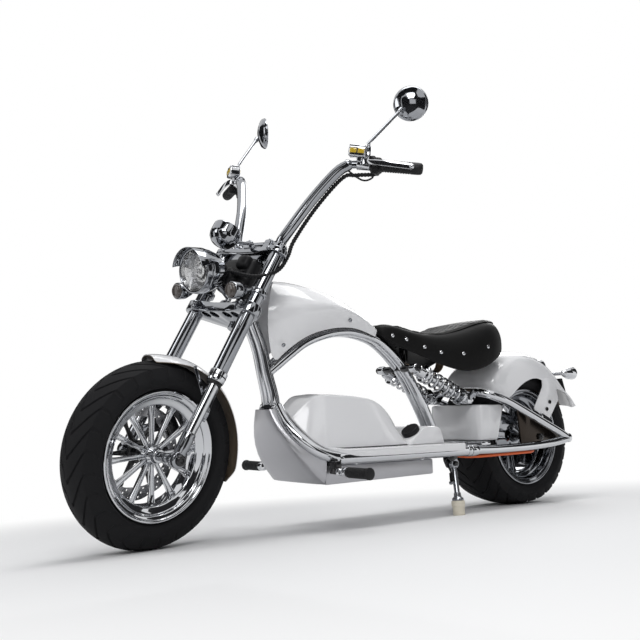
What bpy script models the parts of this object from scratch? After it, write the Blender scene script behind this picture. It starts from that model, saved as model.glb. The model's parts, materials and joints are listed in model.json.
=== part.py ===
"""Electric chopper motorcycle, leaning on its side stand, modelled piece by piece.

The bike is drawn upright and straight ahead in its own frame: +X forwards, +Y to
the rider's left, +Z up, with the rear axle over X = 0 and the ground at Z = 0.
Empties then turn the fork to its parked angle and lean the whole bike on its stand.
Lengths are metres, angles are degrees where a name ends in _DEG.
"""

import math

import bmesh
import bpy
from mathutils import Matrix, Vector

# Driving dimensions
WHEELBASE = 1.387
WHEEL_R = 0.2375
TYRE_OVER_LIP = 0.0715
RIM_LIP_R = WHEEL_R - TYRE_OVER_LIP
BEAD_R = RIM_LIP_R - 0.0135
RIM_WELL_R = BEAD_R - 0.0205
GAP = 0.0003

# Steering
RAKE_DEG = 29.25
FORK_OFFSET = 0.060
PARKED_STEER_DEG = 12.7
LEG_SPREAD = 0.107
LOWER_CLAMP_UP = 0.437
UPPER_CLAMP_UP = 0.626
CLAMP_THICK = 0.030
NECK_R = 0.030
STEM_R = 0.016

# Stance
LEAN_DEG = 4.0
STANCE_PITCH_DEG = 0.0428

# Front wheel
FRONT_TYRE_HALF = 0.064
FRONT_SHOULDER_HALF = 0.050
FRONT_RIM_HALF = 0.047
FRONT_SPOKES = 12
FRONT_HUB_R = 0.026
FRONT_HUB_HALF = 0.040
FRONT_DISC_R = BEAD_R - 0.0275
FRONT_DISC_Y = -0.056
DISC_THICK = 0.004

# Rear wheel
REAR_TYRE_HALF = 0.1075
REAR_SHOULDER_HALF = 0.098
REAR_RIM_HALF = 0.099
REAR_SPOKES = 5
MOTOR_R = RIM_WELL_R - 0.037
MOTOR_HALF = 0.045
REAR_DISC_R = BEAD_R - 0.0475
REAR_DISC_Y = -0.110

WHEEL_SEGMENTS = 28
SHOULDER_DROP = 0.0155
AXLE_R = 0.008
END_PLAY = 0.0006
LIP_WIDTH = 0.007
BEAD_WIDTH = 0.010
TREAD_THICK = 0.014

# Frame tubes
RAIL_R = 0.0165
DOWN_R = 0.014
TWIN_Y = 0.0158
SPINE_R = 0.0145
SWING_R = 0.0145

# Shocks
SHOCK_Y = 0.075
SHOCK_TOP = (0.512, 0.468)
SHOCK_FOOT = (0.280, 0.366)
SPRING_R = 0.024
WIRE_R = 0.0040
SPRING_TURNS = 5

# Side stand
STAND_PIVOT = (0.400, 0.120, 0.166)
STAND_FOOT_Y = 0.160
STAND_FOOT_X = 0.424
STAND_LEG_R = 0.0095
CUP_R = 0.020
SOLE_LIFT = 0.0003
CUP_H = 0.044

PEG_X = 0.905
PEG_Z = 0.172
PEG_HINGE_Y = 0.185
PEG_END_Y = 0.300
PEG_R = 0.0145

RAKE = math.radians(RAKE_DEG)
UP_FORK = Vector((-math.sin(RAKE), 0.0, math.cos(RAKE)))
AHEAD_FORK = Vector((math.cos(RAKE), 0.0, math.sin(RAKE)))
FRONT_AXLE = Vector((WHEELBASE, 0.0, WHEEL_R))
REAR_AXLE = Vector((0.0, 0.0, WHEEL_R))
STEER_FOOT = FRONT_AXLE - FORK_OFFSET * AHEAD_FORK
LEFT = Vector((0.0, 1.0, 0.0))

# The chassis tables are drawn round these two axles, and fitted() moves them with the real ones
DRAWN_REAR_AXLE = Vector((0.0, 0.0, 0.2375))
DRAWN_FRONT_AXLE = Vector((1.387, 0.0, 0.2375))
DRAWN_STEER_FOOT = DRAWN_FRONT_AXLE - FORK_OFFSET * AHEAD_FORK
FORK_SHIFT = FRONT_AXLE - DRAWN_FRONT_AXLE
AXLE_ZONE = 0.115
NECK_ZONE_X = 1.000
FLOOR_ZONE_Z = 0.130
SIDES = {"left": 1.0, "right": -1.0}

# Colour, roughness and metallic value of each finish
FINISHES = {
    "chrome": ((0.60, 0.60, 0.62), 0.10, 1.0),
    "brushed": ((0.45, 0.45, 0.46), 0.38, 1.0),
    "white_paint": ((0.80, 0.80, 0.82), 0.18, 0.0),
    "rubber": ((0.012, 0.012, 0.014), 0.75, 0.0),
    "black_plastic": ((0.018, 0.018, 0.020), 0.45, 0.0),
    "leather": ((0.014, 0.014, 0.015), 0.50, 0.0),
    "steel": ((0.38, 0.38, 0.40), 0.30, 1.0),
    "lens": ((0.75, 0.77, 0.80), 0.05, 0.0),
    "red_lens": ((0.45, 0.02, 0.02), 0.15, 0.0),
    "cream_rubber": ((0.66, 0.62, 0.52), 0.65, 0.0),
    "orange": ((0.80, 0.10, 0.02), 0.50, 0.0),
}


# Scene and finish helpers


def clear_scene():
    """Remove whatever the file opened with."""
    for obj in list(bpy.data.objects):
        bpy.data.objects.remove(obj, do_unlink=True)


def collection(name):
    """A collection of that name, linked to the scene."""
    made = bpy.data.collections.new(name)
    bpy.context.scene.collection.children.link(made)
    return made


def finish_material(name):
    """The Principled material of one finish, made once."""
    found = bpy.data.materials.get(name)
    if found:
        return found
    colour, roughness, metallic = FINISHES[name]
    made = bpy.data.materials.new(name)
    made.use_nodes = True
    shader = made.node_tree.nodes["Principled BSDF"]
    shader.inputs["Base Color"].default_value = (*colour, 1.0)
    shader.inputs["Roughness"].default_value = roughness
    shader.inputs["Metallic"].default_value = metallic
    made.diffuse_color = (*colour, 1.0)
    return made


def mesh_object(name, mesh):
    """An object for a mesh, in the scratch collection."""
    obj = bpy.data.objects.new(name, mesh)
    SCRATCH.objects.link(obj)
    return obj


def baked(obj):
    """The object as it is evaluated, as a plain welded mesh in bike coordinates."""
    bpy.context.view_layer.update()
    evaluated = obj.evaluated_get(bpy.context.evaluated_depsgraph_get())
    mesh = bpy.data.meshes.new_from_object(evaluated)
    mesh.transform(obj.matrix_world)
    shape = bmesh.new()
    shape.from_mesh(mesh)
    bmesh.ops.remove_doubles(shape, verts=shape.verts, dist=0.00002)
    bmesh.ops.recalc_face_normals(shape, faces=shape.faces)
    shape.to_mesh(mesh)
    shape.free()
    name = obj.name
    bpy.data.objects.remove(obj, do_unlink=True)
    made = mesh_object(name, mesh)
    return made


def joined(name, pieces, operation="UNION"):
    """The first piece with the others joined to it one by one, or cut from it."""
    base = pieces[0]
    for other in pieces[1:]:
        step = base.modifiers.new(operation.lower(), "BOOLEAN")
        step.operation = operation
        step.solver = "EXACT"
        step.object = other
        base = baked(base)
        bpy.data.objects.remove(other, do_unlink=True)
    base.name = name
    return base


def cut(base, *cutters):
    """The base with the cutters taken away."""
    return joined(base.name, [base, *cutters], "DIFFERENCE")


# Shape helpers


def frame_along(axis, up=(0.0, 0.0, 1.0)):
    """Rotation whose Z runs along the axis, with X as near as it can be to up."""
    z = Vector(axis).normalized()
    x = Vector(up) - Vector(up).dot(z) * z
    if x.length < 1e-4:
        x = Vector((1.0, 0.0, 0.0)) - z.x * z
    x.normalize()
    y = z.cross(x)
    return Matrix((x, y, z)).transposed().to_4x4()


def rod(name, start, end, radius, end_radius=None, sides=10):
    """A straight round bar, or a cone, from start to end."""
    start = Vector(start)
    end = Vector(end)
    shape = bmesh.new()
    bmesh.ops.create_cone(
        shape,
        cap_ends=True,
        segments=sides,
        radius1=radius,
        radius2=radius if end_radius is None else end_radius,
        depth=(end - start).length,
    )
    mesh = bpy.data.meshes.new(name)
    shape.to_mesh(mesh)
    shape.free()
    obj = mesh_object(name, mesh)
    mesh.transform(Matrix.Translation((start + end) / 2) @ frame_along(end - start))
    return obj


def bore(start, end, radius, sides=12):
    """A cutter that leaves room for a round bar of that radius."""
    return rod("bore", start, end, (radius + GAP) / math.cos(math.pi / sides), sides=sides)


def eye_radius(radius, segments):
    """Radius of a turned eye whose flats still clear a bar of the given radius."""
    return (radius + GAP) / math.cos(math.pi / segments)


def box(name, centre, size, turn=None, bevel=0.0):
    """A block with optional small bevels, turned about its centre."""
    shape = bmesh.new()
    bmesh.ops.create_cube(shape, size=1.0)
    bmesh.ops.scale(shape, vec=size, verts=shape.verts)
    if bevel:
        bmesh.ops.bevel(
            shape, geom=list(shape.edges), offset=bevel, segments=1, affect="EDGES"
        )
    mesh = bpy.data.meshes.new(name)
    shape.to_mesh(mesh)
    shape.free()
    mesh.transform(Matrix.Translation(centre) @ (turn or Matrix.Identity(4)))
    return mesh_object(name, mesh)


def smooth_path(points, step):
    """Points about a step apart on a smooth curve through the given ones."""
    nodes = [Vector(p) for p in points]
    ends = [2 * nodes[0] - nodes[1], *nodes, 2 * nodes[-1] - nodes[-2]]
    path = [nodes[0]]
    for before, here, after, beyond in zip(ends, ends[1:], ends[2:], ends[3:]):
        count = max(1, round((after - here).length / step))
        for k in range(1, count + 1):
            t = k / count
            path.append(
                0.5
                * (
                    2 * here
                    + (after - before) * t
                    + (2 * before - 5 * here + 4 * after - beyond) * t**2
                    + (3 * here - before - 3 * after + beyond) * t**3
                )
            )
    return path


def without_straights(path, turn_deg=6.0):
    """The path without the points at which it hardly turns."""
    kept = [path[0]]
    for here, after in zip(path[1:], path[2:]):
        if (here - kept[-1]).angle(after - here) > math.radians(turn_deg):
            kept.append(here)
    kept.append(path[-1])
    return kept


def tube(name, points, radius, sides=10, step=0.03):
    """A bent tube through the points, as a curve with a round bevel."""
    path = [Vector(p) for p in points]
    if step is not None:
        path = without_straights(smooth_path(points, step))
    line = bpy.data.curves.new(name, "CURVE")
    line.dimensions = "3D"
    line.bevel_depth = radius
    line.bevel_resolution = max(0, sides // 2 - 2)
    line.use_fill_caps = True
    spline = line.splines.new("POLY")
    spline.points.add(len(path) - 1)
    for point, place in zip(spline.points, path):
        point.co = (*place, 1.0)
    obj = bpy.data.objects.new(name, line)
    SCRATCH.objects.link(obj)
    return baked(obj)


def turned(name, profile, centre, axis, segments=24, closed=False, angle_deg=360.0):
    """A profile of (along, radius) pairs turned about the axis with a Screw modifier."""
    mesh = bpy.data.meshes.new(name)
    verts = [(radius, 0.0, along) for along, radius in profile]
    edges = [(k, k + 1) for k in range(len(verts) - 1)]
    if closed:
        edges.append((len(verts) - 1, 0))
    mesh.from_pydata(verts, edges, [])
    obj = mesh_object(name, mesh)
    obj.matrix_world = Matrix.Translation(centre) @ frame_along(axis)
    screw = obj.modifiers.new("turn", "SCREW")
    screw.angle = math.radians(angle_deg)
    screw.steps = segments
    screw.render_steps = segments
    screw.use_merge_vertices = True
    screw.merge_threshold = 0.00002
    return baked(obj)


def plate(name, outline, thickness, place, holes=()):
    """A flat plate: an outline in its own XY plane, with round holes (x, y, radius)."""
    line = bpy.data.curves.new(name, "CURVE")
    line.dimensions = "2D"
    line.fill_mode = "BOTH"
    line.extrude = thickness / 2
    loops = [outline] + [
        [
            (
                x + r * math.cos(2 * math.pi * k / 8),
                y + r * math.sin(2 * math.pi * k / 8),
            )
            for k in range(8)
        ]
        for x, y, r in holes
    ]
    for loop in loops:
        spline = line.splines.new("POLY")
        spline.points.add(len(loop) - 1)
        for point, (x, y) in zip(spline.points, loop):
            point.co = (x, y, 0.0, 1.0)
        spline.use_cyclic_u = True
    obj = bpy.data.objects.new(name, line)
    SCRATCH.objects.link(obj)
    obj.matrix_world = place
    return baked(obj)


def side_plate(name, outline, y, thickness, holes=()):
    """A plate whose outline is given as (x, z) and which stands at y."""
    place = Matrix.Translation((0.0, y, 0.0)) @ Matrix.Rotation(math.pi / 2, 4, "X")
    return plate(name, outline, thickness, place, holes)


def loft(name, rings, closed_rings=True, capped=True):
    """A skin over rings of points that all have the same count."""
    shape = bmesh.new()
    rows = [[shape.verts.new(p) for p in ring] for ring in rings]
    count = len(rows[0])
    spans = range(count if closed_rings else count - 1)
    for here, there in zip(rows, rows[1:]):
        for k in spans:
            n = (k + 1) % count
            shape.faces.new((here[k], here[n], there[n], there[k]))
    if capped:
        shape.faces.new(rows[0][::-1])
        shape.faces.new(rows[-1])
    bmesh.ops.recalc_face_normals(shape, faces=shape.faces)
    mesh = bpy.data.meshes.new(name)
    shape.to_mesh(mesh)
    shape.free()
    return mesh_object(name, mesh)


def shelled(obj, thickness, offset=-1.0):
    """An open skin given its wall."""
    wall = obj.modifiers.new("wall", "SOLIDIFY")
    wall.thickness = thickness
    wall.offset = offset
    wall.use_even_offset = True
    return baked(obj)


def mirrored_points(half):
    """A half outline with y of 0 or more, followed by its mirror."""
    return half + [(p[0], -p[1], p[2]) for p in reversed(half) if abs(p[1]) > 1e-6]


def between(value, low, high):
    """How far a value has gone from low to high, from 0 to 1."""
    return min(1.0, max(0.0, (value - low) / (high - low)))


def fitted(point):
    """A drawn chassis point moved to suit the present wheelbase and wheel radius.

    The rear axle's surroundings keep their length, what lies past a tyre moves with its
    radius, the neck moves with the front axle, and all between is stretched. Heights rise
    with the axles, twice over the rear tyre's top, and stay on the floor below.
    """
    x, y, z = point
    drawn_r = DRAWN_REAR_AXLE.z
    grown = WHEEL_R - drawn_r
    reach = abs(x)
    if reach <= drawn_r or x < 0.0:
        share = between(reach, AXLE_ZONE, drawn_r)
        across = math.copysign(reach + grown * share, x)
    else:
        share = between(x, drawn_r, NECK_ZONE_X)
        across = x + grown * (1.0 - share) + FORK_SHIFT.x * share
    over_tyre = between(z, 0.300, 0.470) * (1.0 - between(x, 0.100, 0.300))
    up = z + grown * between(z, 0.0, FLOOR_ZONE_Z) + grown * over_tyre
    return Vector((across, y, up))


def fit_mesh(obj):
    """The same object with its points fitted to the present wheels."""
    for vertex in obj.data.vertices:
        vertex.co = fitted(vertex.co)
    return obj


def keep(obj, name, finish, parent, smooth_deg=35.0, drawn=False):
    """Name a finished piece, give it its material and hang it on its empty."""
    if drawn:
        fit_mesh(obj)
    obj.name = name
    obj.data.name = name
    obj.data.materials.clear()
    obj.data.materials.append(finish_material(finish))
    obj.data.shade_smooth()
    obj.data.set_sharp_from_angle(angle=math.radians(smooth_deg))
    SCRATCH.objects.unlink(obj)
    BIKE.objects.link(obj)
    obj.parent = parent
    obj.matrix_parent_inverse = parent.matrix_world.inverted()
    return obj


def empty(name, place, parent=None):
    """An empty whose Z is a joint's axis, parented without moving it."""
    obj = bpy.data.objects.new(name, None)
    obj.empty_display_size = 0.05
    BIKE.objects.link(obj)
    obj.matrix_world = place
    if parent:
        obj.parent = parent
        obj.matrix_parent_inverse = parent.matrix_world.inverted()
    bpy.context.view_layer.update()
    return obj


def fork_point(up, ahead=FORK_OFFSET, side=0.0):
    """A point up the fork from the axle's height, ahead of the steering axis."""
    return STEER_FOOT + up * UP_FORK + ahead * AHEAD_FORK + side * LEFT


# Wheels


def tyre_profile(half, shoulder_half, rim_half):
    """Closed section of a tyre as (along, radius) pairs, its bead inside the rim's lip."""
    shoulder_r = WHEEL_R - SHOULDER_DROP
    crown_r = (shoulder_half**2 + SHOULDER_DROP**2) / (2 * SHOULDER_DROP)
    bead_y = rim_half - LIP_WIDTH - GAP
    half_loop = [
        (share * shoulder_half,
         WHEEL_R - crown_r + math.sqrt(crown_r**2 - (share * shoulder_half) ** 2))
        for share in (0.0, 0.55, 1.0)
    ]
    half_loop += [
        (half, (shoulder_r + BEAD_R) / 2 + 0.006),
        (half * 0.93, RIM_LIP_R + 0.010),
        (bead_y, RIM_LIP_R + 0.002),
        (bead_y, BEAD_R),
        (bead_y - BEAD_WIDTH, BEAD_R),
        (half * 0.88, shoulder_r - 0.020),
        (0.0, WHEEL_R - TREAD_THICK),
    ]
    other = [(-y, r) for y, r in reversed(half_loop) if abs(y) > 1e-9]
    return half_loop + other


def rim_profile(half, well_r):
    """Closed section of a rim: rolled lips, bead seats and a drop well."""
    lip = half
    seat_r = BEAD_R - GAP - 0.0005
    half_loop = [
        (half * 0.45, well_r),
        (half * 0.66, seat_r),
        (lip - LIP_WIDTH, seat_r),
        (lip - LIP_WIDTH, RIM_LIP_R),
        (lip, RIM_LIP_R - 0.003),
        (lip - 0.001, seat_r - 0.005),
        (half * 0.50, well_r - 0.006),
    ]
    other = [(-y, r) for y, r in reversed(half_loop) if abs(y) > 1e-9]
    return half_loop + other


def front_wheel(parent):
    """Tyre, twelve-spoke wheel and drilled disc of the front wheel."""
    tyre = turned(
        "front_tyre",
        tyre_profile(FRONT_TYRE_HALF, FRONT_SHOULDER_HALF, FRONT_RIM_HALF),
        FRONT_AXLE,
        LEFT,
        segments=WHEEL_SEGMENTS,
        closed=True,
    )
    keep(tyre, "front_tyre", "rubber", parent)
    well_r = RIM_WELL_R
    rim = turned(
        "rim", rim_profile(FRONT_RIM_HALF, well_r), FRONT_AXLE, LEFT, WHEEL_SEGMENTS,
        closed=True
    )
    hub_in = eye_radius(AXLE_R, 16)
    disc_side = FRONT_DISC_Y + DISC_THICK / 2 + GAP
    hub = turned(
        "hub",
        [
            (disc_side, hub_in),
            (disc_side, FRONT_HUB_R * 0.8),
            (-0.012, FRONT_HUB_R),
            (0.014, FRONT_HUB_R),
            (FRONT_HUB_HALF, FRONT_HUB_R * 0.7),
            (FRONT_HUB_HALF, hub_in),
        ],
        FRONT_AXLE,
        LEFT,
        16,
        closed=True,
    )
    spokes = [
        spoke(4.0 + k * 360.0 / FRONT_SPOKES, FRONT_HUB_R * 0.88, well_r - 0.003, 0.010, 0.012)
        for k in range(FRONT_SPOKES)
    ]
    for one in spokes:
        one.data.transform(Matrix.Translation(FRONT_AXLE))
    wheel = joined("front_rim", [rim, hub, *spokes])
    keep(wheel, "front_rim", "chrome", parent)
    keep(
        brake_disc("front_disc", FRONT_AXLE, FRONT_DISC_R, FRONT_DISC_Y, FRONT_HUB_R),
        "front_disc",
        "steel",
        parent,
    )


def spoke(angle_deg, inner_r, outer_r, width, depth):
    """One radial bar of a wheel at the origin, its section a ridge towards the left."""
    shape = [
        (-width / 2, -depth / 2),
        (width / 2, -depth / 2),
        (width / 2, depth / 6),
        (0.0, depth / 2),
        (-width / 2, depth / 6),
    ]
    rings = []
    for radius, scale in ((inner_r, 0.9), (outer_r, 1.25)):
        rings.append([(radius, y, x * scale) for x, y in shape])
    bar = loft("spoke", rings)
    bar.data.transform(Matrix.Rotation(math.radians(angle_deg), 4, "Y"))
    return bar


def brake_disc(name, axle, radius, y, hub_r):
    """A brake disc with a ring of windows between its band and its carrier."""
    centre = axle + y * LEFT
    band = turned(
        name,
        [
            (-DISC_THICK / 2, radius * 0.72),
            (-DISC_THICK / 2, radius),
            (DISC_THICK / 2, radius),
            (DISC_THICK / 2, radius * 0.72),
        ],
        centre,
        LEFT,
        24,
        closed=True,
    )
    carrier = turned(
        "carrier",
        [
            (-DISC_THICK / 2, eye_radius(AXLE_R, 16)),
            (-DISC_THICK / 2, hub_r * 1.15),
            (DISC_THICK / 2, hub_r * 1.15),
            (DISC_THICK / 2, eye_radius(AXLE_R, 16)),
        ],
        centre,
        LEFT,
        16,
        closed=True,
    )
    arms = []
    for k in range(5):
        arm = box(
            "arm",
            ((radius * 0.75 + hub_r) / 2, 0.0, 0.0),
            (radius * 0.80 - hub_r + 0.008, DISC_THICK * 0.9, 0.020),
        )
        arm.data.transform(
            Matrix.Translation(centre)
            @ Matrix.Rotation(math.radians(72 * k + 18), 4, "Y")
        )
        arms.append(arm)
    return joined(name, [band, carrier, *arms])


def rear_wheel(parent):
    """Wide tyre, five-spoke wheel with its hub motor, and disc of the rear wheel."""
    tyre = turned(
        "rear_tyre",
        tyre_profile(REAR_TYRE_HALF, REAR_SHOULDER_HALF, REAR_RIM_HALF),
        REAR_AXLE,
        LEFT,
        segments=WHEEL_SEGMENTS,
        closed=True,
    )
    keep(tyre, "rear_tyre", "rubber", parent)
    well_r = RIM_WELL_R
    rim = turned(
        "rim", rim_profile(REAR_RIM_HALF, well_r), REAR_AXLE, LEFT, WHEEL_SEGMENTS,
        closed=True
    )
    bore_r = eye_radius(AXLE_R, 24)
    disc_side = REAR_DISC_Y + DISC_THICK / 2 + GAP
    motor = turned(
        "motor",
        [
            (disc_side, bore_r),
            (disc_side, MOTOR_R * 0.30),
            (-MOTOR_HALF, MOTOR_R * 0.34),
            (-MOTOR_HALF, MOTOR_R * 0.45),
            (-MOTOR_HALF * 0.85, MOTOR_R * 0.95),
            (-MOTOR_HALF * 0.6, MOTOR_R),
            (MOTOR_HALF * 0.2, MOTOR_R * 0.80),
            (MOTOR_HALF * 0.9, MOTOR_R * 0.45),
            (MOTOR_HALF, MOTOR_R * 0.30),
            (MOTOR_HALF, bore_r),
        ],
        REAR_AXLE,
        LEFT,
        24,
        closed=True,
    )
    bars = []
    for k in range(REAR_SPOKES):
        for twist in (-9.0, 9.0):
            bar = spoke(
                93.0 + k * 360.0 / REAR_SPOKES + twist,
                MOTOR_R * 0.5,
                well_r - 0.003,
                0.012,
                0.024,
            )
            bar.data.transform(Matrix.Translation(REAR_AXLE))
            bars.append(bar)
    wheel = joined("rear_rim", [rim, motor, *bars])
    keep(wheel, "rear_rim", "chrome", parent)
    keep(
        brake_disc("rear_disc", REAR_AXLE, REAR_DISC_R, REAR_DISC_Y, MOTOR_R * 0.35),
        "rear_disc",
        "steel",
        parent,
    )


# Fork


def clamp_plate(name, up, thick, leg_r, reach_r, windows):
    """A clamp joining both legs and the stem, pierced by windows (ahead, side, radius)."""
    half = LEG_SPREAD
    outline = []
    for side in (1.0, -1.0):
        for k in range(7):
            angle = side * math.pi / 2 - math.pi / 2 + math.pi * k / 6
            outline.append((FORK_OFFSET + reach_r * math.cos(angle),
                            side * half + reach_r * math.sin(angle)))
        if side > 0:
            outline += [(-0.018, 0.022), (-0.021, 0.0), (-0.018, -0.022)]
    outline += [(FORK_OFFSET + 0.020, -0.040), (FORK_OFFSET + 0.020, 0.040)]
    centre = STEER_FOOT + up * UP_FORK
    axes = Matrix((AHEAD_FORK, LEFT, UP_FORK)).transposed().to_4x4()
    place = Matrix.Translation(centre) @ axes
    body = plate(name, outline, thick, place, windows)
    bores = [
        bore(
            fork_point(up - thick, side=side * half),
            fork_point(up + thick, side=side * half),
            leg_r,
            16,
        )
        for side in (1.0, -1.0)
    ]
    return cut(body, *bores)


LEG_R = 0.020
SLIDER_R = 0.0145
COLLAR_R = 0.0235
LEG_TOP_UP = UPPER_CLAMP_UP + 0.024
COLLAR_UP = 0.230
LUG_R = 0.021
LUG_HALF = 0.013
CALIPER_PLATE = ((1.348, 0.278), (1.352, 0.302), (1.278, 0.312), (1.270, 0.286))
CALIPER_PLATE_Y = -0.0905
CALIPER_PLATE_THICK = 0.008


def fork_clamps(parent):
    """Lower clamp with its stem, and upper clamp with the handlebar risers."""
    windows = [(FORK_OFFSET, s * y, 0.015) for s in (1, -1) for y in (0.028, 0.062)]
    lower = clamp_plate(
        "lower_clamp", LOWER_CLAMP_UP, CLAMP_THICK, LEG_R, 0.031, windows
    )
    stem_low = STEER_FOOT + (LOWER_CLAMP_UP - CLAMP_THICK / 2 - 0.012) * UP_FORK
    stem_high = STEER_FOOT + (UPPER_CLAMP_UP - 0.009 - GAP) * UP_FORK
    stem = rod("stem", stem_low, stem_high, STEM_R)
    caps = [
        rod(
            "cap",
            fork_point(LOWER_CLAMP_UP, FORK_OFFSET + 0.026, side * (LEG_SPREAD - 0.010)),
            fork_point(LOWER_CLAMP_UP, FORK_OFFSET + 0.038, side * (LEG_SPREAD - 0.010)),
            0.009,
            0.006,
            sides=12,
        )
        for side in (1.0, -1.0)
    ]
    keep(joined("lower_clamp", [lower, stem, *caps]), "lower_clamp", "chrome", parent)

    upper = clamp_plate("upper_clamp", UPPER_CLAMP_UP, 0.018, LEG_R, 0.029, [])
    axes = Matrix((AHEAD_FORK, LEFT, UP_FORK)).transposed().to_4x4()
    risers = []
    for side in (1.0, -1.0):
        middle = fork_point(UPPER_CLAMP_UP + 0.027, RISER_AHEAD, side * RISER_Y)
        risers.append(box("riser", middle, (0.040, 0.030, 0.056), axes, 0.004))
    nut = rod(
        "nut",
        STEER_FOOT + UPPER_CLAMP_UP * UP_FORK,
        STEER_FOOT + (UPPER_CLAMP_UP + 0.020) * UP_FORK,
        0.016,
        sides=6,
    )
    body = joined("upper_clamp", [upper, nut, *risers])
    body = cut(body, *bar_tubes(0.0006))
    keep(body, "upper_clamp", "chrome", parent)


BAR_R = 0.0155
BAR_END_R = 0.011
RISER_AHEAD = 0.040
RISER_Y = 0.042
RISER_UP = UPPER_CLAMP_UP + 0.042
GRIP_R = 0.017

# Handlebar on the left, straight ahead: (x, y, z), after the straight foot
BAR_LEFT = (
    (1.050, 0.092, 0.826),
    (0.998, 0.140, 0.935),
    (0.955, 0.195, 1.022),
    (0.936, 0.225, 1.046),
)
BAR_INNER = (0.901, 0.280, 1.046)
BAR_END = (0.836, 0.400, 1.035)
MIRROR_AT = (0.769, 0.306, 1.253)
MIRROR_FACES = (-0.78, -0.52, 0.25)


def bar_seat_path():
    """The straight foot of the handlebar in its risers."""
    return [
        fork_point(RISER_UP, RISER_AHEAD, -0.066),
        fork_point(RISER_UP, RISER_AHEAD, 0.066),
    ]


def sided(point, side):
    """A left-hand point taken to the given side, +1 for left."""
    return Vector((point[0], point[1] * side, point[2]))


def on_bar(point, side):
    """A left-hand point of the handlebar taken to a side and moved with the fork."""
    return sided(point, side) + FORK_SHIFT


def fork_legs(parent):
    """Two legs: upper tube, collar, slider and axle lug, bored for the axle."""
    for label, side in SIDES.items():
        y = side * LEG_SPREAD
        pieces = [
            rod("upper", fork_point(COLLAR_UP, side=y), fork_point(LEG_TOP_UP, side=y),
                LEG_R, sides=10),
            rod("cap", fork_point(LEG_TOP_UP - 0.002, side=y),
                fork_point(LEG_TOP_UP + 0.006, side=y), 0.016, 0.012, sides=10),
            rod("collar", fork_point(COLLAR_UP - 0.020, side=y),
                fork_point(COLLAR_UP + 0.020, side=y), COLLAR_R, sides=10),
            rod("slider", fork_point(0.020, side=y), fork_point(COLLAR_UP, side=y),
                SLIDER_R, sides=10),
            rod("boss", fork_point(0.040, side=y), fork_point(0.070, side=y),
                SLIDER_R + 0.005, sides=10),
            rod("lug", fork_point(0.0, side=y - LUG_HALF),
                fork_point(0.0, side=y + LUG_HALF), LUG_R, sides=10),
        ]
        stay_at = fork_point(0.135, FORK_OFFSET - 0.016, y - side * 0.004)
        pieces.append(
            box("stay_lug", stay_at, (0.026, 0.012, 0.020), frame_along(UP_FORK), 0.002)
        )
        if side < 0:
            corners = [(x + FORK_SHIFT.x, z + FORK_SHIFT.z) for x, z in CALIPER_PLATE]
            pieces.append(side_plate("caliper_plate", corners, CALIPER_PLATE_Y,
                                     CALIPER_PLATE_THICK))
        leg = joined(f"fork_leg_{label}", pieces)
        leg = cut(leg, bore(fork_point(0.0, side=y - 0.03), fork_point(0.0, side=y + 0.03),
                            AXLE_R))
        keep(leg, f"fork_leg_{label}", "chrome", parent)
    axle_half = LEG_SPREAD + LUG_HALF + 0.008
    pieces = [
        rod("axle", FRONT_AXLE - axle_half * LEFT, FRONT_AXLE + axle_half * LEFT,
            AXLE_R, sides=10)
    ]
    for side in (1.0, -1.0):
        inner = FRONT_AXLE + side * (LEG_SPREAD + LUG_HALF + GAP) * LEFT
        outer = FRONT_AXLE + side * (axle_half + 0.002) * LEFT
        pieces.append(rod("nut", inner, outer, 0.014, sides=6))
        hub_end = FRONT_HUB_HALF if side > 0 else -FRONT_DISC_Y + DISC_THICK / 2
        pieces.append(
            rod("spacer", FRONT_AXLE + side * (hub_end + END_PLAY) * LEFT,
                FRONT_AXLE + side * (LEG_SPREAD - LUG_HALF - GAP) * LEFT, 0.012, sides=10)
        )
    keep(joined("front_axle", pieces), "front_axle", "steel", parent)


FRONT_FENDER_GAP = 0.0135
FRONT_FENDER_R = WHEEL_R + FRONT_FENDER_GAP
FRONT_FENDER_START_DEG = 84.0
FRONT_FENDER_END_DEG = 200.0
FENDER_THICK = 0.003


def arc_rings(centre, start_deg, end_deg, count, section):
    """Rings of section(share) points (y, radius) swept about a lateral axis."""
    rings = []
    for k in range(count + 1):
        share = k / count
        angle = math.radians(start_deg + (end_deg - start_deg) * share)
        along = Vector((math.cos(angle), 0.0, math.sin(angle)))
        rings.append([centre + r * along + y * LEFT for y, r in section(share)])
    return rings


def front_fender(parent):
    """A thin curved guard over the rear half of the front wheel, on four stays."""

    def section(share):
        edge = 0.030 + 0.040 * min(1.0, share * 6.0, (1.0 - share) * 10.0 + 0.35)
        drop = 0.016
        ys = (1.0, 0.6, 0.0, -0.6, -1.0)
        return [(edge * y, FRONT_FENDER_R - drop * abs(y) ** 3) for y in ys]

    rings = arc_rings(
        FRONT_AXLE, FRONT_FENDER_START_DEG, FRONT_FENDER_END_DEG, 9, section
    )
    skin = loft("front_fender", rings, closed_rings=False, capped=False)
    pieces = [shelled(skin, FENDER_THICK, 1.0)]
    for side in (1.0, -1.0):
        top = fork_point(0.150, FORK_OFFSET - 0.0343, side * (LEG_SPREAD - 0.004))
        low = fork_point(0.120, FORK_OFFSET - 0.0343, side * (LEG_SPREAD - 0.004))
        for foot, angle_deg in ((top, 128.0), (low, 166.0)):
            angle = math.radians(angle_deg)
            edge = FRONT_AXLE + Vector(
                (
                    (FRONT_FENDER_R - 0.016) * math.cos(angle),
                    side * 0.0705,
                    (FRONT_FENDER_R - 0.016) * math.sin(angle),
                )
            )
            pieces.append(rod("stay", foot, edge, 0.004, sides=8))
        pieces.append(rod("stay_foot", low - 0.003 * UP_FORK, top + 0.003 * UP_FORK,
                          0.005, sides=8))
    keep(joined("front_fender", pieces), "front_fender", "white_paint", parent)


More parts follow.
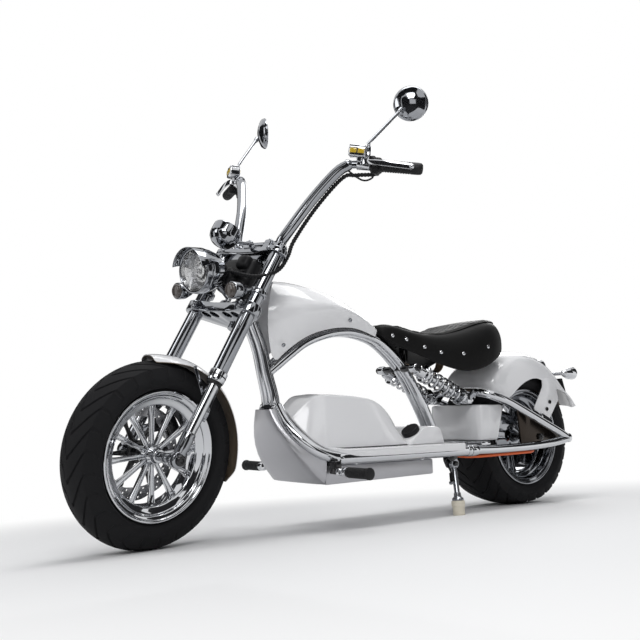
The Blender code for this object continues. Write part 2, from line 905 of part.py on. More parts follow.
LAMP_AXIS = Vector((0.985, 0.0, -0.10)).normalized()
LAMP_FACE = Vector((1.272, 0.0, 0.716)) + FORK_SHIFT
LAMP_R = 0.060
SIGNAL_UP = LOWER_CLAMP_UP + 0.054


def front_lights(parent):
    """Headlight with its visor and lens, speedometer cup, and the signal bar."""
    bullet = turned(
        "headlight",
        [
            (0.004, 0.0),
            (0.004, LAMP_R - 0.006),
            (0.014, LAMP_R - 0.006),
            (0.014, LAMP_R),
            (-0.006, LAMP_R + 0.002),
            (-0.030, LAMP_R - 0.003),
            (-0.060, LAMP_R * 0.78),
            (-0.085, LAMP_R * 0.45),
            (-0.100, 0.0),
        ],
        LAMP_FACE,
        LAMP_AXIS,
        20,
    )
    visor = turned(
        "visor",
        [(-0.010, LAMP_R - 0.002), (-0.010, LAMP_R + 0.0025),
         (0.034, LAMP_R + 0.003), (0.034, LAMP_R + 0.0005)],
        LAMP_FACE,
        LAMP_AXIS,
        20,
        closed=True,
    )
    keep_top = box(
        "keep_top",
        LAMP_FACE + Vector((0.02, 0.0, 0.064)),
        (0.20, 0.20, 0.10),
        Matrix.Rotation(math.radians(16.0), 4, "Y"),
    )
    visor = joined("visor", [visor, keep_top], "INTERSECT")
    saddle = fork_point(LOWER_CLAMP_UP + CLAMP_THICK / 2 + GAP, FORK_OFFSET)
    lamp_low = LAMP_FACE - 0.072 * LAMP_AXIS - Vector((0.0, 0.0, 0.028))
    arm = tube("arm", [saddle + 0.004 * UP_FORK, saddle + 0.024 * UP_FORK, lamp_low],
               0.009, 8, None)
    foot = rod("foot", saddle, saddle + 0.008 * UP_FORK, 0.017, sides=10)
    keep(joined("headlight", [bullet, visor, arm, foot]), "headlight", "chrome", parent)

    lens = turned(
        "headlight_lens",
        [
            (0.004 + GAP, 0.0),
            (0.004 + GAP, LAMP_R - 0.006 - GAP),
            (0.011, LAMP_R - 0.006 - GAP),
            (0.015, LAMP_R * 0.5),
            (0.0165, 0.0),
        ],
        LAMP_FACE,
        LAMP_AXIS,
        20,
    )
    keep(lens, "headlight_lens", "lens", parent)

    dial_axis = Vector((-0.50, 0.0, 0.866))
    dial_at = Vector((1.182, 0.0, 0.826)) + FORK_SHIFT
    cup = turned(
        "speedometer",
        [
            (0.018, 0.0),
            (0.018, 0.036),
            (0.022, 0.038),
            (0.020, 0.041),
            (-0.012, 0.041),
            (-0.030, 0.033),
            (-0.038, 0.0),
        ],
        dial_at,
        dial_axis,
        18,
    )
    root = fork_point(UPPER_CLAMP_UP + 0.009 + GAP + 0.005, FORK_OFFSET + 0.004)
    bend = root + 0.014 * UP_FORK + 0.008 * AHEAD_FORK
    neck = tube("neck", [root + 0.002 * UP_FORK, bend, dial_at - 0.020 * dial_axis],
                0.006, 8, None)
    pad = box("pad", root, (0.030, 0.040, 0.010), frame_along(UP_FORK, AHEAD_FORK))
    keep(joined("speedometer", [cup, neck, pad]), "speedometer", "chrome", parent)

    for label, side in SIDES.items():
        y = side * LEG_SPREAD
        at = fork_point(SIGNAL_UP, side=y)
        centre = at + Vector((0.080, side * 0.004, 0.002))
        ring = rod("ring", at - 0.007 * UP_FORK, at + 0.007 * UP_FORK, LEG_R + 0.006, sides=14)
        link = rod("link", at + 0.022 * AHEAD_FORK, centre, 0.005, sides=8)
        bullet = turned(
            "signal",
            [(0.030, 0.0), (0.028, 0.018), (0.020, 0.0235), (-0.004, 0.022),
             (-0.026, 0.012), (-0.036, 0.0)],
            centre,
            (1.0, 0.0, -0.08),
            12,
        )
        signal = cut(joined("signal", [ring, link, bullet]),
                     bore(at - 0.02 * UP_FORK, at + 0.02 * UP_FORK, LEG_R, 16))
        keep(signal, f"front_signal_{label}", "chrome", parent)


def bar_tubes(grow):
    """The wide bar and its two thinner ends, or slightly wider copies to cut with."""
    foot = bar_seat_path()
    left = [on_bar(p, 1.0) for p in BAR_LEFT]
    right = [on_bar(p, -1.0) for p in reversed(BAR_LEFT)]
    pieces = [tube("handlebar", [*right, foot[0], foot[1], *left], BAR_R + grow, 10, 0.030)]
    for side in (1.0, -1.0):
        middle = (on_bar(BAR_LEFT[-1], side) + on_bar(BAR_LEFT[-2], side)) / 2
        path = [middle, on_bar(BAR_LEFT[-1], side), on_bar(BAR_INNER, side), on_bar(BAR_END, side)]
        pieces.append(tube("bar_end", path, BAR_END_R + grow, 8, 0.040))
    return pieces


def handlebar(parent):
    """The high chrome bar with its grips, brake controls, mirrors and hose."""
    keep(joined("handlebar", bar_tubes(0.0)), "handlebar", "chrome", parent)

    for label, side in SIDES.items():
        inner = on_bar(BAR_INNER, side)
        end = on_bar(BAR_END, side)
        way = (end - inner).normalized()
        sleeve = rod("grip", inner + 0.022 * way, end + 0.006 * way, GRIP_R, sides=10)
        switch = box("switch", inner + 0.016 * way, (0.040, 0.036, 0.030),
                     frame_along(way), 0.005)
        grip = joined("grip", [sleeve, switch])
        grip = cut(grip, bore(inner - 0.02 * way, end + GAP * way, BAR_END_R),
                   *bar_tubes(0.0006))
        keep(grip, f"grip_{label}", "rubber", parent)

        perch = inner - 0.026 * way
        clamp = rod("clamp", perch - 0.016 * way, perch + 0.022 * way, 0.0165, sides=18)
        pot = box("pot", perch + Vector((0.012, 0.0, 0.030)), (0.034, 0.044, 0.026),
                  frame_along(way), 0.004)
        neck = box("neck", perch + Vector((0.014, 0.0, 0.014)), (0.022, 0.022, 0.018),
                   frame_along(way))
        lead = perch + 0.020 * way + Vector((0.030, 0.0, -0.002))
        lever = tube("lever", [perch + Vector((0.010, 0.0, 0.0)), lead,
                               inner + 0.050 * way + Vector((0.040, 0.0, -0.004)),
                               end + Vector((0.044, 0.0, -0.010))], 0.0045, 8, 0.03)
        stalk = rod("stalk", perch + 0.014 * way,
                    perch + 0.014 * way + Vector((0.0, 0.0, 0.036)), 0.007, sides=10)
        control = joined("control", [clamp, neck, pot, stalk, lever])
        control = cut(control, *bar_tubes(0.0006))
        keep(control, f"control_{label}", "chrome", parent)

        root = perch + 0.014 * way + Vector((0.0, 0.0, 0.036 + GAP))
        dish_at = on_bar(MIRROR_AT, side)
        face = sided(MIRROR_FACES, side).normalized()
        stem = tube("stem", [root, root + Vector((0.0, 0.0, 0.012)),
                             root + Vector((-0.006, side * 0.002, 0.030)),
                             dish_at - face * 0.014 + Vector((0.030, -side * 0.028, -0.040)),
                             dish_at - face * 0.010], 0.005, 8, None)
        dish = turned(
            "dish",
            [(0.004, 0.0), (0.004, 0.047), (0.007, 0.050), (0.003, 0.052),
             (-0.006, 0.048), (-0.014, 0.030), (-0.018, 0.0)],
            dish_at,
            face,
            20,
        )
        keep(joined("mirror", [stem, dish]), f"mirror_{label}", "chrome", parent)


# Control hose on the left, straight ahead: (x, y, z) from the switch to the lamp
HOSE_PATH = (
    (0.8942, 0.2925, 1.0240),
    (0.8949, 0.2912, 1.0103),
    (0.9080, 0.2680, 0.9960),
    (0.9460, 0.2260, 0.9720),
    (0.9850, 0.1750, 0.9150),
    (1.0200, 0.1500, 0.8450),
    (1.0580, 0.1500, 0.7750),
    (1.1000, 0.1500, 0.7350),
    (1.1420, 0.1400, 0.7280),
    (1.1660, 0.1000, 0.7260),
    (1.1668, 0.0450, 0.7270),
    (1.1668, 0.0040, 0.7270),
)
HOSE_R = 0.006


def control_hose(parent):
    """The sleeve that carries the wires from the left switch to the headlight."""
    path = [on_bar(p, 1.0) for p in HOSE_PATH]
    hose = tube("control_hose", path, HOSE_R, 8, 0.030)
    keep(hose, "control_hose", "black_plastic", parent)


def front_caliper(parent):
    """Brake caliper round the disc, bolted to the right leg."""
    angle = math.radians(150.0)
    reach = FRONT_DISC_R - 0.006
    centre = FRONT_AXLE + Vector((reach * math.cos(angle), 0.0, reach * math.sin(angle)))
    turn = Matrix.Rotation(-angle, 4, "Y")
    outer_y = CALIPER_PLATE_Y + CALIPER_PLATE_THICK / 2 + GAP
    inner_y = FRONT_DISC_Y + 0.013
    body = box("caliper", Vector((centre.x, (inner_y + outer_y) / 2, centre.z)),
               (0.036, inner_y - outer_y, 0.064), turn, 0.005)
    slot = turned(
        "slot",
        [(-0.007, 0.0), (-0.007, FRONT_DISC_R + 0.006), (0.007, FRONT_DISC_R + 0.006),
         (0.007, 0.0)],
        FRONT_AXLE + FRONT_DISC_Y * LEFT,
        LEFT,
        36,
    )
    body = cut(body, slot)
    keep(body, "front_caliper", "steel", parent)


# Chassis

# Frame tubes on the left: (x, y, z)
DOWN_TUBE = (
    (1.080, TWIN_Y, 0.600),
    (1.047, TWIN_Y, 0.520),
    (1.030, 0.0165, 0.449),
    (1.013, 0.0200, 0.385),
    (1.008, 0.0240, 0.345),
)
RAIL_FRONT = (
    (1.008, 0.030, 0.352),
    (1.004, 0.058, 0.312),
    (0.993, 0.086, 0.280),
    (0.969, 0.113, 0.249),
    (0.936, 0.133, 0.223),
    (0.885, 0.145, 0.208),
    (0.830, 0.148, 0.205),
    (0.352, 0.148, 0.205),
)
SPINE = (
    (1.026, TWIN_Y, 0.450),
    (0.954, TWIN_Y, 0.502),
    (0.899, TWIN_Y, 0.538),
    (0.841, TWIN_Y, 0.561),
    (0.782, TWIN_Y, 0.575),
    (0.721, TWIN_Y, 0.579),
    (0.660, TWIN_Y, 0.571),
    (0.600, TWIN_Y, 0.550),
    (0.532, TWIN_Y, 0.500),
    (0.481, TWIN_Y, 0.444),
    (0.442, TWIN_Y, 0.386),
    (0.403, TWIN_Y, 0.320),
    (0.375, TWIN_Y, 0.260),
    (0.366, TWIN_Y, 0.212),
)
NECK_LOW_UP = LOWER_CLAMP_UP + CLAMP_THICK / 2 + 0.0012
NECK_HIGH_UP = UPPER_CLAMP_UP - 0.009 - 0.0012
CROSS_R = 0.012
CROSS_Z = 0.1985
BOLT_R = 0.006


def both_sides(points):
    """The left-hand points, then the same points on the right."""
    return [[sided(p, side) for p in points] for side in (1.0, -1.0)]


def main_frame(parent):
    """Neck, twin down tubes, twin spine, floor rails, cross bars and brackets."""
    pieces = [
        rod("neck", DRAWN_STEER_FOOT + NECK_LOW_UP * UP_FORK,
            DRAWN_STEER_FOOT + NECK_HIGH_UP * UP_FORK, NECK_R, sides=10)
    ]
    for points, radius, sides in (
        (DOWN_TUBE, DOWN_R, 8),
        (RAIL_FRONT, RAIL_R, 8),
        (SPINE, SPINE_R, 8),
    ):
        for path in both_sides(points):
            pieces.append(tube("tube", path, radius, sides, 0.060))
    rest_top = DECK_TOP - DECK_THICK - GAP
    for x in (0.560, 0.820):
        pieces.append(rod("cross", (x, -0.148, CROSS_Z), (x, 0.148, CROSS_Z), CROSS_R))
        for side in (1.0, -1.0):
            pieces.append(box("deck_rest", (x, side * 0.090, (CROSS_Z + rest_top) / 2),
                              (0.018, 0.030, rest_top - CROSS_Z)))
    pieces.append(rod("cross", (0.366, -0.148, 0.206), (0.366, 0.148, 0.206), 0.0140))
    pieces.append(rod("toe", (1.009, -0.040, 0.350), (1.009, 0.040, 0.350), 0.0150))
    x, z = SHOCK_TOP
    pieces.append(rod("bolt", (x, -SHOCK_Y - 0.022, z), (x, SHOCK_Y + 0.022, z), BOLT_R))
    for side in (1.0, -1.0):
        for inner, outer in ((0.020, SHOCK_Y - 0.0143), (SHOCK_Y + 0.0143, SHOCK_Y + 0.022)):
            pieces.append(rod("boss", (x, side * inner, z), (x, side * outer, z), 0.011))
        pieces.append(
            box("peg_arm", (PEG_X, side * 0.159, 0.183), (0.022, 0.030, 0.036), bevel=0.003)
        )
    px, py, pz = STAND_PIVOT
    pieces.append(box("stand_plate", (px, py - 0.011, 0.178), (0.060, 0.008, 0.056)))
    pieces.append(box("stand_arm", (px, py + 0.007, 0.196), (0.050, 0.044, 0.014)))
    pieces.append(rod("stand_pin", (px, py - 0.012, pz), (px, py + 0.0145, pz), 0.006))
    pieces.append(rod("stand_nut", (px, py + 0.0105, pz), (px, py + 0.0165, pz), 0.0085, sides=6))
    body = joined("main_frame", pieces)
    body = cut(body, bore(DRAWN_STEER_FOOT + 0.40 * UP_FORK, DRAWN_STEER_FOOT + 0.70 * UP_FORK,
                          STEM_R + GAP, 16))
    keep(body, "main_frame", "chrome", parent, drawn=True)


# Nose guard rows from the top: crease point, then the point at the tube
GUARD_ROWS = (
    ((1.037, 0.036, 0.345), (1.010, 0.040, 0.345)),
    ((1.031, 0.058, 0.300), (1.002, 0.065, 0.300)),
    ((1.008, 0.092, 0.244), (0.969, 0.113, 0.249)),
    ((0.972, 0.114, 0.190), (0.936, 0.133, 0.223)),
    ((0.9183, 0.130, 0.137), (0.9183, 0.139, 0.214)),
)
GUARD_THICK = 0.0025
PAN_FRONT_X = 0.918
PAN_REAR_X = 0.500
PAN_HALF = 0.1305
PAN_TOP = CROSS_Z - CROSS_R - GAP


def underbody(parent):
    """Nose guard sheet and the belly pan behind it."""
    rings = []
    for crease, back in GUARD_ROWS:
        rings.append([sided(back, 1.0), sided(crease, 1.0), sided(crease, 1.0) * 0.5
                      + sided(crease, -1.0) * 0.5 + Vector((0.004, 0.0, 0.0)),
                      sided(crease, -1.0), sided(back, -1.0)])
    skin = loft("nose_guard", rings, closed_rings=False, capped=False)
    guard = shelled(skin, GUARD_THICK, 1.0)
    tubes = [tube("keepout", path, RAIL_R + GAP, 8, 0.060) for path in both_sides(RAIL_FRONT)]
    tubes += [tube("keepout", path, DOWN_R + GAP, 8, 0.060) for path in both_sides(DOWN_TUBE)]
    tubes.append(rod("keepout", (1.009, -0.0405, 0.350), (1.009, 0.0405, 0.350), 0.0153))
    tubes.append(box("keepout", (PAN_FRONT_X - 0.05, 0.0, 0.2), (0.1, 0.5, 0.4)))
    guard = cut(guard, *tubes)
    keep(guard, "nose_guard", "brushed", parent, drawn=True)

    side = [
        (PAN_REAR_X, 0.141),
        (PAN_FRONT_X - GAP, 0.1345),
        (PAN_FRONT_X - GAP, PAN_TOP),
        (PAN_REAR_X, PAN_TOP),
    ]
    pan = side_plate("belly_pan", side, 0.0, 2 * PAN_HALF)
    keep(pan, "belly_pan", "brushed", parent, drawn=True)


# Deck stations: (x, top z, half width)
DECK_TOP = 0.230
DECK_ROWS = (
    (0.3900, DECK_TOP, 0.138),
    (0.6000, DECK_TOP, 0.140),
    (0.8600, DECK_TOP, 0.140),
    (0.9150, 0.239, 0.130),
    (0.9450, 0.262, 0.112),
    (0.9640, 0.290, 0.088),
    (0.9760, 0.318, 0.062),
    (0.9830, 0.338, 0.046),
)
DECK_THICK = 0.006


def deck_solid(name, lift, thick):
    """The deck's own body, or a deeper and higher one to cut its neighbours with."""
    rings = []
    for x, z, half in DECK_ROWS:
        top = z + lift
        wide = half + (0.03 if lift else 0.0)
        rings.append([(x, wide, top), (x, -wide, top),
                      (x, -wide, z - thick), (x, wide, z - thick)])
    return loft(name, rings)


# Centre box stations: (x, top z, half width at the foot, half width at the shoulder)
BOX_ROWS = (
    (0.530, 0.236, 0.100, 0.060),
    (0.548, 0.258, 0.106, 0.070),
    (0.590, 0.305, 0.112, 0.082),
    (0.638, 0.350, 0.115, 0.088),
    (0.690, 0.376, 0.116, 0.090),
    (0.770, 0.386, 0.116, 0.090),
    (0.880, 0.389, 0.113, 0.084),
    (0.940, 0.386, 0.098, 0.066),
    (0.965, 0.366, 0.080, 0.050),
    (0.978, 0.344, 0.060, 0.040),
)
BLOCK_SIDE = (
    (0.585, DECK_TOP + GAP),
    (0.575, 0.248),
    (0.520, 0.286),
    (0.455, 0.285),
    (0.436, DECK_TOP + GAP),
)
CAP_AT = (0.548, 0.0, 0.2775)
CAP_R = 0.031


def floor_covers(parent):
    """Deck, centre box, rear deck cover and the round charge cap."""
    keep(deck_solid("deck_tray", 0.0, DECK_THICK), "deck_tray", "white_paint", parent, drawn=True)

    rings = []
    for x, top, foot, shoulder in BOX_ROWS:
        rise = top - 0.20
        half = [
            (x, 0.0, top),
            (x, shoulder * 0.55, top - 0.002),
            (x, shoulder * 0.88, top - 0.010 * min(1.0, rise / 0.1)),
            (x, shoulder, top - 0.026 * min(1.0, rise / 0.1)),
            (x, foot, 0.245 if top > 0.25 else top - 0.008),
            (x, foot, 0.200),
        ]
        rings.append(mirrored_points(half))
    dome = cut(loft("centre_box", rings), deck_solid("clear", GAP, 0.2))
    keep(dome, "centre_box", "white_paint", parent, drawn=True)

    block = side_plate("rear_deck_cover", BLOCK_SIDE, 0.0, 0.250)
    clear = cut_copy_of_box(0.004)
    seat_bore = bore((CAP_AT[0] - 0.02, 0.0, CAP_AT[2] + 0.03),
                     (CAP_AT[0] + 0.001, 0.0, CAP_AT[2] - 0.001), CAP_R, 20)
    block = cut(block, clear, seat_bore)
    keep(block, "rear_deck_cover", "white_paint", parent, drawn=True)

    lean = Vector((-0.021, 0.0, 0.031)).normalized()
    low = Vector((CAP_AT[0] + 0.001, 0.0, CAP_AT[2] - 0.001)) + GAP * lean
    cap = turned(
        "charge_cap",
        [(0.0, 0.0), (0.0, CAP_R - 0.001), (0.014, CAP_R - 0.001), (0.017, CAP_R - 0.004),
         (0.017, 0.0)],
        low,
        lean,
        24,
    )
    keep(cap, "charge_cap", "black_plastic", parent, drawn=True)


def cut_copy_of_box(grow):
    """A slightly wider copy of the centre box, for cutting what stands behind it."""
    rings = []
    for x, top, foot, shoulder in ((BOX_ROWS[0][0] - grow - 0.002, *BOX_ROWS[0][1:]), *BOX_ROWS):
        half = [
            (x, 0.0, top + grow),
            (x, shoulder + grow, top + grow),
            (x, foot + grow, top + grow - 0.004),
            (x, foot + grow, 0.150),
        ]
        rings.append(mirrored_points(half))
    return loft("box_clear", rings)


# Tank shell on the left, front to rear: ridge (x, z), then shoulder, belly and lower edge
TANK_ROWS = (
    ((0.996, 0.716), (1.030, 0.036, 0.678), (1.055, 0.056, 0.600), (1.042, 0.044, 0.530),
     (1.022, 0.036, 0.468)),
    ((0.949, 0.716), (0.975, 0.058, 0.688), (1.005, 0.084, 0.620), (1.000, 0.072, 0.560),
     (0.985, 0.047, 0.506)),
    ((0.872, 0.703), (0.900, 0.068, 0.680), (0.930, 0.100, 0.632), (0.932, 0.086, 0.585),
     (0.928, 0.056, 0.547)),
    ((0.803, 0.687), (0.830, 0.068, 0.668), (0.858, 0.101, 0.638), (0.866, 0.086, 0.602),
     (0.868, 0.060, 0.570)),
    ((0.743, 0.664), (0.765, 0.060, 0.650), (0.786, 0.090, 0.634), (0.796, 0.076, 0.606),
     (0.800, 0.060, 0.582)),
    ((0.683, 0.632), (0.703, 0.050, 0.626), (0.722, 0.072, 0.618), (0.735, 0.064, 0.600),
     (0.740, 0.055, 0.583)),
    ((0.640, 0.604), (0.652, 0.038, 0.602), (0.664, 0.050, 0.598), (0.676, 0.047, 0.586),
     (0.684, 0.045, 0.574)),
    ((0.626, 0.594), (0.628, 0.030, 0.591), (0.632, 0.037, 0.583), (0.636, 0.037, 0.572),
     (0.640, 0.037, 0.563)),
)
TANK_THICK = 0.003
# Mounting bars inside the tank, over the spine: (x, spine z)
TANK_BARS = ((0.899, 0.538), (0.721, 0.579))
TANK_BAR_R = 0.008
TANK_BAR_LIFT = 0.012
TANK_CORE_SHARE = 0.985


def tank_shell(parent):
    """The tank: a thin skin over the spine, open below and at the neck."""
    rows = []
    for ridge, shoulder, belly, tuck, low in TANK_ROWS:
        left = [(ridge[0], 0.0, ridge[1]), shoulder, belly, tuck, low]
        right = [sided(p, -1.0) for p in reversed(left[1:])]
        rows.append([*right, *left])
    skin = loft("tank_shell", rows, closed_rings=False, capped=False)
    shell = shelled(skin, TANK_THICK, -1.0)
    bars = []
    for x, spine_z in TANK_BARS:
        core = loft("core", [[Vector((p[0], p[1] * TANK_CORE_SHARE, p[2])) for p in row]
                             for row in rows])
        z = spine_z + TANK_BAR_LIFT
        bar = rod("bar", (x, -0.12, z), (x, 0.12, z), TANK_BAR_R)
        bars.append(joined("bar", [bar, core], "INTERSECT"))
    spines = [tube("clear", path, SPINE_R + GAP, 8, 0.060) for path in both_sides(SPINE)]
    shell = cut(joined("tank_shell", [shell, *bars]), *spines)
    keep(shell, "tank_shell", "white_paint", parent, 50.0, drawn=True)


# Saddle stations: (x, top z, half width, skirt z, underside z)
SEAT_ROWS = (
    (0.620, 0.597, 0.014, 0.586, 0.5880),
    (0.613, 0.603, 0.035, 0.574, 0.5850),
    (0.592, 0.609, 0.048, 0.556, 0.5830),
    (0.556, 0.606, 0.056, 0.537, 0.5740),
    (0.500, 0.590, 0.072, 0.515, 0.5560),
    (0.440, 0.580, 0.096, 0.496, 0.5440),
    (0.380, 0.585, 0.126, 0.476, 0.5450),
    (0.320, 0.602, 0.148, 0.462, 0.5520),
    (0.260, 0.622, 0.158, 0.462, 0.5600),
    (0.200, 0.636, 0.154, 0.480, 0.5640),
    (0.150, 0.639, 0.132, 0.510, 0.5640),
    (0.118, 0.624, 0.098, 0.548, 0.5750),
    (0.104, 0.598, 0.050, 0.578, 0.5850),
)
SKIRT_THICK = 0.010
SEAT_PAN_TOP = min(row[4] for row in SEAT_ROWS) - GAP


def saddle(parent):
    """The sprung saddle and the pan and bow that carry it."""
    rings = []
    for x, top, half, skirt, under in SEAT_ROWS:
        thin = min(SKIRT_THICK, half * 0.25)
        side = [
            (x, 0.0, top),
            (x, half * 0.45, top + 0.003),
            (x, half * 0.80, top - 0.004),
            (x, half * 0.97, top * 0.72 + skirt * 0.28),
            (x, half, top * 0.35 + skirt * 0.65),
            (x, half - 0.002, skirt),
            (x, half - 0.002 - thin, skirt),
            (x, half - 0.004 - thin, min(under, skirt + 0.03)),
            (x, max(half * 0.70 - thin, half * 0.3), under),
            (x, 0.0, under),
        ]
        rings.append(side + [sided(p, -1.0) for p in reversed(side[1:-1])])
    seat = loft("seat", rings)
    keep(seat, "seat", "leather", parent, 50.0, drawn=True)

    pieces = [
        box("pan", (0.420, 0.0, SEAT_PAN_TOP - 0.002), (0.150, 0.060, 0.004)),
        box("post", (0.486, 0.0, 0.513), (0.012, 0.030, 0.058)),
        box("foot", (0.4928, 0.0, 0.4822), (0.050, 0.030, 0.006),
            Matrix.Rotation(math.radians(-48.0), 4, "Y")),
    ]
    bow = [(0.360, SEAT_PAN_TOP - 0.003), (0.330, 0.520), (0.318, 0.495), (0.330, 0.470),
           (0.360, 0.455), (0.400, 0.452), (0.440, 0.462), (0.488, 0.486)]
    line = smooth_path([(x, 0.0, z) for x, z in bow], 0.012)
    outer = []
    inner = []
    for before, here, after in zip([line[0], *line], line, [*line[1:], line[-1]]):
        way = (after - before).normalized()
        normal = Vector((-way.z, 0.0, way.x))
        outer.append(here + 0.002 * normal)
        inner.append(here - 0.002 * normal)
    loop = [(p.x, p.z) for p in outer] + [(p.x, p.z) for p in reversed(inner)]
    pieces.append(side_plate("bow", loop, 0.0, 0.036))
    frame_clear = [tube("clear", path, SPINE_R + GAP, 8, 0.060) for path in both_sides(SPINE)]
    x, z = SHOCK_TOP
    frame_clear.append(rod("clear", (x, -0.08, z), (x, 0.08, z), 0.0113))
    bracket = cut(joined("seat_bow", pieces), *frame_clear)
    keep(bracket, "seat_bow", "steel", parent, drawn=True)


def shocks(parent):
    """Two coil-over shocks between the spine's bolt and the swingarm."""
    for label, side in SIDES.items():
        y = side * SHOCK_Y
        top = Vector((SHOCK_TOP[0], y, SHOCK_TOP[1]))
        foot = Vector((SHOCK_FOOT[0], y, SHOCK_FOOT[1]))
        way = (foot - top).normalized()
        length = (foot - top).length
        across = 0.014
        pieces = [
            rod("eye", top - across * LEFT, top + across * LEFT, 0.014, sides=10),
            rod("eye", foot - across * LEFT, foot + across * LEFT, 0.014, sides=10),
            rod("body", top + 0.008 * way, foot - 0.008 * way, 0.0125, sides=10),
            rod("head", top + 0.012 * way, top + 0.042 * way, 0.020, sides=10),
            rod("seat", top + 0.040 * way, top + 0.050 * way, 0.0295, sides=10),
            rod("seat", foot - 0.036 * way, foot - 0.026 * way, 0.0295, sides=10),
            rod("base", foot - 0.030 * way, foot - 0.008 * way, 0.0135, sides=10),
        ]
        start = top + 0.046 * way
        run = length - 0.046 - 0.032
        turn = frame_along(way)
        steps = SPRING_TURNS * 6
        coil = []
        for k in range(steps + 1):
            angle = 2 * math.pi * SPRING_TURNS * k / steps
            local = Vector((SPRING_R * math.cos(angle), SPRING_R * math.sin(angle),
                            run * k / steps))
            coil.append(start + turn.to_3x3() @ local)
        pieces.append(tube("spring", coil, WIRE_R, 4, None))
        shock = joined(f"shock_{label}", pieces)
        bores = [bore(p - 0.02 * LEFT, p + 0.02 * LEFT, BOLT_R) for p in (top, foot)]
        keep(cut(shock, *bores), f"shock_{label}", "chrome", parent,
             drawn=True)


# Swingarm tubes on the left: (x, y, z)
SWING_UPPER = (
    (-0.157, 0.150, 0.229),
    (-0.120, 0.150, 0.247),
    (-0.072, 0.150, 0.267),
    (0.051, 0.150, 0.317),
    (0.150, 0.150, 0.356),
    (0.198, 0.148, 0.371),
    (0.230, 0.136, 0.382),
    (0.246, 0.105, 0.390),
    (0.251, 0.060, 0.393),
    (0.252, 0.000, 0.394),
)
SWING_LOWER = (
    (0.3512, 0.148, 0.205),
    (0.300, 0.149, 0.204),
    (0.218, 0.150, 0.203),
    (0.060, 0.150, 0.206),
    (-0.068, 0.150, 0.214),
    (-0.157, 0.150, 0.226),
)
AXLE_PLATE = (
    (-0.075, 0.214),
    (0.098, 0.205),
    (0.112, 0.338),
    (0.020, 0.303),
    (-0.075, 0.265),
)
STRUT_Y = 0.1215
STRUT_THICK = 0.004
FENDER_TAB = ((-0.046, 0.280), (0.012, 0.304), (0.004, 0.332), (-0.054, 0.308))


def swingarm(parent):
    """Upper loop, lower tubes, axle plates, cross members and shock lugs."""
    loop = [sided(p, 1.0) for p in SWING_UPPER]
    loop += [sided(p, -1.0) for p in reversed(SWING_UPPER[:-1])]
    pieces = [tube("upper", loop, SWING_R, 8, 0.07)]
    tab_in = STRUT_Y + STRUT_THICK / 2 + GAP
    tab_out = 0.1425
    for side in (1.0, -1.0):
        pieces.append(tube("lower", [sided(p, side) for p in SWING_LOWER], SWING_R, 8, 0.06))
        pieces.append(side_plate("axle_plate", AXLE_PLATE, side * 0.150, 0.008))
        pieces.append(rod("collar", (0.3508, side * 0.148, 0.205),
                          (0.322, side * 0.1485, 0.2045), 0.0185, sides=10))
        pieces.append(rod("tip", (-0.157, side * 0.137, 0.228), (-0.157, side * 0.163, 0.228),
                          0.016, sides=10))
        pieces.append(side_plate("fender_tab", FENDER_TAB, side * (tab_in + tab_out) / 2,
                                 tab_out - tab_in))
        x, z = SHOCK_FOOT
        for y in (SHOCK_Y - 0.0143 - 0.003, SHOCK_Y + 0.0143 + 0.003):
            lug = [(x - 0.006, z - 0.013), (x + 0.013, z - 0.010), (x + 0.012, z + 0.010),
                   (0.262, 0.402), (0.244, 0.384)]
            pieces.append(side_plate("lug", lug, side * y, 0.006))
        pieces.append(rod("lug_bolt", (x, side * (SHOCK_Y - 0.021), z),
                          (x, side * (SHOCK_Y + 0.021), z), BOLT_R))
    pieces.append(rod("cross", (0.334, -0.148, 0.2045), (0.334, 0.148, 0.2045), 0.013))
    pieces.append(box("shelf", (0.268, 0.0, 0.2235), (0.044, 0.300, 0.016)))
    body = joined("swingarm", pieces)
    bores = [bore((0.0, side * 0.13, DRAWN_REAR_AXLE.z), (0.0, side * 0.17, DRAWN_REAR_AXLE.z), AXLE_R)
             for side in (1.0, -1.0)]
    keep(cut(body, *bores), "swingarm", "chrome", parent, drawn=True)


BUCKET_LOW = 0.2318
BUCKET_TOP = 0.3500
# Inner fender in plan, on the left: (x, y)
INNER_PLAN = (
    (0.183, 0.119),
    (0.218, 0.121),
    (0.240, 0.114),
    (0.254, 0.098),
    (0.262, 0.070),
    (0.265, 0.000),
)
# Rear fender: (degrees from ahead, crown radius, lower edge radius, side y)
FENDER_ROWS = (
    (40.0, 0.264, 0.246, 0.100),
    (43.0, 0.281, 0.236, 0.114),
    (49.0, 0.291, 0.206, 0.120),
    (60.0, 0.298, 0.199, 0.122),
    (76.0, 0.302, 0.205, 0.122),
    (90.0, 0.303, 0.205, 0.122),
    (104.0, 0.302, 0.196, 0.122),
    (118.0, 0.296, 0.196, 0.122),
    (130.0, 0.290, 0.207, 0.122),
    (141.0, 0.289, 0.214, 0.122),
    (151.0, 0.293, 0.242, 0.124),
    (159.0, 0.303, 0.272, 0.128),
)
STRUT = (
    (-0.030, 0.452),
    (-0.024, 0.415),
    (0.017, 0.338),
    (-0.064, 0.3065),
    (-0.106, 0.385),
    (-0.104, 0.440),
)


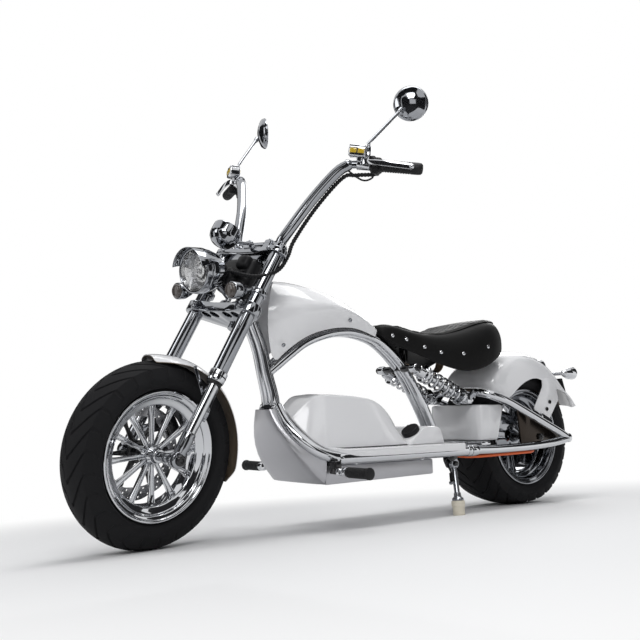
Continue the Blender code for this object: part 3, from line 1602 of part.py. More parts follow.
def rear_fenders(parent):
    """The guard ahead of the rear wheel and the long fender over it."""
    left = list(INNER_PLAN)
    plan = left + [(x, -y) for x, y in reversed(left[:-1])]
    place = Matrix.Translation((0.0, 0.0, (BUCKET_LOW + BUCKET_TOP) / 2))
    bucket = plate("inner_fender", plan, BUCKET_TOP - BUCKET_LOW, place)
    wheel_room = turned(
        "wheel_room",
        [(-0.1145, 0.0), (-0.1145, WHEEL_R + 0.008), (0.1145, WHEEL_R + 0.008),
         (0.1145, 0.0)],
        REAR_AXLE,
        LEFT,
        40,
    )
    bucket = cut(fit_mesh(bucket), wheel_room)
    keep(bucket, "inner_fender", "white_paint", parent, 50.0)

    rows = []
    for angle_deg, crown, low, side in FENDER_ROWS:
        angle = math.radians(angle_deg)
        along = Vector((math.cos(angle), 0.0, math.sin(angle)))
        knee = max(low + 0.010, crown - 0.050)
        half = [(0.0, crown), (side * 0.42, crown - 0.003), (side * 0.76, crown - 0.013),
                (side * 0.95, crown - 0.030), (side, knee), (side, low)]
        left = [DRAWN_REAR_AXLE + r * along + y * LEFT for y, r in half]
        right = [sided(p, -1.0) for p in reversed(left[1:])]
        rows.append([*right, *left])
    skin = loft("rear_fender", rows, closed_rings=False, capped=False)
    pieces = [shelled(skin, FENDER_THICK, 1.0)]
    for side in (1.0, -1.0):
        pieces.append(side_plate("strut", STRUT, side * STRUT_Y, STRUT_THICK))
    keep(joined("rear_fender", pieces), "rear_fender", "white_paint", parent, 50.0, drawn=True)


def tail_unit(parent):
    """Tail lamp, two rear signals and the number plate bracket on the fender."""
    bar_at = Vector((-0.243, 0.0, 0.462))
    pieces = [
        box("foot", (-0.2133, 0.0, 0.4559), (0.0268, 0.060, 0.050),
            Matrix.Rotation(math.radians(44.0), 4, "Y")),
        rod("bar", bar_at - 0.100 * LEFT, bar_at + 0.100 * LEFT, 0.007, sides=10),
        rod("lamp", (-0.205, 0.0, 0.488), (-0.232, 0.0, 0.500), 0.026, 0.022, sides=10),
        box("plate", (-0.268, 0.0, 0.404), (0.003, 0.150, 0.085),
            Matrix.Rotation(math.radians(20.0), 4, "Y")),
        box("plate_arm", (-0.245, 0.0, 0.438), (0.012, 0.030, 0.060),
            Matrix.Rotation(math.radians(30.0), 4, "Y")),
    ]
    for side in (1.0, -1.0):
        pieces.append(
            turned(
                "signal",
                [(0.034, 0.0), (0.026, 0.012), (0.004, 0.022), (-0.020, 0.0235),
                 (-0.028, 0.018), (-0.030, 0.0)],
                (-0.262, side * 0.100, 0.462),
                (1.0, 0.0, 0.0),
                12,
            )
        )
    keep(joined("tail_unit", pieces), "tail_unit", "chrome", parent, drawn=True)


def rear_axle(parent):
    """Rear axle with its nuts and spacers."""
    end = 0.166
    pieces = [rod("axle", (0.0, -end, DRAWN_REAR_AXLE.z), (0.0, end, DRAWN_REAR_AXLE.z), AXLE_R, sides=10)]
    spans = ((1.0, MOTOR_HALF + END_PLAY), (-1.0, -REAR_DISC_Y + DISC_THICK / 2 + END_PLAY))
    for side, inner in spans:
        pieces.append(rod("spacer", (0.0, side * inner, DRAWN_REAR_AXLE.z),
                          (0.0, side * (0.146 - GAP), DRAWN_REAR_AXLE.z), 0.0115, sides=10))
        pieces.append(rod("nut", (0.0, side * (0.154 + GAP), DRAWN_REAR_AXLE.z),
                          (0.0, side * (end + 0.002), DRAWN_REAR_AXLE.z), 0.0125, sides=6))
    keep(joined("rear_axle", pieces), "rear_axle", "black_plastic", parent, drawn=True)


def rear_caliper(parent):
    """Brake caliper over the rear disc, bolted to the right axle plate."""
    angle = math.radians(38.0)
    reach = 0.100
    centre = DRAWN_REAR_AXLE + Vector((reach * math.cos(angle), REAR_DISC_Y,
                                 reach * math.sin(angle)))
    turn = Matrix.Rotation(-angle, 4, "Y")
    body = box("rear_caliper", centre, (0.036, 0.044, 0.058), turn, 0.005)
    slot = turned(
        "slot",
        [(-0.007, 0.0), (-0.007, REAR_DISC_R + 0.006), (0.007, REAR_DISC_R + 0.006),
         (0.007, 0.0)],
        DRAWN_REAR_AXLE + REAR_DISC_Y * LEFT,
        LEFT,
        36,
    )
    body = cut(body, slot)
    bolts = [
        rod("bolt", centre + Vector((dx, -0.020, dz)),
            Vector((centre.x + dx, -0.146 + GAP, centre.z + dz)), 0.006, sides=10)
        for dx, dz in ((0.008, -0.012), (-0.012, -0.006))
    ]
    keep(joined("rear_caliper", [body, *bolts]), "rear_caliper", "steel", parent, drawn=True)


def motor_cable(parent):
    """The motor's cable under the left lower tube and up to the axle."""
    cable = tube(
        "motor_cable",
        [(0.366, 0.095, 0.1874), (0.345, 0.125, 0.1812), (0.300, 0.148, 0.1805),
         (0.200, 0.150, 0.1815), (0.080, 0.150, 0.1835), (0.030, 0.142, 0.188),
         (0.006, 0.128, 0.200), (0.000, 0.126, 0.2225)],
        0.0050,
        8,
        0.025,
    )
    keep(cable, "motor_cable", "orange", parent, drawn=True)


# Stand and pegs


def side_stand(parent):
    """The stand's leg, hinged on the left rail, with its rubber cup."""
    px, py, pz = STAND_PIVOT
    lean = math.radians(LEAN_DEG)
    up = Vector((0.0, -math.sin(lean), math.cos(lean)))
    sole = Vector((STAND_FOOT_X, STAND_FOOT_Y, STAND_FOOT_Y * math.tan(lean) + SOLE_LIFT))
    cup_top = sole + CUP_H * up
    head = Vector((px, py, pz))
    pieces = [
        rod("eye", (px, py - 0.0065, pz), (px, py + 0.0100, pz), 0.017, sides=10),
        rod("leg", head + Vector((0.0, 0.0030, -0.0150)), cup_top + 0.012 * up,
            STAND_LEG_R, STAND_LEG_R - 0.001, sides=12),
        rod("flange", cup_top + GAP * up, cup_top + 0.006 * up, 0.019, sides=10),
        rod("shank", cup_top + 0.004 * up, cup_top + 0.024 * up, 0.011, sides=10),
        rod("stud", head * 0.45 + cup_top * 0.55,
            head * 0.45 + cup_top * 0.55 + Vector((0.024, 0.0, 0.004)), 0.004, sides=10),
    ]
    leg = joined("side_stand", pieces)
    leg = cut(leg, bore((px, py - 0.03, pz), (px, py + 0.03, pz), 0.006))
    keep(leg, "side_stand", "chrome", parent, drawn=True)
    cup = turned(
        "stand_foot",
        [(0.0, 0.0), (0.0, CUP_R), (0.010, CUP_R + 0.001), (0.013, CUP_R - 0.001),
         (CUP_H - 0.008, CUP_R - 0.002), (CUP_H, CUP_R - 0.005), (CUP_H, 0.0)],
        sole,
        up,
        18,
    )
    keep(cup, "stand_foot", "cream_rubber", parent, drawn=True)


def footpegs(parents):
    """A folding rubber peg on each side."""
    for label, side in SIDES.items():
        y0 = PEG_HINGE_Y
        pieces = [
            rod("rubber", (PEG_X, side * (y0 + 0.022), PEG_Z), (PEG_X, side * PEG_END_Y, PEG_Z),
                PEG_R, sides=10),
            rod("cap", (PEG_X, side * (PEG_END_Y - 0.002), PEG_Z),
                (PEG_X, side * (PEG_END_Y + 0.005), PEG_Z), 0.0165, sides=10),
            rod("core", (PEG_X, side * (y0 - 0.004), PEG_Z), (PEG_X, side * (y0 + 0.030), PEG_Z),
                0.010, sides=10),
            rod("knuckle", (PEG_X - 0.014, side * y0, PEG_Z), (PEG_X + 0.014, side * y0, PEG_Z),
                0.0105, sides=10),
        ]
        keep(joined(f"peg_{label}", pieces), f"peg_{label}", "rubber", parents[label],
             drawn=True)


def settle(stance):
    """Move the leaning bike so that its box is centred over the origin and stands on Z = 0."""
    corners = [
        obj.matrix_world @ vertex.co
        for obj in BIKE.objects if obj.type == "MESH" for vertex in obj.data.vertices
    ]
    low = [min(p[k] for p in corners) for k in range(3)]
    high = [max(p[k] for p in corners) for k in range(3)]
    middle = Vector(((low[0] + high[0]) / 2, (low[1] + high[1]) / 2, low[2]))
    stance.matrix_world = Matrix.Translation(-middle) @ stance.matrix_world
    bpy.context.view_layer.update()


def build():
    """Build every piece, then turn the fork and lean the bike."""
    stance = empty("stance", Matrix.Identity(4))
    fork_axis = Matrix.Translation(STEER_FOOT) @ frame_along(UP_FORK, AHEAD_FORK)
    steer = empty("steering_axis", fork_axis, stance)
    spin_front = empty(
        "front_wheel_axis", Matrix.Translation(FRONT_AXLE) @ frame_along(LEFT), steer
    )
    spin_rear = empty(
        "rear_wheel_axis", Matrix.Translation(REAR_AXLE) @ frame_along(LEFT), stance
    )
    stand_axis = empty(
        "stand_axis", Matrix.Translation(fitted(STAND_PIVOT)) @ frame_along(LEFT), stance
    )
    pegs = {
        label: empty(
            f"peg_{label}_axis",
            Matrix.Translation(fitted((PEG_X, side * PEG_HINGE_Y, PEG_Z)))
            @ frame_along((side, 0.0, 0.0)),
            stance,
        )
        for label, side in SIDES.items()
    }

    front_wheel(spin_front)
    rear_wheel(spin_rear)
    fork_clamps(steer)
    fork_legs(steer)
    front_fender(steer)
    front_lights(steer)
    handlebar(steer)
    control_hose(steer)
    front_caliper(steer)
    main_frame(stance)
    underbody(stance)
    floor_covers(stance)
    tank_shell(stance)
    saddle(stance)
    shocks(stance)
    swingarm(stance)
    rear_fenders(stance)
    tail_unit(stance)
    rear_axle(stance)
    rear_caliper(stance)
    motor_cable(stance)
    side_stand(stand_axis)
    footpegs(pegs)

    steer.matrix_world = fork_axis @ Matrix.Rotation(math.radians(PARKED_STEER_DEG), 4, "Z")
    lean = Matrix.Rotation(math.radians(-LEAN_DEG), 4, "X")
    pitch = Matrix.Rotation(math.radians(STANCE_PITCH_DEG), 4, "Y")
    stance.matrix_world = pitch @ lean
    bpy.context.view_layer.update()
    settle(stance)


clear_scene()
BIKE = collection("electric_chopper_motorcycle")
SCRATCH = collection("cutters")
build()
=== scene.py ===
"""Dresses the electric chopper motorcycle: shapes and finishes of every visible piece.

Pieces are drawn with the bike upright and its fork straight ahead: +X forwards, +Y to the
rider's left, +Z up, the rear axle over X = 0 and the floor at Z = 0. The stance then leans
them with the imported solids, and the fork's pieces also turn to its parked angle. Metres.
"""
from __future__ import annotations

import json
import logging
import math
from collections.abc import Callable
from dataclasses import dataclass, field
from enum import Enum

import bpy
from mathutils import Matrix, Vector

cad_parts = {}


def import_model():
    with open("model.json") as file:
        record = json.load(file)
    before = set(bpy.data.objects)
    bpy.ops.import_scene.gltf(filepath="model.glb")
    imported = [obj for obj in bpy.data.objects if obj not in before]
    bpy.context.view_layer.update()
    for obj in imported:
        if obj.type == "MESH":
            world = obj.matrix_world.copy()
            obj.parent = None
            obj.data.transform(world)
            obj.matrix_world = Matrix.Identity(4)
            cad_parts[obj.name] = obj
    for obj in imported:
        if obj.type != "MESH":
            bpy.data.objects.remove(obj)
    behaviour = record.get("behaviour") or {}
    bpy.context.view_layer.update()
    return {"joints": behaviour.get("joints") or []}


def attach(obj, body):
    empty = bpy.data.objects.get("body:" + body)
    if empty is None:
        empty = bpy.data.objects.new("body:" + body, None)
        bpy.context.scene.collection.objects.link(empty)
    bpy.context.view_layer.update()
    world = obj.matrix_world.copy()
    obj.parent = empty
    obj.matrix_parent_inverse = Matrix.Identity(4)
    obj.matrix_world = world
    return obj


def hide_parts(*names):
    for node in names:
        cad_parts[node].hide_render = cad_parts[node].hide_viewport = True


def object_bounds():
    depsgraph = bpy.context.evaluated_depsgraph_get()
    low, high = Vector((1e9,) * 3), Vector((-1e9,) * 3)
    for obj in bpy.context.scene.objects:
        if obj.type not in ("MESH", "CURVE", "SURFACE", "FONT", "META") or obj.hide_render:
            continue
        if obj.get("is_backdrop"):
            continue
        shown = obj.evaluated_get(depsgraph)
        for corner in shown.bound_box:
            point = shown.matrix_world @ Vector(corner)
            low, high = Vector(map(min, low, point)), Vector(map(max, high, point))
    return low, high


LOG = logging.getLogger("chopper")

# Driving dimensions of the frame that the pieces are fitted to
WHEELBASE = 1.387
WHEEL_R = 0.2375
RIM_LIP_R = 0.166
BEAD_R = 0.1525
RIM_DEEP_R = 0.1262
RAKE_DEG = 29.25
FORK_OFFSET = 0.060
PARKED_STEER_DEG = 12.7
LEAN_DEG = 4.0
PITCH_DEG = 0.0428
LEG_SPREAD = 0.107
LOWER_CLAMP_UP = 0.437
UPPER_CLAMP_UP = 0.626

RAKE = math.radians(RAKE_DEG)
UP_FORK = Vector((-math.sin(RAKE), 0.0, math.cos(RAKE)))
AHEAD_FORK = Vector((math.cos(RAKE), 0.0, math.sin(RAKE)))
LEFT = Vector((0.0, 1.0, 0.0))
REAR_AXLE = Vector((0.0, 0.0, WHEEL_R))
FRONT_AXLE = Vector((WHEELBASE, 0.0, WHEEL_R))
STEER_FOOT = FRONT_AXLE - FORK_OFFSET * AHEAD_FORK
AHEAD = Vector((1, 0, 0))
UP = Vector((0, 0, 1))
SIDES = {"left": 1.0, "right": -1.0}
BOTH = (1.0, -1.0)

Rows = list[list[Vector]]
Thing = bpy.types.Object
Outline = list[tuple[float, float]]
Triple = tuple[float, float, float]


class Body(Enum):
    """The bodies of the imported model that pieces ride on."""

    CHASSIS = "chassis"
    FORK = "fork"
    FRONT_WHEEL = "front_wheel"
    REAR_WHEEL = "rear_wheel"
    SIDE_STAND = "side_stand"
    PEG_LEFT = "peg_left"
    PEG_RIGHT = "peg_right"


class Slot(Enum):
    """The record's material slots."""

    CHROME = "chrome"
    STEEL = "steel"
    ALUMINIUM = "aluminium"
    WHITE_METAL = "white_metal"
    WHITE_COVER = "white_cover"
    TYRE = "tyre"
    RUBBER = "rubber"
    PLASTIC = "black_plastic"
    LEATHER = "leather"
    LENS = "lens"
    CREAM = "cream_rubber"
    ORANGE = "cable_orange"


# Places


def fork_point(up: float, ahead: float = FORK_OFFSET, side: float = 0.0) -> Vector:
    """A point up the fork from the axle's height, ahead of the steering axis."""
    return STEER_FOOT + up * UP_FORK + ahead * AHEAD_FORK + side * LEFT


def xyz(x: float, y: float, z: float) -> Vector:
    """A point or a direction from its three parts."""
    return Vector((x, y, z))


def sided(point: Triple, side: float) -> Vector:
    """A left-hand point taken to the given side, +1 for left."""
    return xyz(point[0], point[1] * side, point[2])


def upward(angle_deg: float) -> Vector:
    """The direction across the bike's axles at an angle up from straight ahead."""
    angle = math.radians(angle_deg)
    return xyz(math.cos(angle), 0, math.sin(angle))


def move(way: Vector | Triple) -> Matrix:
    """A shift without a turn."""
    return Matrix.Translation(way)


def rotate(angle_deg: float, axis: str | Vector) -> Matrix:
    """A turn about an axis through the origin."""
    return Matrix.Rotation(math.radians(angle_deg), 4, axis)


def both_sides(left: list[Vector]) -> list[Vector]:
    """A row from the middle to the left edge, with its mirror image put before it."""
    return [*(sided(p, -1) for p in reversed(left[1:])), *left]


def frame_along(axis: Vector, up: Triple = (0.0, 0.0, 1.0)) -> Matrix:
    """Rotation whose Z runs along the axis, with X as near as it can be to up."""
    z = Vector(axis).normalized()
    x = Vector(up) - Vector(up).dot(z) * z
    if x.length < 0.0001:
        x = AHEAD - z.x * z
    x.normalize()
    return Matrix((x, z.cross(x), z)).transposed().to_4x4()


@dataclass
class Stance:
    """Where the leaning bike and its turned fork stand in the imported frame."""

    joints: dict[str, dict]
    bike: Matrix = field(init=False)
    fork: Matrix = field(init=False)

    def __post_init__(self) -> None:
        """Work out both placements from the rear wheel's and the steering's joints."""
        rear = Vector(self.joints["rear_wheel_spin"]["pos_m"])
        lean = rotate(-LEAN_DEG, "X")
        pitch = rotate(PITCH_DEG, "Y")
        self.bike = move(rear) @ pitch @ lean @ move(-REAR_AXLE)
        steer = self.joints["steering"]
        pivot = move(Vector(steer["pos_m"]))
        turn = rotate(PARKED_STEER_DEG, Vector(steer["axis"]))
        self.fork = pivot @ turn @ pivot.inverted() @ self.bike

    def of(self, body: Body) -> Matrix:
        """The placement of pieces that ride on a body."""
        turned = body in (Body.FORK, Body.FRONT_WHEEL)
        return self.fork if turned else self.bike


# Modelling helpers: each leaves one new object, drawn in bike coordinates


def only(obj: Thing) -> Thing:
    """Select one object alone and make it the active one."""
    bpy.ops.object.select_all(action="DESELECT")
    obj.select_set(True)
    bpy.context.view_layer.objects.active = obj
    return obj


def placed(obj: Thing, place: Matrix) -> Thing:
    """Move a shape by moving the points of its mesh.

    Args:
        obj: The shape, whose own place is left at the origin.
        place: The matrix that its points go through.

    Returns:
        The same object.
    """
    obj.data.transform(place @ obj.matrix_world)
    obj.matrix_world = Matrix.Identity(4)
    return obj


def fresh(name: str, primitive: Callable, **settings: object) -> Thing:
    """A new object from a primitive, selected alone."""
    bpy.ops.object.select_all(action="DESELECT")
    primitive(**settings)
    obj = bpy.context.object
    obj.name = name
    return obj


def edited(obj: Thing, *steps: tuple[Callable, dict]) -> Thing:
    """Take the whole mesh of a shape through steps of edit mode, each with its settings."""
    only(obj)
    bpy.ops.object.mode_set(mode="EDIT")
    bpy.ops.mesh.select_all(action="SELECT")
    for step, settings in steps:
        step(**settings)
    bpy.ops.object.mode_set(mode="OBJECT")
    return obj


def tidied(obj: Thing, distance: float = 0.00002) -> Thing:
    """Merge doubled points and turn the faces outwards."""
    return edited(obj, (bpy.ops.mesh.remove_doubles, {"threshold": distance}),
        (bpy.ops.mesh.normals_make_consistent, {"inside": False}))


def modified(obj: Thing, kind: str, **settings: object) -> Thing:
    """Add one modifier with its settings and apply it."""
    only(obj)
    step = obj.modifiers.new(kind.lower(), kind)
    for name, value in settings.items():
        setattr(step, name, value)
    bpy.ops.object.modifier_apply(modifier=step.name)
    return obj


def bevelled(obj: Thing, width: float, segments: int = 2, angle_deg: float = 35.0) -> Thing:
    """Round the sharp edges of a shape."""
    return modified(obj, "BEVEL", width=width, segments=segments, limit_method="ANGLE",
        angle_limit=math.radians(angle_deg), harden_normals=False)


def fillet(points: Outline, radius: float, steps: int = 4, closed: bool = False) -> Outline:
    """Round the corners of a flat outline or profile.

    Args:
        points: The corners as (a, b) pairs.
        radius: The largest rounding, cut down on short edges.
        steps: Pieces in each rounded corner.
        closed: Whether the last corner joins the first.

    Returns:
        The rounded outline.
    """
    out: Outline = []
    count = len(points)
    for k, point in enumerate(points):
        if not closed and k in (0, count - 1):
            out.append(point)
            continue
        here = Vector(point)
        before = Vector(points[k - 1]) - here
        after = Vector(points[(k + 1) % count]) - here
        reach = min(radius, before.length * 0.45, after.length * 0.45)
        start = here + before.normalized() * reach
        end = here + after.normalized() * reach
        for s in range(steps + 1):
            t = s / steps
            spot = start * (1 - t) ** 2 + here * 2 * t * (1 - t) + end * t ** 2
            out.append((spot.x, spot.y))
    return out


def spun(name: str, profile: Outline, centre: Vector, axis: Vector, steps: int = 48,
        closed: bool = False) -> Thing:
    """Turn a profile about an axis, as on a lathe.

    Args:
        name: Name of the new object.
        profile: (along, radius) pairs, along the axis from the centre.
        centre: Point of the axis at along = 0.
        axis: Direction of the axis.
        steps: Segments round the turn.
        closed: Whether the profile is a closed section.

    Returns:
        The turned shape.
    """
    obj = fresh(name, bpy.ops.mesh.primitive_circle_add, vertices=len(profile), radius=1.0,
        fill_type="NOTHING")
    for vertex, (along, radius) in zip(obj.data.vertices, profile):
        vertex.co = (radius, 0, along)
    ends = {0, len(profile) - 1}
    bpy.ops.object.mode_set(mode="EDIT")
    bpy.ops.mesh.select_mode(type="EDGE")
    bpy.ops.mesh.select_all(action="DESELECT")
    bpy.ops.object.mode_set(mode="OBJECT")
    for edge in obj.data.edges:
        edge.select = not closed and set(edge.vertices) == ends
    bpy.ops.object.mode_set(mode="EDIT")
    if not closed:
        bpy.ops.mesh.delete(type="EDGE")
    bpy.ops.mesh.select_mode(type="VERT")
    bpy.ops.mesh.select_all(action="SELECT")
    bpy.ops.mesh.spin(steps=steps, angle=math.tau, center=(0.0, 0.0, 0.0), axis=(0.0, 0.0, 1.0))
    bpy.ops.object.mode_set(mode="OBJECT")
    tidied(obj)
    return placed(obj, move(centre) @ frame_along(axis))


def lathe(name: str, corners: Outline, rounding: float, steps: int, centre: Vector, axis: Vector,
        segments: int = 48, closed: bool = False) -> Thing:
    """Turn a profile whose corners are rounded first."""
    return spun(name, fillet(corners, rounding, steps, closed), centre, axis, segments, closed)


def smooth_path(points: list[Vector], step: float) -> list[Vector]:
    """Points about a step apart on a smooth curve through the given ones."""
    nodes = [Vector(p) for p in points]
    ends = [2 * nodes[0] - nodes[1], *nodes, 2 * nodes[-1] - nodes[-2]]
    path = [nodes[0]]
    for before, here, after, beyond in zip(ends, ends[1:], ends[2:], ends[3:]):
        count = max(1, round((after - here).length / step))
        for k in range(1, count + 1):
            t = k / count
            path.append(0.5 * (2 * here + (after - before) * t + (2 * before - 5 * here + 4 * after
                - beyond) * t ** 2 + (3 * here - before - 3 * after + beyond) * t ** 3))
    return path


def tube(name: str, points: list, radius: float, sides: int = 24, step: float | None = 0.008,
        swell: list[float] | None = None) -> Thing:
    """A bent round bar with closed ends, from a curve with a round bevel.

    Args:
        name: Name of the new object.
        points: The points that it runs through.
        radius: Its radius.
        sides: Facets round it.
        step: Distance between points of the smooth path, or None for straight runs.
        swell: Share of the radius at each point of the path, repeated to its end.

    Returns:
        The bar as a mesh.
    """
    path = [Vector(p) for p in points] if step is None else smooth_path(points, step)
    line = fresh(name, bpy.ops.curve.primitive_nurbs_path_add).data
    line.splines.clear()
    line.dimensions = "3D"
    line.bevel_depth = radius
    line.bevel_resolution = max(0, sides // 2 - 2)
    line.use_fill_caps = True
    spline = line.splines.new("POLY")
    spline.points.add(len(path) - 1)
    for k, (point, place) in enumerate(zip(spline.points, path)):
        point.co = (*place, 1)
        point.radius = swell[k % len(swell)] if swell else 1.0
    bpy.ops.object.convert(target="MESH")
    return tidied(bpy.context.object)


def bar(name: str, start: Vector, end: Vector, radius: float, end_radius: float | None = None,
        sides: int = 32, bevel: float = 0.0) -> Thing:
    """A straight round bar or cone between two points."""
    start, end = Vector(start), Vector(end)
    obj = fresh(name, bpy.ops.mesh.primitive_cone_add, vertices=sides, radius1=radius, radius2=radius
        if end_radius is None else end_radius, depth=(end - start).length)
    placed(obj, move((start + end) / 2) @ frame_along(end - start))
    return bevelled(obj, bevel, 2) if bevel else obj


def block(name: str, centre: Vector, size: Triple, turn: Matrix | None = None, bevel: float = 0.002,
        segments: int = 3) -> Thing:
    """A block with rounded edges."""
    obj = fresh(name, bpy.ops.mesh.primitive_cube_add, size=1.0)
    placed(obj, Matrix.Diagonal((*size, 1)))
    if bevel:
        bevelled(obj, bevel, segments)
    return placed(obj, move(centre) @ (turn or Matrix.Identity(4)))


def plate(name: str, outline: Outline, thickness: float, place: Matrix, bevel: float = 0.0008) -> Thing:
    """A flat plate: an outline in its own XY plane, extruded to its thickness.

    Args:
        name: Name of the new object.
        outline: Corners as (x, y) pairs.
        thickness: Thickness, half to each side of the plane.
        place: Where the plane goes.
        bevel: Rounding of its edges.

    Returns:
        The plate.
    """
    obj = fresh(name, bpy.ops.mesh.primitive_circle_add, vertices=len(outline), radius=1.0,
        fill_type="NGON")
    for vertex, (x, y) in zip(obj.data.vertices, outline):
        vertex.co = (x, y, -thickness / 2)
    rise = {"TRANSFORM_OT_translate": {"value": (0, 0, thickness)}}
    tidied(edited(obj, (bpy.ops.mesh.extrude_region_move, rise)))
    if bevel:
        bevelled(obj, bevel, 2)
    return placed(obj, place)


def side_plate(name: str, outline: Outline, y: float, thickness: float, bevel: float = 0.0008) -> Thing:
    """A plate whose outline is given as (x, z) and which stands at y."""
    place = move((0, y, 0)) @ Matrix.Rotation(math.pi / 2, 4, "X")
    return plate(name, outline, thickness, place, bevel)


def skin(name: str, rows: Rows, thickness: float = 0.0, offset: float = -1.0, levels: int = 2,
        closed: bool = False) -> Thing:
    """A smooth sheet through rows of points, from a grid moved into place.

    Args:
        name: Name of the new object.
        rows: Rows of points, all with the same count.
        thickness: Wall to give the sheet, or 0 for none.
        offset: Side that the wall grows to, as Solidify takes it.
        levels: Levels of subdivision.
        closed: Whether each row is a ring, which is then welded.

    Returns:
        The sheet or shell.
    """
    if closed:
        rows = [[*row, row[0]] for row in rows]
    obj = fresh(name, bpy.ops.mesh.primitive_grid_add, x_subdivisions=len(rows[0]) - 1,
        y_subdivisions=len(rows) - 1, size=1.0)
    points = [p for row in rows for p in row]
    for vertex, place in zip(obj.data.vertices, points, strict=True):
        vertex.co = place
    if closed:
        tidied(obj)
    if levels:
        modified(obj, "SUBSURF", levels=levels, render_levels=levels)
    if thickness:
        modified(obj, "SOLIDIFY", thickness=thickness, offset=offset, use_even_offset=True)
    return obj


def capped(obj: Thing) -> Thing:
    """Close the open ends of a shape."""
    return tidied(edited(obj, (bpy.ops.mesh.fill_holes, {"sides": 0})))


def without(obj: Thing, cutter: Thing, operation: str = "DIFFERENCE") -> Thing:
    """The shape with the cutter taken away, or kept only inside it."""
    modified(obj, "BOOLEAN", operation=operation, solver="EXACT", object=cutter)
    bpy.data.objects.remove(cutter, do_unlink=True)
    return obj


def merged(name: str, parts: list[Thing]) -> Thing:
    """Several shapes as one object."""
    bpy.ops.object.select_all(action="DESELECT")
    for part in parts:
        part.select_set(True)
    bpy.context.view_layer.objects.active = parts[0]
    if len(parts) > 1:
        bpy.ops.object.join()
    parts[0].name = name
    return parts[0]


def copied(obj: Thing, place: Matrix) -> Thing:
    """A copy with its own mesh, moved by a matrix."""
    only(obj)
    bpy.ops.object.duplicate()
    return placed(bpy.context.object, place)


def ring_of(name: str, one: Thing, count: int, centre: Vector, axis: Vector,
        sweep_deg: float = 360.0) -> Thing:
    """A shape repeated round an axis, as one object."""
    parts = [one]
    there = move(centre)
    for k in range(1, count):
        turn = rotate(sweep_deg * k / count, axis)
        parts.append(copied(one, there @ turn @ there.inverted()))
    return merged(name, parts)


def screw_head(name: str, at: Vector, axis: Vector, radius: float, depth: float = 0.003) -> Thing:
    """A round screw head with a round recess, its foot at the given point."""
    return spun(name, [(0, 0), (0, radius), (depth * 0.7, radius), (depth, radius * 0.8),
        (depth, radius * 0.5), (depth * 0.4, radius * 0.45), (depth * 0.4, 0)], at, axis, 18)


def nut(name: str, at: Vector, axis: Vector, radius: float, depth: float) -> Thing:
    """A hexagon nut with rounded corners, its foot at the given point."""
    return bar(name, at, Vector(at) + depth * Vector(axis).normalized(), radius, sides=6,
        bevel=radius * 0.12)


# Finishes


@dataclass(frozen=True)
class Finish:
    """What a surface is like: its colour and how it takes light."""

    name: str
    colour: Triple
    rough: float
    metal: float = 0.0
    coat: float = 0.0
    grain: float = 0.0
    grain_scale: float = 400.0
    spread: float = 0.06
    clear: float = 0.0
    shine: float = 0.5


class Look(Enum):
    """Every finish of the motorcycle."""

    CHROME = Finish("chrome", (0.6, 0.61, 0.63), 0.05, metal=1.0, grain=0.004, spread=0.03)
    # Chrome with a darker base colour: painted dark reflection, so these chrome parts look dark with
    # bright highlights
    CHROME_DARK_REFLECTION = Finish("chrome_painted_dark_reflection", (0.32, 0.33, 0.35), 0.08, metal=1.0, grain=0.005)
    STEEL = Finish("brake_steel", (0.34, 0.34, 0.35), 0.26, metal=1.0, grain=0.03)
    SATIN = Finish("satin_aluminium", (0.46, 0.46, 0.48), 0.34, metal=1.0, grain=0.02,
        grain_scale=900.0)
    WHITE = Finish("white_paint", (0.8, 0.8, 0.81), 0.16, coat=0.5, grain=0.01, grain_scale=260.0,
        spread=0.012)
    BROWN = Finish("brown_underside", (0.17, 0.128, 0.088), 0.5, grain=0.05)
    TYRE = Finish("tyre_rubber", (0.013, 0.013, 0.014), 0.62, grain=0.1, grain_scale=900.0, spread=0.12,
        shine=0.09)
    RUBBER = Finish("grip_rubber", (0.014, 0.014, 0.015), 0.52, grain=0.08, grain_scale=1200.0,
        shine=0.25)
    PLASTIC = Finish("black_plastic", (0.012, 0.012, 0.013), 0.42, grain=0.05, grain_scale=1500.0,
        shine=0.16)
    GLOSS_BLACK = Finish("gloss_black", (0.01, 0.01, 0.011), 0.14, coat=0.3, shine=0.35)
    LEATHER = Finish("saddle_leather", (0.008, 0.008, 0.008), 0.44, grain=0.3, grain_scale=620.0,
        spread=0.08, shine=0.12)
    # Dark metal for the lamp's reflector: painted shade inside the recessed headlight
    BOWL_PAINTED_SHADE = Finish("lamp_bowl_painted_shade", (0.17, 0.17, 0.18), 0.16, metal=1.0, grain=0.01)
    CLEAR = Finish("clear_lens", (0.97, 0.98, 0.98), 0.03, clear=1.0, shine=0.25)
    SMOKE = Finish("signal_lens", (0.07, 0.06, 0.055), 0.1, coat=0.4)
    RED = Finish("tail_lens", (0.36, 0.012, 0.01), 0.1, coat=0.5)
    YELLOW = Finish("level_window", (0.52, 0.36, 0.03), 0.1, coat=0.5)
    CREAM = Finish("cream_rubber", (0.7, 0.65, 0.54), 0.55, grain=0.06, spread=0.1)
    ORANGE = Finish("cable_orange", (0.72, 0.115, 0.02), 0.42, grain=0.05)
    DIAL = Finish("dial_face", (0.016, 0.017, 0.019), 0.3, coat=0.3)
    MARKS = Finish("dial_marks", (0.7, 0.72, 0.72), 0.5)
    BRONZE = Finish("dark_bronze", (0.034, 0.027, 0.022), 0.12, metal=0.9, grain=0.01)
    STRAP = Finish("brown_strap", (0.24, 0.175, 0.12), 0.45, metal=0.35, grain=0.06)


def feed(node: bpy.types.Node, inputs: dict) -> bpy.types.Node:
    """Link each named input of a node to a socket, or set it to a value."""
    for key, value in inputs.items():
        if isinstance(value, bpy.types.NodeSocket):
            node.id_data.links.new(value, node.inputs[key])
        else:
            node.inputs[key].default_value = value
    return node


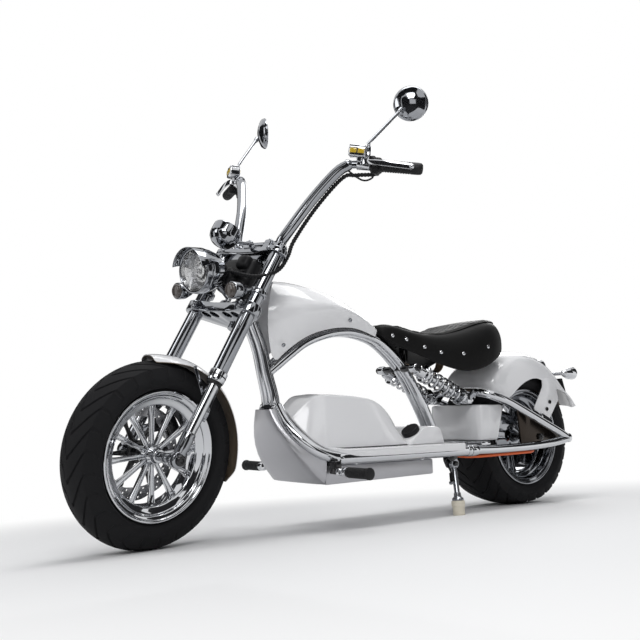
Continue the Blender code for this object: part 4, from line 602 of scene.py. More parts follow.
def node_in(tree: bpy.types.NodeTree, kind: str, inputs: dict | None = None,
        **settings: object) -> bpy.types.Node:
    """Add a node to a tree, with its settings and inputs."""
    node = tree.nodes.new(f"ShaderNode{kind}")
    for name, value in settings.items():
        setattr(node, name, value)
    return feed(node, inputs or {})


class Paints:
    """Makes the materials, with the surface effects that they share."""

    CLOUD_SCALE = 14.0
    GRAIN_DEPTH = 0.0004
    COAT_ROUGH = 0.04

    def __init__(self) -> None:
        """Build the shared group once."""
        self.group = self._surface_group()
        self.made: dict[str, bpy.types.Material] = {}

    def _surface_group(self) -> bpy.types.NodeTree:
        """The shared effect: uneven tone, uneven sheen and a fine grain.

        Returns:
            A node group that gives a colour, a roughness and a grain height.
        """
        group = bpy.data.node_groups.new("worn_surface", "ShaderNodeTree")
        for way, kinds in (("INPUT", {"Colour": "Color", "Rough": "Float", "Spread": "Float",
                "Scale": "Float"}), ("OUTPUT", {"Colour": "Color", "Rough": "Float",
                "Grain": "Float"})):
            for name, kind in kinds.items():
                group.interface.new_socket(name, in_out=way, socket_type=f"NodeSocket{kind}")
        start = group.nodes.new("NodeGroupInput").outputs
        place = node_in(group, "TexCoord").outputs["Object"]
        cloud = node_in(group, "TexNoise", {"Vector": place, "Scale": self.CLOUD_SCALE, "Detail": 4})
        grain = node_in(group, "TexNoise", {"Vector": place, "Scale": start["Scale"], "Detail": 3})
        centred = node_in(group, "Math", {0: cloud.outputs["Fac"], 1: 0.5}, operation="SUBTRACT")
        amount = node_in(group, "Math", {0: centred.outputs[0], 1: start["Spread"]},
            operation="MULTIPLY").outputs[0]
        gain = node_in(group, "Math", {0: amount, 1: 2, 2: 1}, operation="MULTIPLY_ADD")
        tone = node_in(group, "VectorMath", operation="SCALE")
        feed(tone, {0: start["Colour"], "Scale": gain.outputs[0]})
        rough = node_in(group, "Math", {0: start["Rough"], 1: amount}, operation="ADD", use_clamp=True)
        feed(group.nodes.new("NodeGroupOutput"), {"Colour": tone.outputs[0], "Rough": rough.outputs[0],
            "Grain": grain.outputs["Fac"]})
        return group

    def of(self, look: Look) -> bpy.types.Material:
        """The material of a finish, made on first use."""
        finish = look.value
        if finish.name in self.made:
            return self.made[finish.name]
        material = bpy.data.materials.new(finish.name)
        material.use_nodes = True
        tree = material.node_tree
        effect = node_in(tree, "Group", node_tree=self.group)
        feed(effect, {"Colour": (*finish.colour, 1), "Rough": finish.rough, "Spread": finish.spread,
            "Scale": finish.grain_scale})
        shader = feed(tree.nodes["Principled BSDF"], {"Base Color": effect.outputs["Colour"],
            "Roughness": effect.outputs["Rough"], "Metallic": finish.metal, "Coat Weight": finish.coat,
            "Coat Roughness": self.COAT_ROUGH, "Specular IOR Level": finish.shine,
            "Transmission Weight": finish.clear})
        if finish.grain:
            bump = node_in(tree, "Bump", {"Strength": min(1, finish.grain * 2),
                "Distance": self.GRAIN_DEPTH, "Height": effect.outputs["Grain"]})
            feed(shader, {"Normal": bump.outputs["Normal"]})
        self.made[finish.name] = material
        return material


@dataclass
class Shop:
    """Places, paints and hangs each finished piece on the body that carries it."""

    stance: Stance
    paints: Paints
    body: Body = Body.CHASSIS
    made: list[str] = field(default_factory=list)

    def on(self, body: Body) -> Shop:
        """The same shop, for the pieces that ride on another body."""
        return Shop(self.stance, self.paints, body, self.made)

    def add(self, shape: Thing | list, name: str, look: Look, slot: Slot,
            replaces: tuple[str, ...] = (), smooth_deg: float = 40.0) -> Thing:
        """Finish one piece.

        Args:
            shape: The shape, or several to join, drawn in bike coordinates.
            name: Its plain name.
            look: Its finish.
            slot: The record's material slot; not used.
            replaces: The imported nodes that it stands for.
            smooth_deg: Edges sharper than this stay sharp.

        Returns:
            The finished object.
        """
        body = self.body
        obj = merged(name, shape) if isinstance(shape, list) else shape
        placed(obj, self.stance.of(body))
        obj.name = name
        obj.data.name = name
        obj.data.materials.clear()
        obj.data.materials.append(self.paints.of(look))
        only(obj)
        bpy.ops.object.shade_smooth_by_angle(angle=math.radians(smooth_deg))
        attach(obj, body.value)
        if replaces:
            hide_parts(*replaces)
        self.made.append(name)
        LOG.info("%s on %s: %d faces", name, body.value, len(obj.data.polygons))
        return obj


# Wheels


@dataclass(frozen=True)
class WheelPlan:
    """Sizes of one wheel."""

    axle: Vector
    tyre_half: float
    shoulder_half: float
    rim_half: float
    grooves: int
    sweep_deg: float
    groove_depth: float = 0.0038


def tyre_rows(plan: WheelPlan) -> Rows:
    """Columns of the tyre round its axle, slanted along the curve of its grooves.

    Args:
        plan: The wheel's sizes.

    Returns:
        Rows of points, one closed section of the tyre for each column.
    """
    drop = 0.0155
    shoulder_r = WHEEL_R - drop
    crown_r = (plan.shoulder_half ** 2 + drop ** 2) / (2 * drop)
    bead_y = plan.rim_half - 0.0073
    tread = [(share, share * plan.shoulder_half) for share in (0, 0.04, 0.09, 0.14, 0.22, 0.32, 0.42,
        0.52, 0.62, 0.72, 0.81, 0.89, 0.95, 1)]
    half = [(y, WHEEL_R - crown_r + math.sqrt(crown_r ** 2 - y ** 2), share) for share, y in tread]
    wall = fillet([(plan.shoulder_half, shoulder_r), (plan.tyre_half,
        (shoulder_r + BEAD_R) / 2 + 0.006), (plan.tyre_half * 0.93, RIM_LIP_R + 0.01),
        (bead_y + 0.0004, RIM_LIP_R + 0.0022)], 0.02, 5)[1:]
    half += [(y, r, 1 + k * 0.02) for k, (y, r) in enumerate(wall)]
    half += [(bead_y, BEAD_R, 1.2), (bead_y - 0.01, BEAD_R, 1.2), (plan.tyre_half * 0.86,
        shoulder_r - 0.02, 1.2), (0, WHEEL_R - 0.014, 1.2)]
    loop = [(y, r, s, 1) for y, r, s in half]
    loop += [(-y, r, s, -1) for y, r, s in reversed(half[1:-1])]
    pitch = math.tau / plan.grooves
    columns = ((0, 0), (0.05, 1), (0.15, 1), (0.2, 0), (0.6, 0))
    rows: Rows = []
    for k in range(plan.grooves):
        for across, cut in columns:
            row = []
            for y, r, share, side in loop:
                lean = math.radians(plan.sweep_deg * min(share, 1) ** 1.6 - 70 * max(0,
                    min(share, 1.06) - 1))
                offset = pitch / 2 if side < 0 else 0.0
                offset *= min(1, abs(y) / (plan.shoulder_half * 0.14))
                inside = 0.09 <= share <= 1.07
                depth = plan.groove_depth * cut if inside else 0.0
                angle = k * pitch + across * pitch + lean + offset
                row.append(plan.axle + (r - depth) * xyz(math.cos(angle), 0,
                    math.sin(angle)) + y * LEFT)
            rows.append(row)
    rows.append(rows[0])
    return rows


def rim_section(half: float, deep_r: float) -> Outline:
    """Closed section of a rim with a rolled lip and two inner steps."""
    seat_r = BEAD_R - 0.0008
    left = [(half * 0.45, 0.132), (half * 0.66, seat_r), (half - 0.0072, seat_r),
        (half - 0.0072, 0.165), (half - 0.0045, 0.1662), (half - 0.001, 0.165), (half, 0.162),
        (half - 0.0012, 0.1585), (half - 0.005, 0.156), (half - 0.0068, 0.149), (half - 0.0105, 0.1462),
        (half * 0.7, 0.1445), (half * 0.64, 0.14), (half * 0.55, deep_r + 0.0035),
        (half * 0.47, deep_r)]
    right = [(-y, r) for y, r in reversed(left)]
    return fillet([*left, *right], 0.0022, 3, closed=True)


def disc_outline(radius: float, wave: float, lobes: int, steps: int) -> list:
    """A round outline whose edge runs in shallow waves."""
    out = []
    for k in range(steps):
        angle = math.tau * k / steps
        r = radius - wave * (0.5 - 0.5 * math.cos(lobes * angle)) ** 2
        out.append((r * math.cos(angle), r * math.sin(angle)))
    return out


def brake_disc(centre: Vector, radius: float, hub_r: float) -> list:
    """A drilled disc with a waved edge, its carrier and its bolts.

    Args:
        centre: Middle of the disc.
        radius: Outer radius.
        hub_r: Radius of the carrier's foot.

    Returns:
        The band, then the black carrier with its bolts.
    """
    place = move(centre) @ Matrix.Rotation(math.pi / 2, 4, "X")
    band = plate("band", disc_outline(radius, 0.0035, 8, 128), 0.0038, Matrix(), 0)
    inner = radius * 0.73
    cutters = [plate("hole", disc_outline(inner, -0.003, 8, 96), 0.02, Matrix(), 0)]
    for share, start in ((0.79, 0), (0.865, 0.33), (0.94, 0.66)):
        hole = bar("hole", xyz(radius * share, 0, -0.01), xyz(radius * share, 0, 0.01), 0.003, sides=10)
        placed(hole, rotate(start * 15, "Z"))
        cutters.append(ring_of("holes", hole, 24, Vector(), UP))
    band = bevelled(without(band, merged("cutters", cutters)), 0.0004, 1)
    ring = spun("ring", [(-0.0022, hub_r * 0.5), (-0.0022, hub_r), (0.0022, hub_r),
        (0.0022, hub_r * 0.5)], Vector(), UP, 40, closed=True)
    arm = plate("arm", fillet([(hub_r * 0.9, -0.009), (radius * 0.6, -0.0045), (radius * 0.745, -0.01),
        (radius * 0.775, 0), (radius * 0.745, 0.01), (radius * 0.6, 0.0045), (hub_r * 0.9, 0.009)],
        0.006, 3), 0.0042, Matrix(), 0.0006)
    arms = ring_of("arms", arm, 6, Vector(), UP)
    bolt = screw_head("bolt", xyz(radius * 0.755, 0, 0.0018), UP, 0.0042, 0.0014)
    twin = screw_head("bolt", xyz(radius * 0.755, 0, -0.0018), xyz(0, 0, -1), 0.0042, 0.0014)
    bolts = ring_of("bolts", merged("pair", [bolt, twin]), 6, Vector(), UP)
    return [placed(band, place), placed(merged("carrier", [ring, arms, bolts]), place)]


def channel_spoke(name: str, stations: list[tuple[float, float, float, float]]) -> Thing:
    """A spoke with two raised edges and a groove between, along +X and facing +Y.

    Args:
        name: Name of the new object.
        stations: (radius, middle y, width, depth) from the hub outwards.

    Returns:
        The spoke, closed at both ends.
    """
    rows = []
    for x, y, wide, deep in stations:
        half, rise = wide / 2, deep / 2
        shape = [(-half, -rise), (half, -rise), (half, rise * 0.7), (half * 0.86, rise),
            (half * 0.62, rise), (half * 0.46, rise * 0.35), (-half * 0.46, rise * 0.35),
            (-half * 0.62, rise), (-half * 0.86, rise), (-half, rise * 0.7)]
        rows.append([xyz(x, y + b, a) for a, b in shape])
    spoke = capped(skin(name, rows, levels=0, closed=True))
    return bevelled(spoke, 0.0007, 2, 30)


class Wheel:
    """What both wheels share: the tyre, the rim, and the disc on its carrier."""

    BODY: Body
    LABEL: str
    METAL = Look.CHROME
    PLAN: WheelPlan
    DISC_Y: float
    DISC_R: float
    CARRIER_R: float

    def spokes(self) -> Thing:
        """The spokes of this wheel."""
        raise NotImplementedError

    def hub(self) -> Thing:
        """The hub of this wheel."""
        raise NotImplementedError

    def build(self, shop: Shop) -> None:
        """Make the wheel's pieces."""
        plan, label = self.PLAN, self.LABEL
        tyre = skin("tyre", tyre_rows(plan), levels=0, closed=True)
        shop.add(tyre, f"{label}_tyre_tread", Look.TYRE, Slot.TYRE, (f"{label}_tyre",), 28)
        rim = spun("rim", rim_section(plan.rim_half, RIM_DEEP_R), plan.axle, LEFT, 96, True)
        shop.add([rim, self.spokes(), self.hub()], f"{label}_rim_chrome", self.METAL, Slot.CHROME,
            (f"{label}_rim",), 35)
        band, carrier = brake_disc(plan.axle + self.DISC_Y * LEFT, self.DISC_R, self.CARRIER_R)
        shop.add(band, f"{label}_disc_band", Look.STEEL, Slot.STEEL, (f"{label}_disc",))
        shop.add(carrier, f"{label}_disc_carrier", Look.GLOSS_BLACK, Slot.STEEL)


class FrontWheel(Wheel):
    """The tall front tyre, its twelve-spoke wheel and the drilled disc."""

    BODY = Body.FRONT_WHEEL
    LABEL = "front"
    PLAN = WheelPlan(FRONT_AXLE, 0.064, 0.05, 0.047, 26, 19)
    HUB_R = 0.026
    DISC_Y = -0.056
    DISC_R = 0.125
    CARRIER_R = 0.03
    SPOKE = ((0.02, 0.003, 0.011, 0.013), (0.034, 0.004, 0.0105, 0.012), (0.1, 0.0045, 0.0125, 0.0115),
        (0.118, 0.0045, 0.0155, 0.013), (0.1285, 0.0045, 0.0205, 0.015))

    def spokes(self) -> Thing:
        """Twelve single spokes."""
        spoke = channel_spoke("spoke", self.SPOKE)
        placed(spoke, move(FRONT_AXLE) @ rotate(4, "Y"))
        return ring_of("spokes", spoke, 12, FRONT_AXLE, LEFT)

    def hub(self) -> Thing:
        """The hub, waisted between its two ends."""
        r = self.HUB_R
        return spun("hub", fillet([(-0.0535, 0.0085), (-0.0535, r * 0.78), (-0.02, r * 0.85),
            (-0.012, r), (0.012, r), (0.015, r * 0.92), (0.03, r * 0.8), (0.04, r * 0.66),
            (0.04, 0.0085)], 0.002, 3), FRONT_AXLE, LEFT, 48, True)

    def build(self, shop: Shop) -> None:
        """Make the wheel's pieces and its valve."""
        super().build(shop)
        valve = bar("valve", FRONT_AXLE + xyz(0, 0.01, -0.127), FRONT_AXLE + xyz(0, 0.018, -0.1),
            0.0028, 0.0022, 12)
        shop.add(valve, "front_valve", Look.PLASTIC, Slot.RUBBER)


class RearWheel(Wheel):
    """The wide rear tyre, its five double spokes, the motor hub and the disc."""

    BODY = Body.REAR_WHEEL
    LABEL = "rear"
    # The rear rim's chrome is painted darker, as painted dark reflection
    METAL = Look.CHROME_DARK_REFLECTION
    PLAN = WheelPlan(REAR_AXLE, 0.1075, 0.098, 0.099, 26, 24)
    MOTOR_R = 0.095
    DISC_Y = -0.11
    DISC_R = 0.105
    CARRIER_R = 0.036
    SPOKE = ((0.044, 0.004, 0.012, 0.024), (0.07, 0.006, 0.0115, 0.0225), (0.105, 0.006, 0.012, 0.0215),
        (0.12, 0.006, 0.015, 0.0235), (0.1285, 0.006, 0.022, 0.026))

    def spokes(self) -> Thing:
        """Five pairs of spokes."""
        pair = [placed(channel_spoke("spoke", self.SPOKE), move(REAR_AXLE) @ rotate(93 + twist, "Y"))
            for twist in (-9, 9)]
        return ring_of("spokes", merged("pair", pair), 5, REAR_AXLE, LEFT)

    def hub(self) -> Thing:
        """The motor, with its neck towards the disc and its cover on the left."""
        r = self.MOTOR_R
        return spun("hub", fillet([(-0.1075, 0.0085), (-0.1075, r * 0.3), (-0.05, r * 0.33),
            (-0.045, r * 0.45), (-0.038, r * 0.95), (-0.027, r), (0.002, r * 0.9), (0.012, r * 0.8),
            (0.022, r * 0.66), (0.04, r * 0.46), (0.045, r * 0.3), (0.045, 0.0085)], 0.004, 4),
            REAR_AXLE, LEFT, 72, True)

    def build(self, shop: Shop) -> None:
        """Make the wheel's pieces and the bolts of the motor's cover."""
        super().build(shop)
        bolt = screw_head("bolt", REAR_AXLE + xyz(0.034, 0.0425, 0), LEFT, 0.0035)
        shop.add(ring_of("bolts", bolt, 8, REAR_AXLE, LEFT), "motor_cover_bolts", Look.CHROME_DARK_REFLECTION,
            Slot.STEEL)


# Fork and what it carries
FORK_AXES = Matrix((AHEAD_FORK, LEFT, UP_FORK)).transposed().to_4x4()
BAR_LEFT = ((1.05, 0.092, 0.826), (0.998, 0.14, 0.935), (0.955, 0.195, 1.022), (0.936, 0.225, 1.046))
BAR_INNER = (0.901, 0.28, 1.046)
BAR_END = (0.836, 0.4, 1.035)
MIRROR_AT = (0.769, 0.306, 1.253)
MIRROR_FACE = (-0.8, -0.54, 0.12)
GRIP_RIBS, GRIP_PITCH = 11, 0.0072
HOSE_PATH = ((0.8942, 0.2925, 1.024), (0.9, 0.28, 1.02), (0.9215, 0.24, 1.018),
    (0.9395, 0.2059, 1.0098), (0.9825, 0.1509, 0.9228), (1.03, 0.119, 0.826), (1.054, 0.122, 0.78),
    (1.082, 0.125, 0.744), (1.112, 0.124, 0.725), (1.142, 0.112, 0.714), (1.16, 0.084, 0.713),
    (1.1668, 0.045, 0.72), (1.1668, 0.004, 0.727))


class Fork:
    """Clamps, legs, axle, caliper and the short front fender."""

    BODY = Body.FORK
    LEG_R = 0.02
    SLIDER_R = 0.0145
    COLLAR_R = 0.0235
    COLLAR_UP = 0.23
    LEG_TOP_UP = 0.65
    LUG_R = 0.021
    LUG_HALF = 0.013
    FENDER_R = 0.251

    def build(self, shop: Shop) -> None:
        """Make the fork's pieces."""
        for label, side in SIDES.items():
            self._leg(shop, label, side)
        self._clamps(shop)
        self._axle(shop)
        self._caliper(shop)
        self._fender(shop)

    def _leg(self, shop: Shop, label: str, side: float) -> None:
        """One leg: tube, seals, slider and the cast lug round the axle."""
        y = side * LEG_SPREAD
        foot = fork_point(0, side=y)
        node = f"fork_leg_{label}"
        top, low = self.LEG_TOP_UP, self.COLLAR_UP
        tube_profile = [(low, 0), (low, self.LEG_R - 0.001), (low + 0.002, self.LEG_R),
            (top - 0.002, self.LEG_R), (top, self.LEG_R - 0.002), (top, 0)]
        shop.add(spun("tube", tube_profile, foot, UP_FORK, 48), f"{node}_tube", Look.CHROME_DARK_REFLECTION,
            Slot.CHROME, (node,))
        parts = [
            lathe("collar", [(low - 0.012, self.SLIDER_R), (low - 0.012, 0.0222),
                (low - 0.006, self.COLLAR_R), (low + 0.017, self.COLLAR_R), (low + 0.02, self.LEG_R)],
                0.0015, 3, foot, UP_FORK, 48),
            spun("slider", [(0.012, 0), (0.012, self.SLIDER_R), (low - 0.01, self.SLIDER_R),
                (low - 0.01, 0)], foot, UP_FORK, 40),
            screw_head("cap", foot + (top - 0.001) * UP_FORK, UP_FORK, 0.016, 0.0065),
        ]
        shop.add(parts, f"{node}_chrome", Look.CHROME, Slot.CHROME)
        seals = [spun("seal", fillet([(low + a, self.SLIDER_R - 0.001), (low + a, r), (low + b, r),
            (low + b, self.SLIDER_R - 0.001)], 0.0012, 3), foot, UP_FORK, 40, True)
            for a, b, r in ((-0.02, -0.0125, 0.0205), (0.002, 0.006, 0.024))]
        shop.add(seals, f"{node}_seals", Look.RUBBER, Slot.RUBBER)
        reach = self.LUG_HALF
        cast = [
            lathe("lug", [(-reach, 0), (-reach, self.LUG_R * 0.72), (-reach + 0.003, self.LUG_R),
                (reach - 0.003, self.LUG_R), (reach, self.LUG_R * 0.72), (reach, 0)], 0.002, 3, foot,
                LEFT, 40),
            lathe("boss", [(0.012, 0), (0.012, 0.015), (0.03, 0.0168), (0.058, 0.0174), (0.07, 0.017),
                (0.074, 0.0148), (0.074, 0)], 0.004, 4, foot, UP_FORK, 40),
            bar("pinch", foot + 0.026 * UP_FORK - 0.012 * AHEAD_FORK - 0.0165 * LEFT,
                foot + 0.026 * UP_FORK - 0.012 * AHEAD_FORK + 0.0165 * LEFT, 0.0058, bevel=0.001),
            block("stay_lug", fork_point(0.135, FORK_OFFSET - 0.016, y - side * 0.004),
                (0.026, 0.012, 0.02), frame_along(UP_FORK), 0.003),
        ]
        if side < 0:
            corners = fillet([(1.348, 0.278), (1.352, 0.302), (1.278, 0.312), (1.27, 0.286)], 0.006)
            cast.append(side_plate("caliper_plate", corners, -0.0905, 0.008))
        shop.add(cast, f"{node}_casting", Look.CHROME_DARK_REFLECTION, Slot.ALUMINIUM)

    @staticmethod
    def _clamp(up: float, thick: float, reach: float, windows: list) -> Thing:
        """A clamp plate joining both legs, pierced by round windows."""
        outline = []
        for side in BOTH:
            for k in range(13):
                angle = side * math.pi / 2 - math.pi / 2 + math.pi * k / 12
                outline.append((FORK_OFFSET + reach * math.cos(angle), side * LEG_SPREAD + reach
                    * math.sin(angle)))
            if side > 0:
                outline += fillet([(-0.016, 0.028), (-0.021, 0.012), (-0.021, -0.012),
                    (-0.016, -0.028)], 0.01, 4)
        outline += fillet([(FORK_OFFSET + 0.023, -0.06), (FORK_OFFSET + 0.018, -0.034),
            (FORK_OFFSET + 0.018, 0.034), (FORK_OFFSET + 0.023, 0.06)], 0.012, 4)
        body = plate("clamp", outline, thick, Matrix(), 0)
        if windows:
            cutters = [bar("window", xyz(a, y, -0.05), xyz(a, y, 0.05), r, sides=28)
                for a, y, r in windows]
            body = without(body, merged("windows", cutters))
        body = bevelled(body, 0.0026, 3, 40)
        return placed(body, move(STEER_FOOT + up * UP_FORK) @ FORK_AXES)

    def _clamps(self, shop: Shop) -> None:
        """Both clamps with their bolts, the stem and the handlebar's risers."""
        windows = [(FORK_OFFSET, s * y, 0.0145) for s in BOTH for y in (0.026, 0.0605)]
        low = [
            self._clamp(LOWER_CLAMP_UP, 0.03, 0.031, windows),
            bar("stem", STEER_FOOT + 0.41 * UP_FORK, STEER_FOOT + 0.6165 * UP_FORK, 0.016),
        ]
        dome = [(-0.004, 0), (-0.004, 0.009), (0.001, 0.009), (0.0055, 0.0078), (0.009, 0.0048),
            (0.0102, 0)]
        for side in BOTH:
            for lift in (-0.0078, 0.0078):
                at = fork_point(LOWER_CLAMP_UP + lift, FORK_OFFSET + 0.0272,
                    side * (LEG_SPREAD - 0.013))
                low.append(spun("dome", [(a * 0.8, r * 0.8) for a, r in dome], at, AHEAD_FORK, 24))
        shop.add(low, "lower_clamp_chrome", Look.CHROME_DARK_REFLECTION, Slot.CHROME, ("lower_clamp",))
        high = [
            self._clamp(UPPER_CLAMP_UP, 0.018, 0.029, []),
            nut("nut", STEER_FOOT + (UPPER_CLAMP_UP + 0.008) * UP_FORK, UP_FORK, 0.016, 0.012),
        ]
        for side in BOTH:
            middle = fork_point(UPPER_CLAMP_UP + 0.027, 0.04, side * 0.042)
            high += [
                block("riser", middle, (0.04, 0.03, 0.056), FORK_AXES, 0.006, 4),
                block("split", middle + 0.014 * UP_FORK, (0.0406, 0.0306, 0.0012), FORK_AXES, 0),
            ]
            for ahead in (-0.0135, 0.0135):
                high.append(screw_head("bolt", middle + 0.0275 * UP_FORK + ahead * AHEAD_FORK, UP_FORK,
                    0.0045, 0.004))
            high.append(spun("dome", [(a * 0.7, r * 0.7) for a, r in dome],
                fork_point(UPPER_CLAMP_UP, FORK_OFFSET + 0.0255, side * (LEG_SPREAD - 0.013)),
                AHEAD_FORK, 24))
        shop.add(high, "upper_clamp_chrome", Look.CHROME_DARK_REFLECTION, Slot.CHROME, ("upper_clamp",))

    def _axle(self, shop: Shop) -> None:
        """The front axle with its spacers and its two capped ends."""
        outer = LEG_SPREAD + self.LUG_HALF
        parts = [bar("axle", FRONT_AXLE - outer * LEFT, FRONT_AXLE + outer * LEFT, 0.008)]
        for side, hub_end in ((1, 0.0406), (-1, 0.0586)):
            parts.append(bar("spacer", FRONT_AXLE + side * hub_end * LEFT,
                FRONT_AXLE + side * (LEG_SPREAD - self.LUG_HALF) * LEFT, 0.012, bevel=0.001))
        shop.add(parts, "front_axle_steel", Look.CHROME_DARK_REFLECTION, Slot.STEEL, ("front_axle",))
        ends = []
        for side in BOTH:
            ends.append(lathe("end", [(0, 0), (0, 0.014), (0.006, 0.0138), (0.0095, 0.0105),
                (0.0095, 0.0055), (0.005, 0.005), (0.005, 0)], 0.0015, 3,
                FRONT_AXLE + side * outer * LEFT, side * LEFT, 32))
        shop.add(ends, "front_axle_ends", Look.GLOSS_BLACK, Slot.STEEL)

    @staticmethod
    def _caliper(shop: Shop) -> None:
        """The front caliper round its disc, with its bridge and two pistons."""
        along, turn = upward(150), rotate(-150, "Y")
        middle = FRONT_AXLE + 0.119 * along
        parts = []
        for inner, outer in ((-0.0862, -0.0605), (-0.0515, -0.0432)):
            at = xyz(middle.x, (inner + outer) / 2, middle.z)
            parts.append(block("half", at, (0.034, abs(inner - outer), 0.062), turn, 0.005, 4))
        parts.append(block("bridge", xyz(middle.x, -0.064, middle.z) + 0.0135 * along,
            (0.0085, 0.042, 0.05), turn, 0.003))
        for lift in (-0.018, 0.018):
            at = xyz(middle.x, -0.0855, middle.z) + turn.to_3x3() @ xyz(0, 0, lift)
            parts.append(spun("piston", [(0, 0), (0, 0.0115), (0.003, 0.0105), (0.003, 0)], at, -LEFT,
                24))
        shop.add(parts, "front_caliper_body", Look.GLOSS_BLACK, Slot.STEEL, ("front_caliper",))

    def _fender_rows(self, grow: float) -> Rows:
        """Rings of the front fender from its front end to its rear end."""
        rows = []
        steps = 30
        for k in range(steps + 1):
            share = k / steps
            along = upward(84 + 116 * share)
            edge = 0.03 + 0.04 * min(1, share * 6, (1 - share) * 10 + 0.35)
            row = []
            for j in range(13):
                y = -1.0 + j / 6.0
                lip = 0.0022 if abs(y) > 0.99 else 0.0
                radius = self.FENDER_R + grow - 0.016 * abs(y) ** 3 - lip
                row.append(FRONT_AXLE + radius * along + edge * y * LEFT)
            rows.append(row)
        return rows

    def _fender(self, shop: Shop) -> None:
        """The white guard, its brown underside and its flat chrome stays, painted darker to stand for
        dark reflections.
        """
        outer = skin("fender", self._fender_rows(0.003), 0.002, -1, 1)
        shop.add(outer, "front_fender_skin", Look.WHITE, Slot.WHITE_METAL, ("front_fender",), 50)
        inner = skin("liner", self._fender_rows(0.0009), 0.0006, -1, 1)
        shop.add(inner, "front_fender_underside", Look.BROWN, Slot.WHITE_METAL, (), 50)
        stays = []
        for side in BOTH:
            top = fork_point(0.15, FORK_OFFSET - 0.0243, side * (LEG_SPREAD - 0.004))
            low = fork_point(0.122, FORK_OFFSET - 0.0243, side * (LEG_SPREAD - 0.004))
            for foot, angle_deg in ((top, 107), (low, 130)):
                reach = self.FENDER_R - 0.015
                edge = FRONT_AXLE + reach * upward(angle_deg) + side * 0.0712 * LEFT
                way = edge - foot
                stays += [
                    block("stay", (foot + edge) / 2, (0.01, 0.003, way.length),
                        frame_along(way, LEFT) @ Matrix.Rotation(math.pi / 2, 4, "Z"), 0.001),
                    screw_head("bolt", edge + side * 0.0012 * LEFT, side * LEFT, 0.0048, 0.0026),
                ]
            stays.append(bar("foot", low - 0.004 * UP_FORK, top + 0.004 * UP_FORK, 0.0052, bevel=0.001))
        shop.add(stays, "front_fender_stays", Look.CHROME_DARK_REFLECTION, Slot.STEEL)


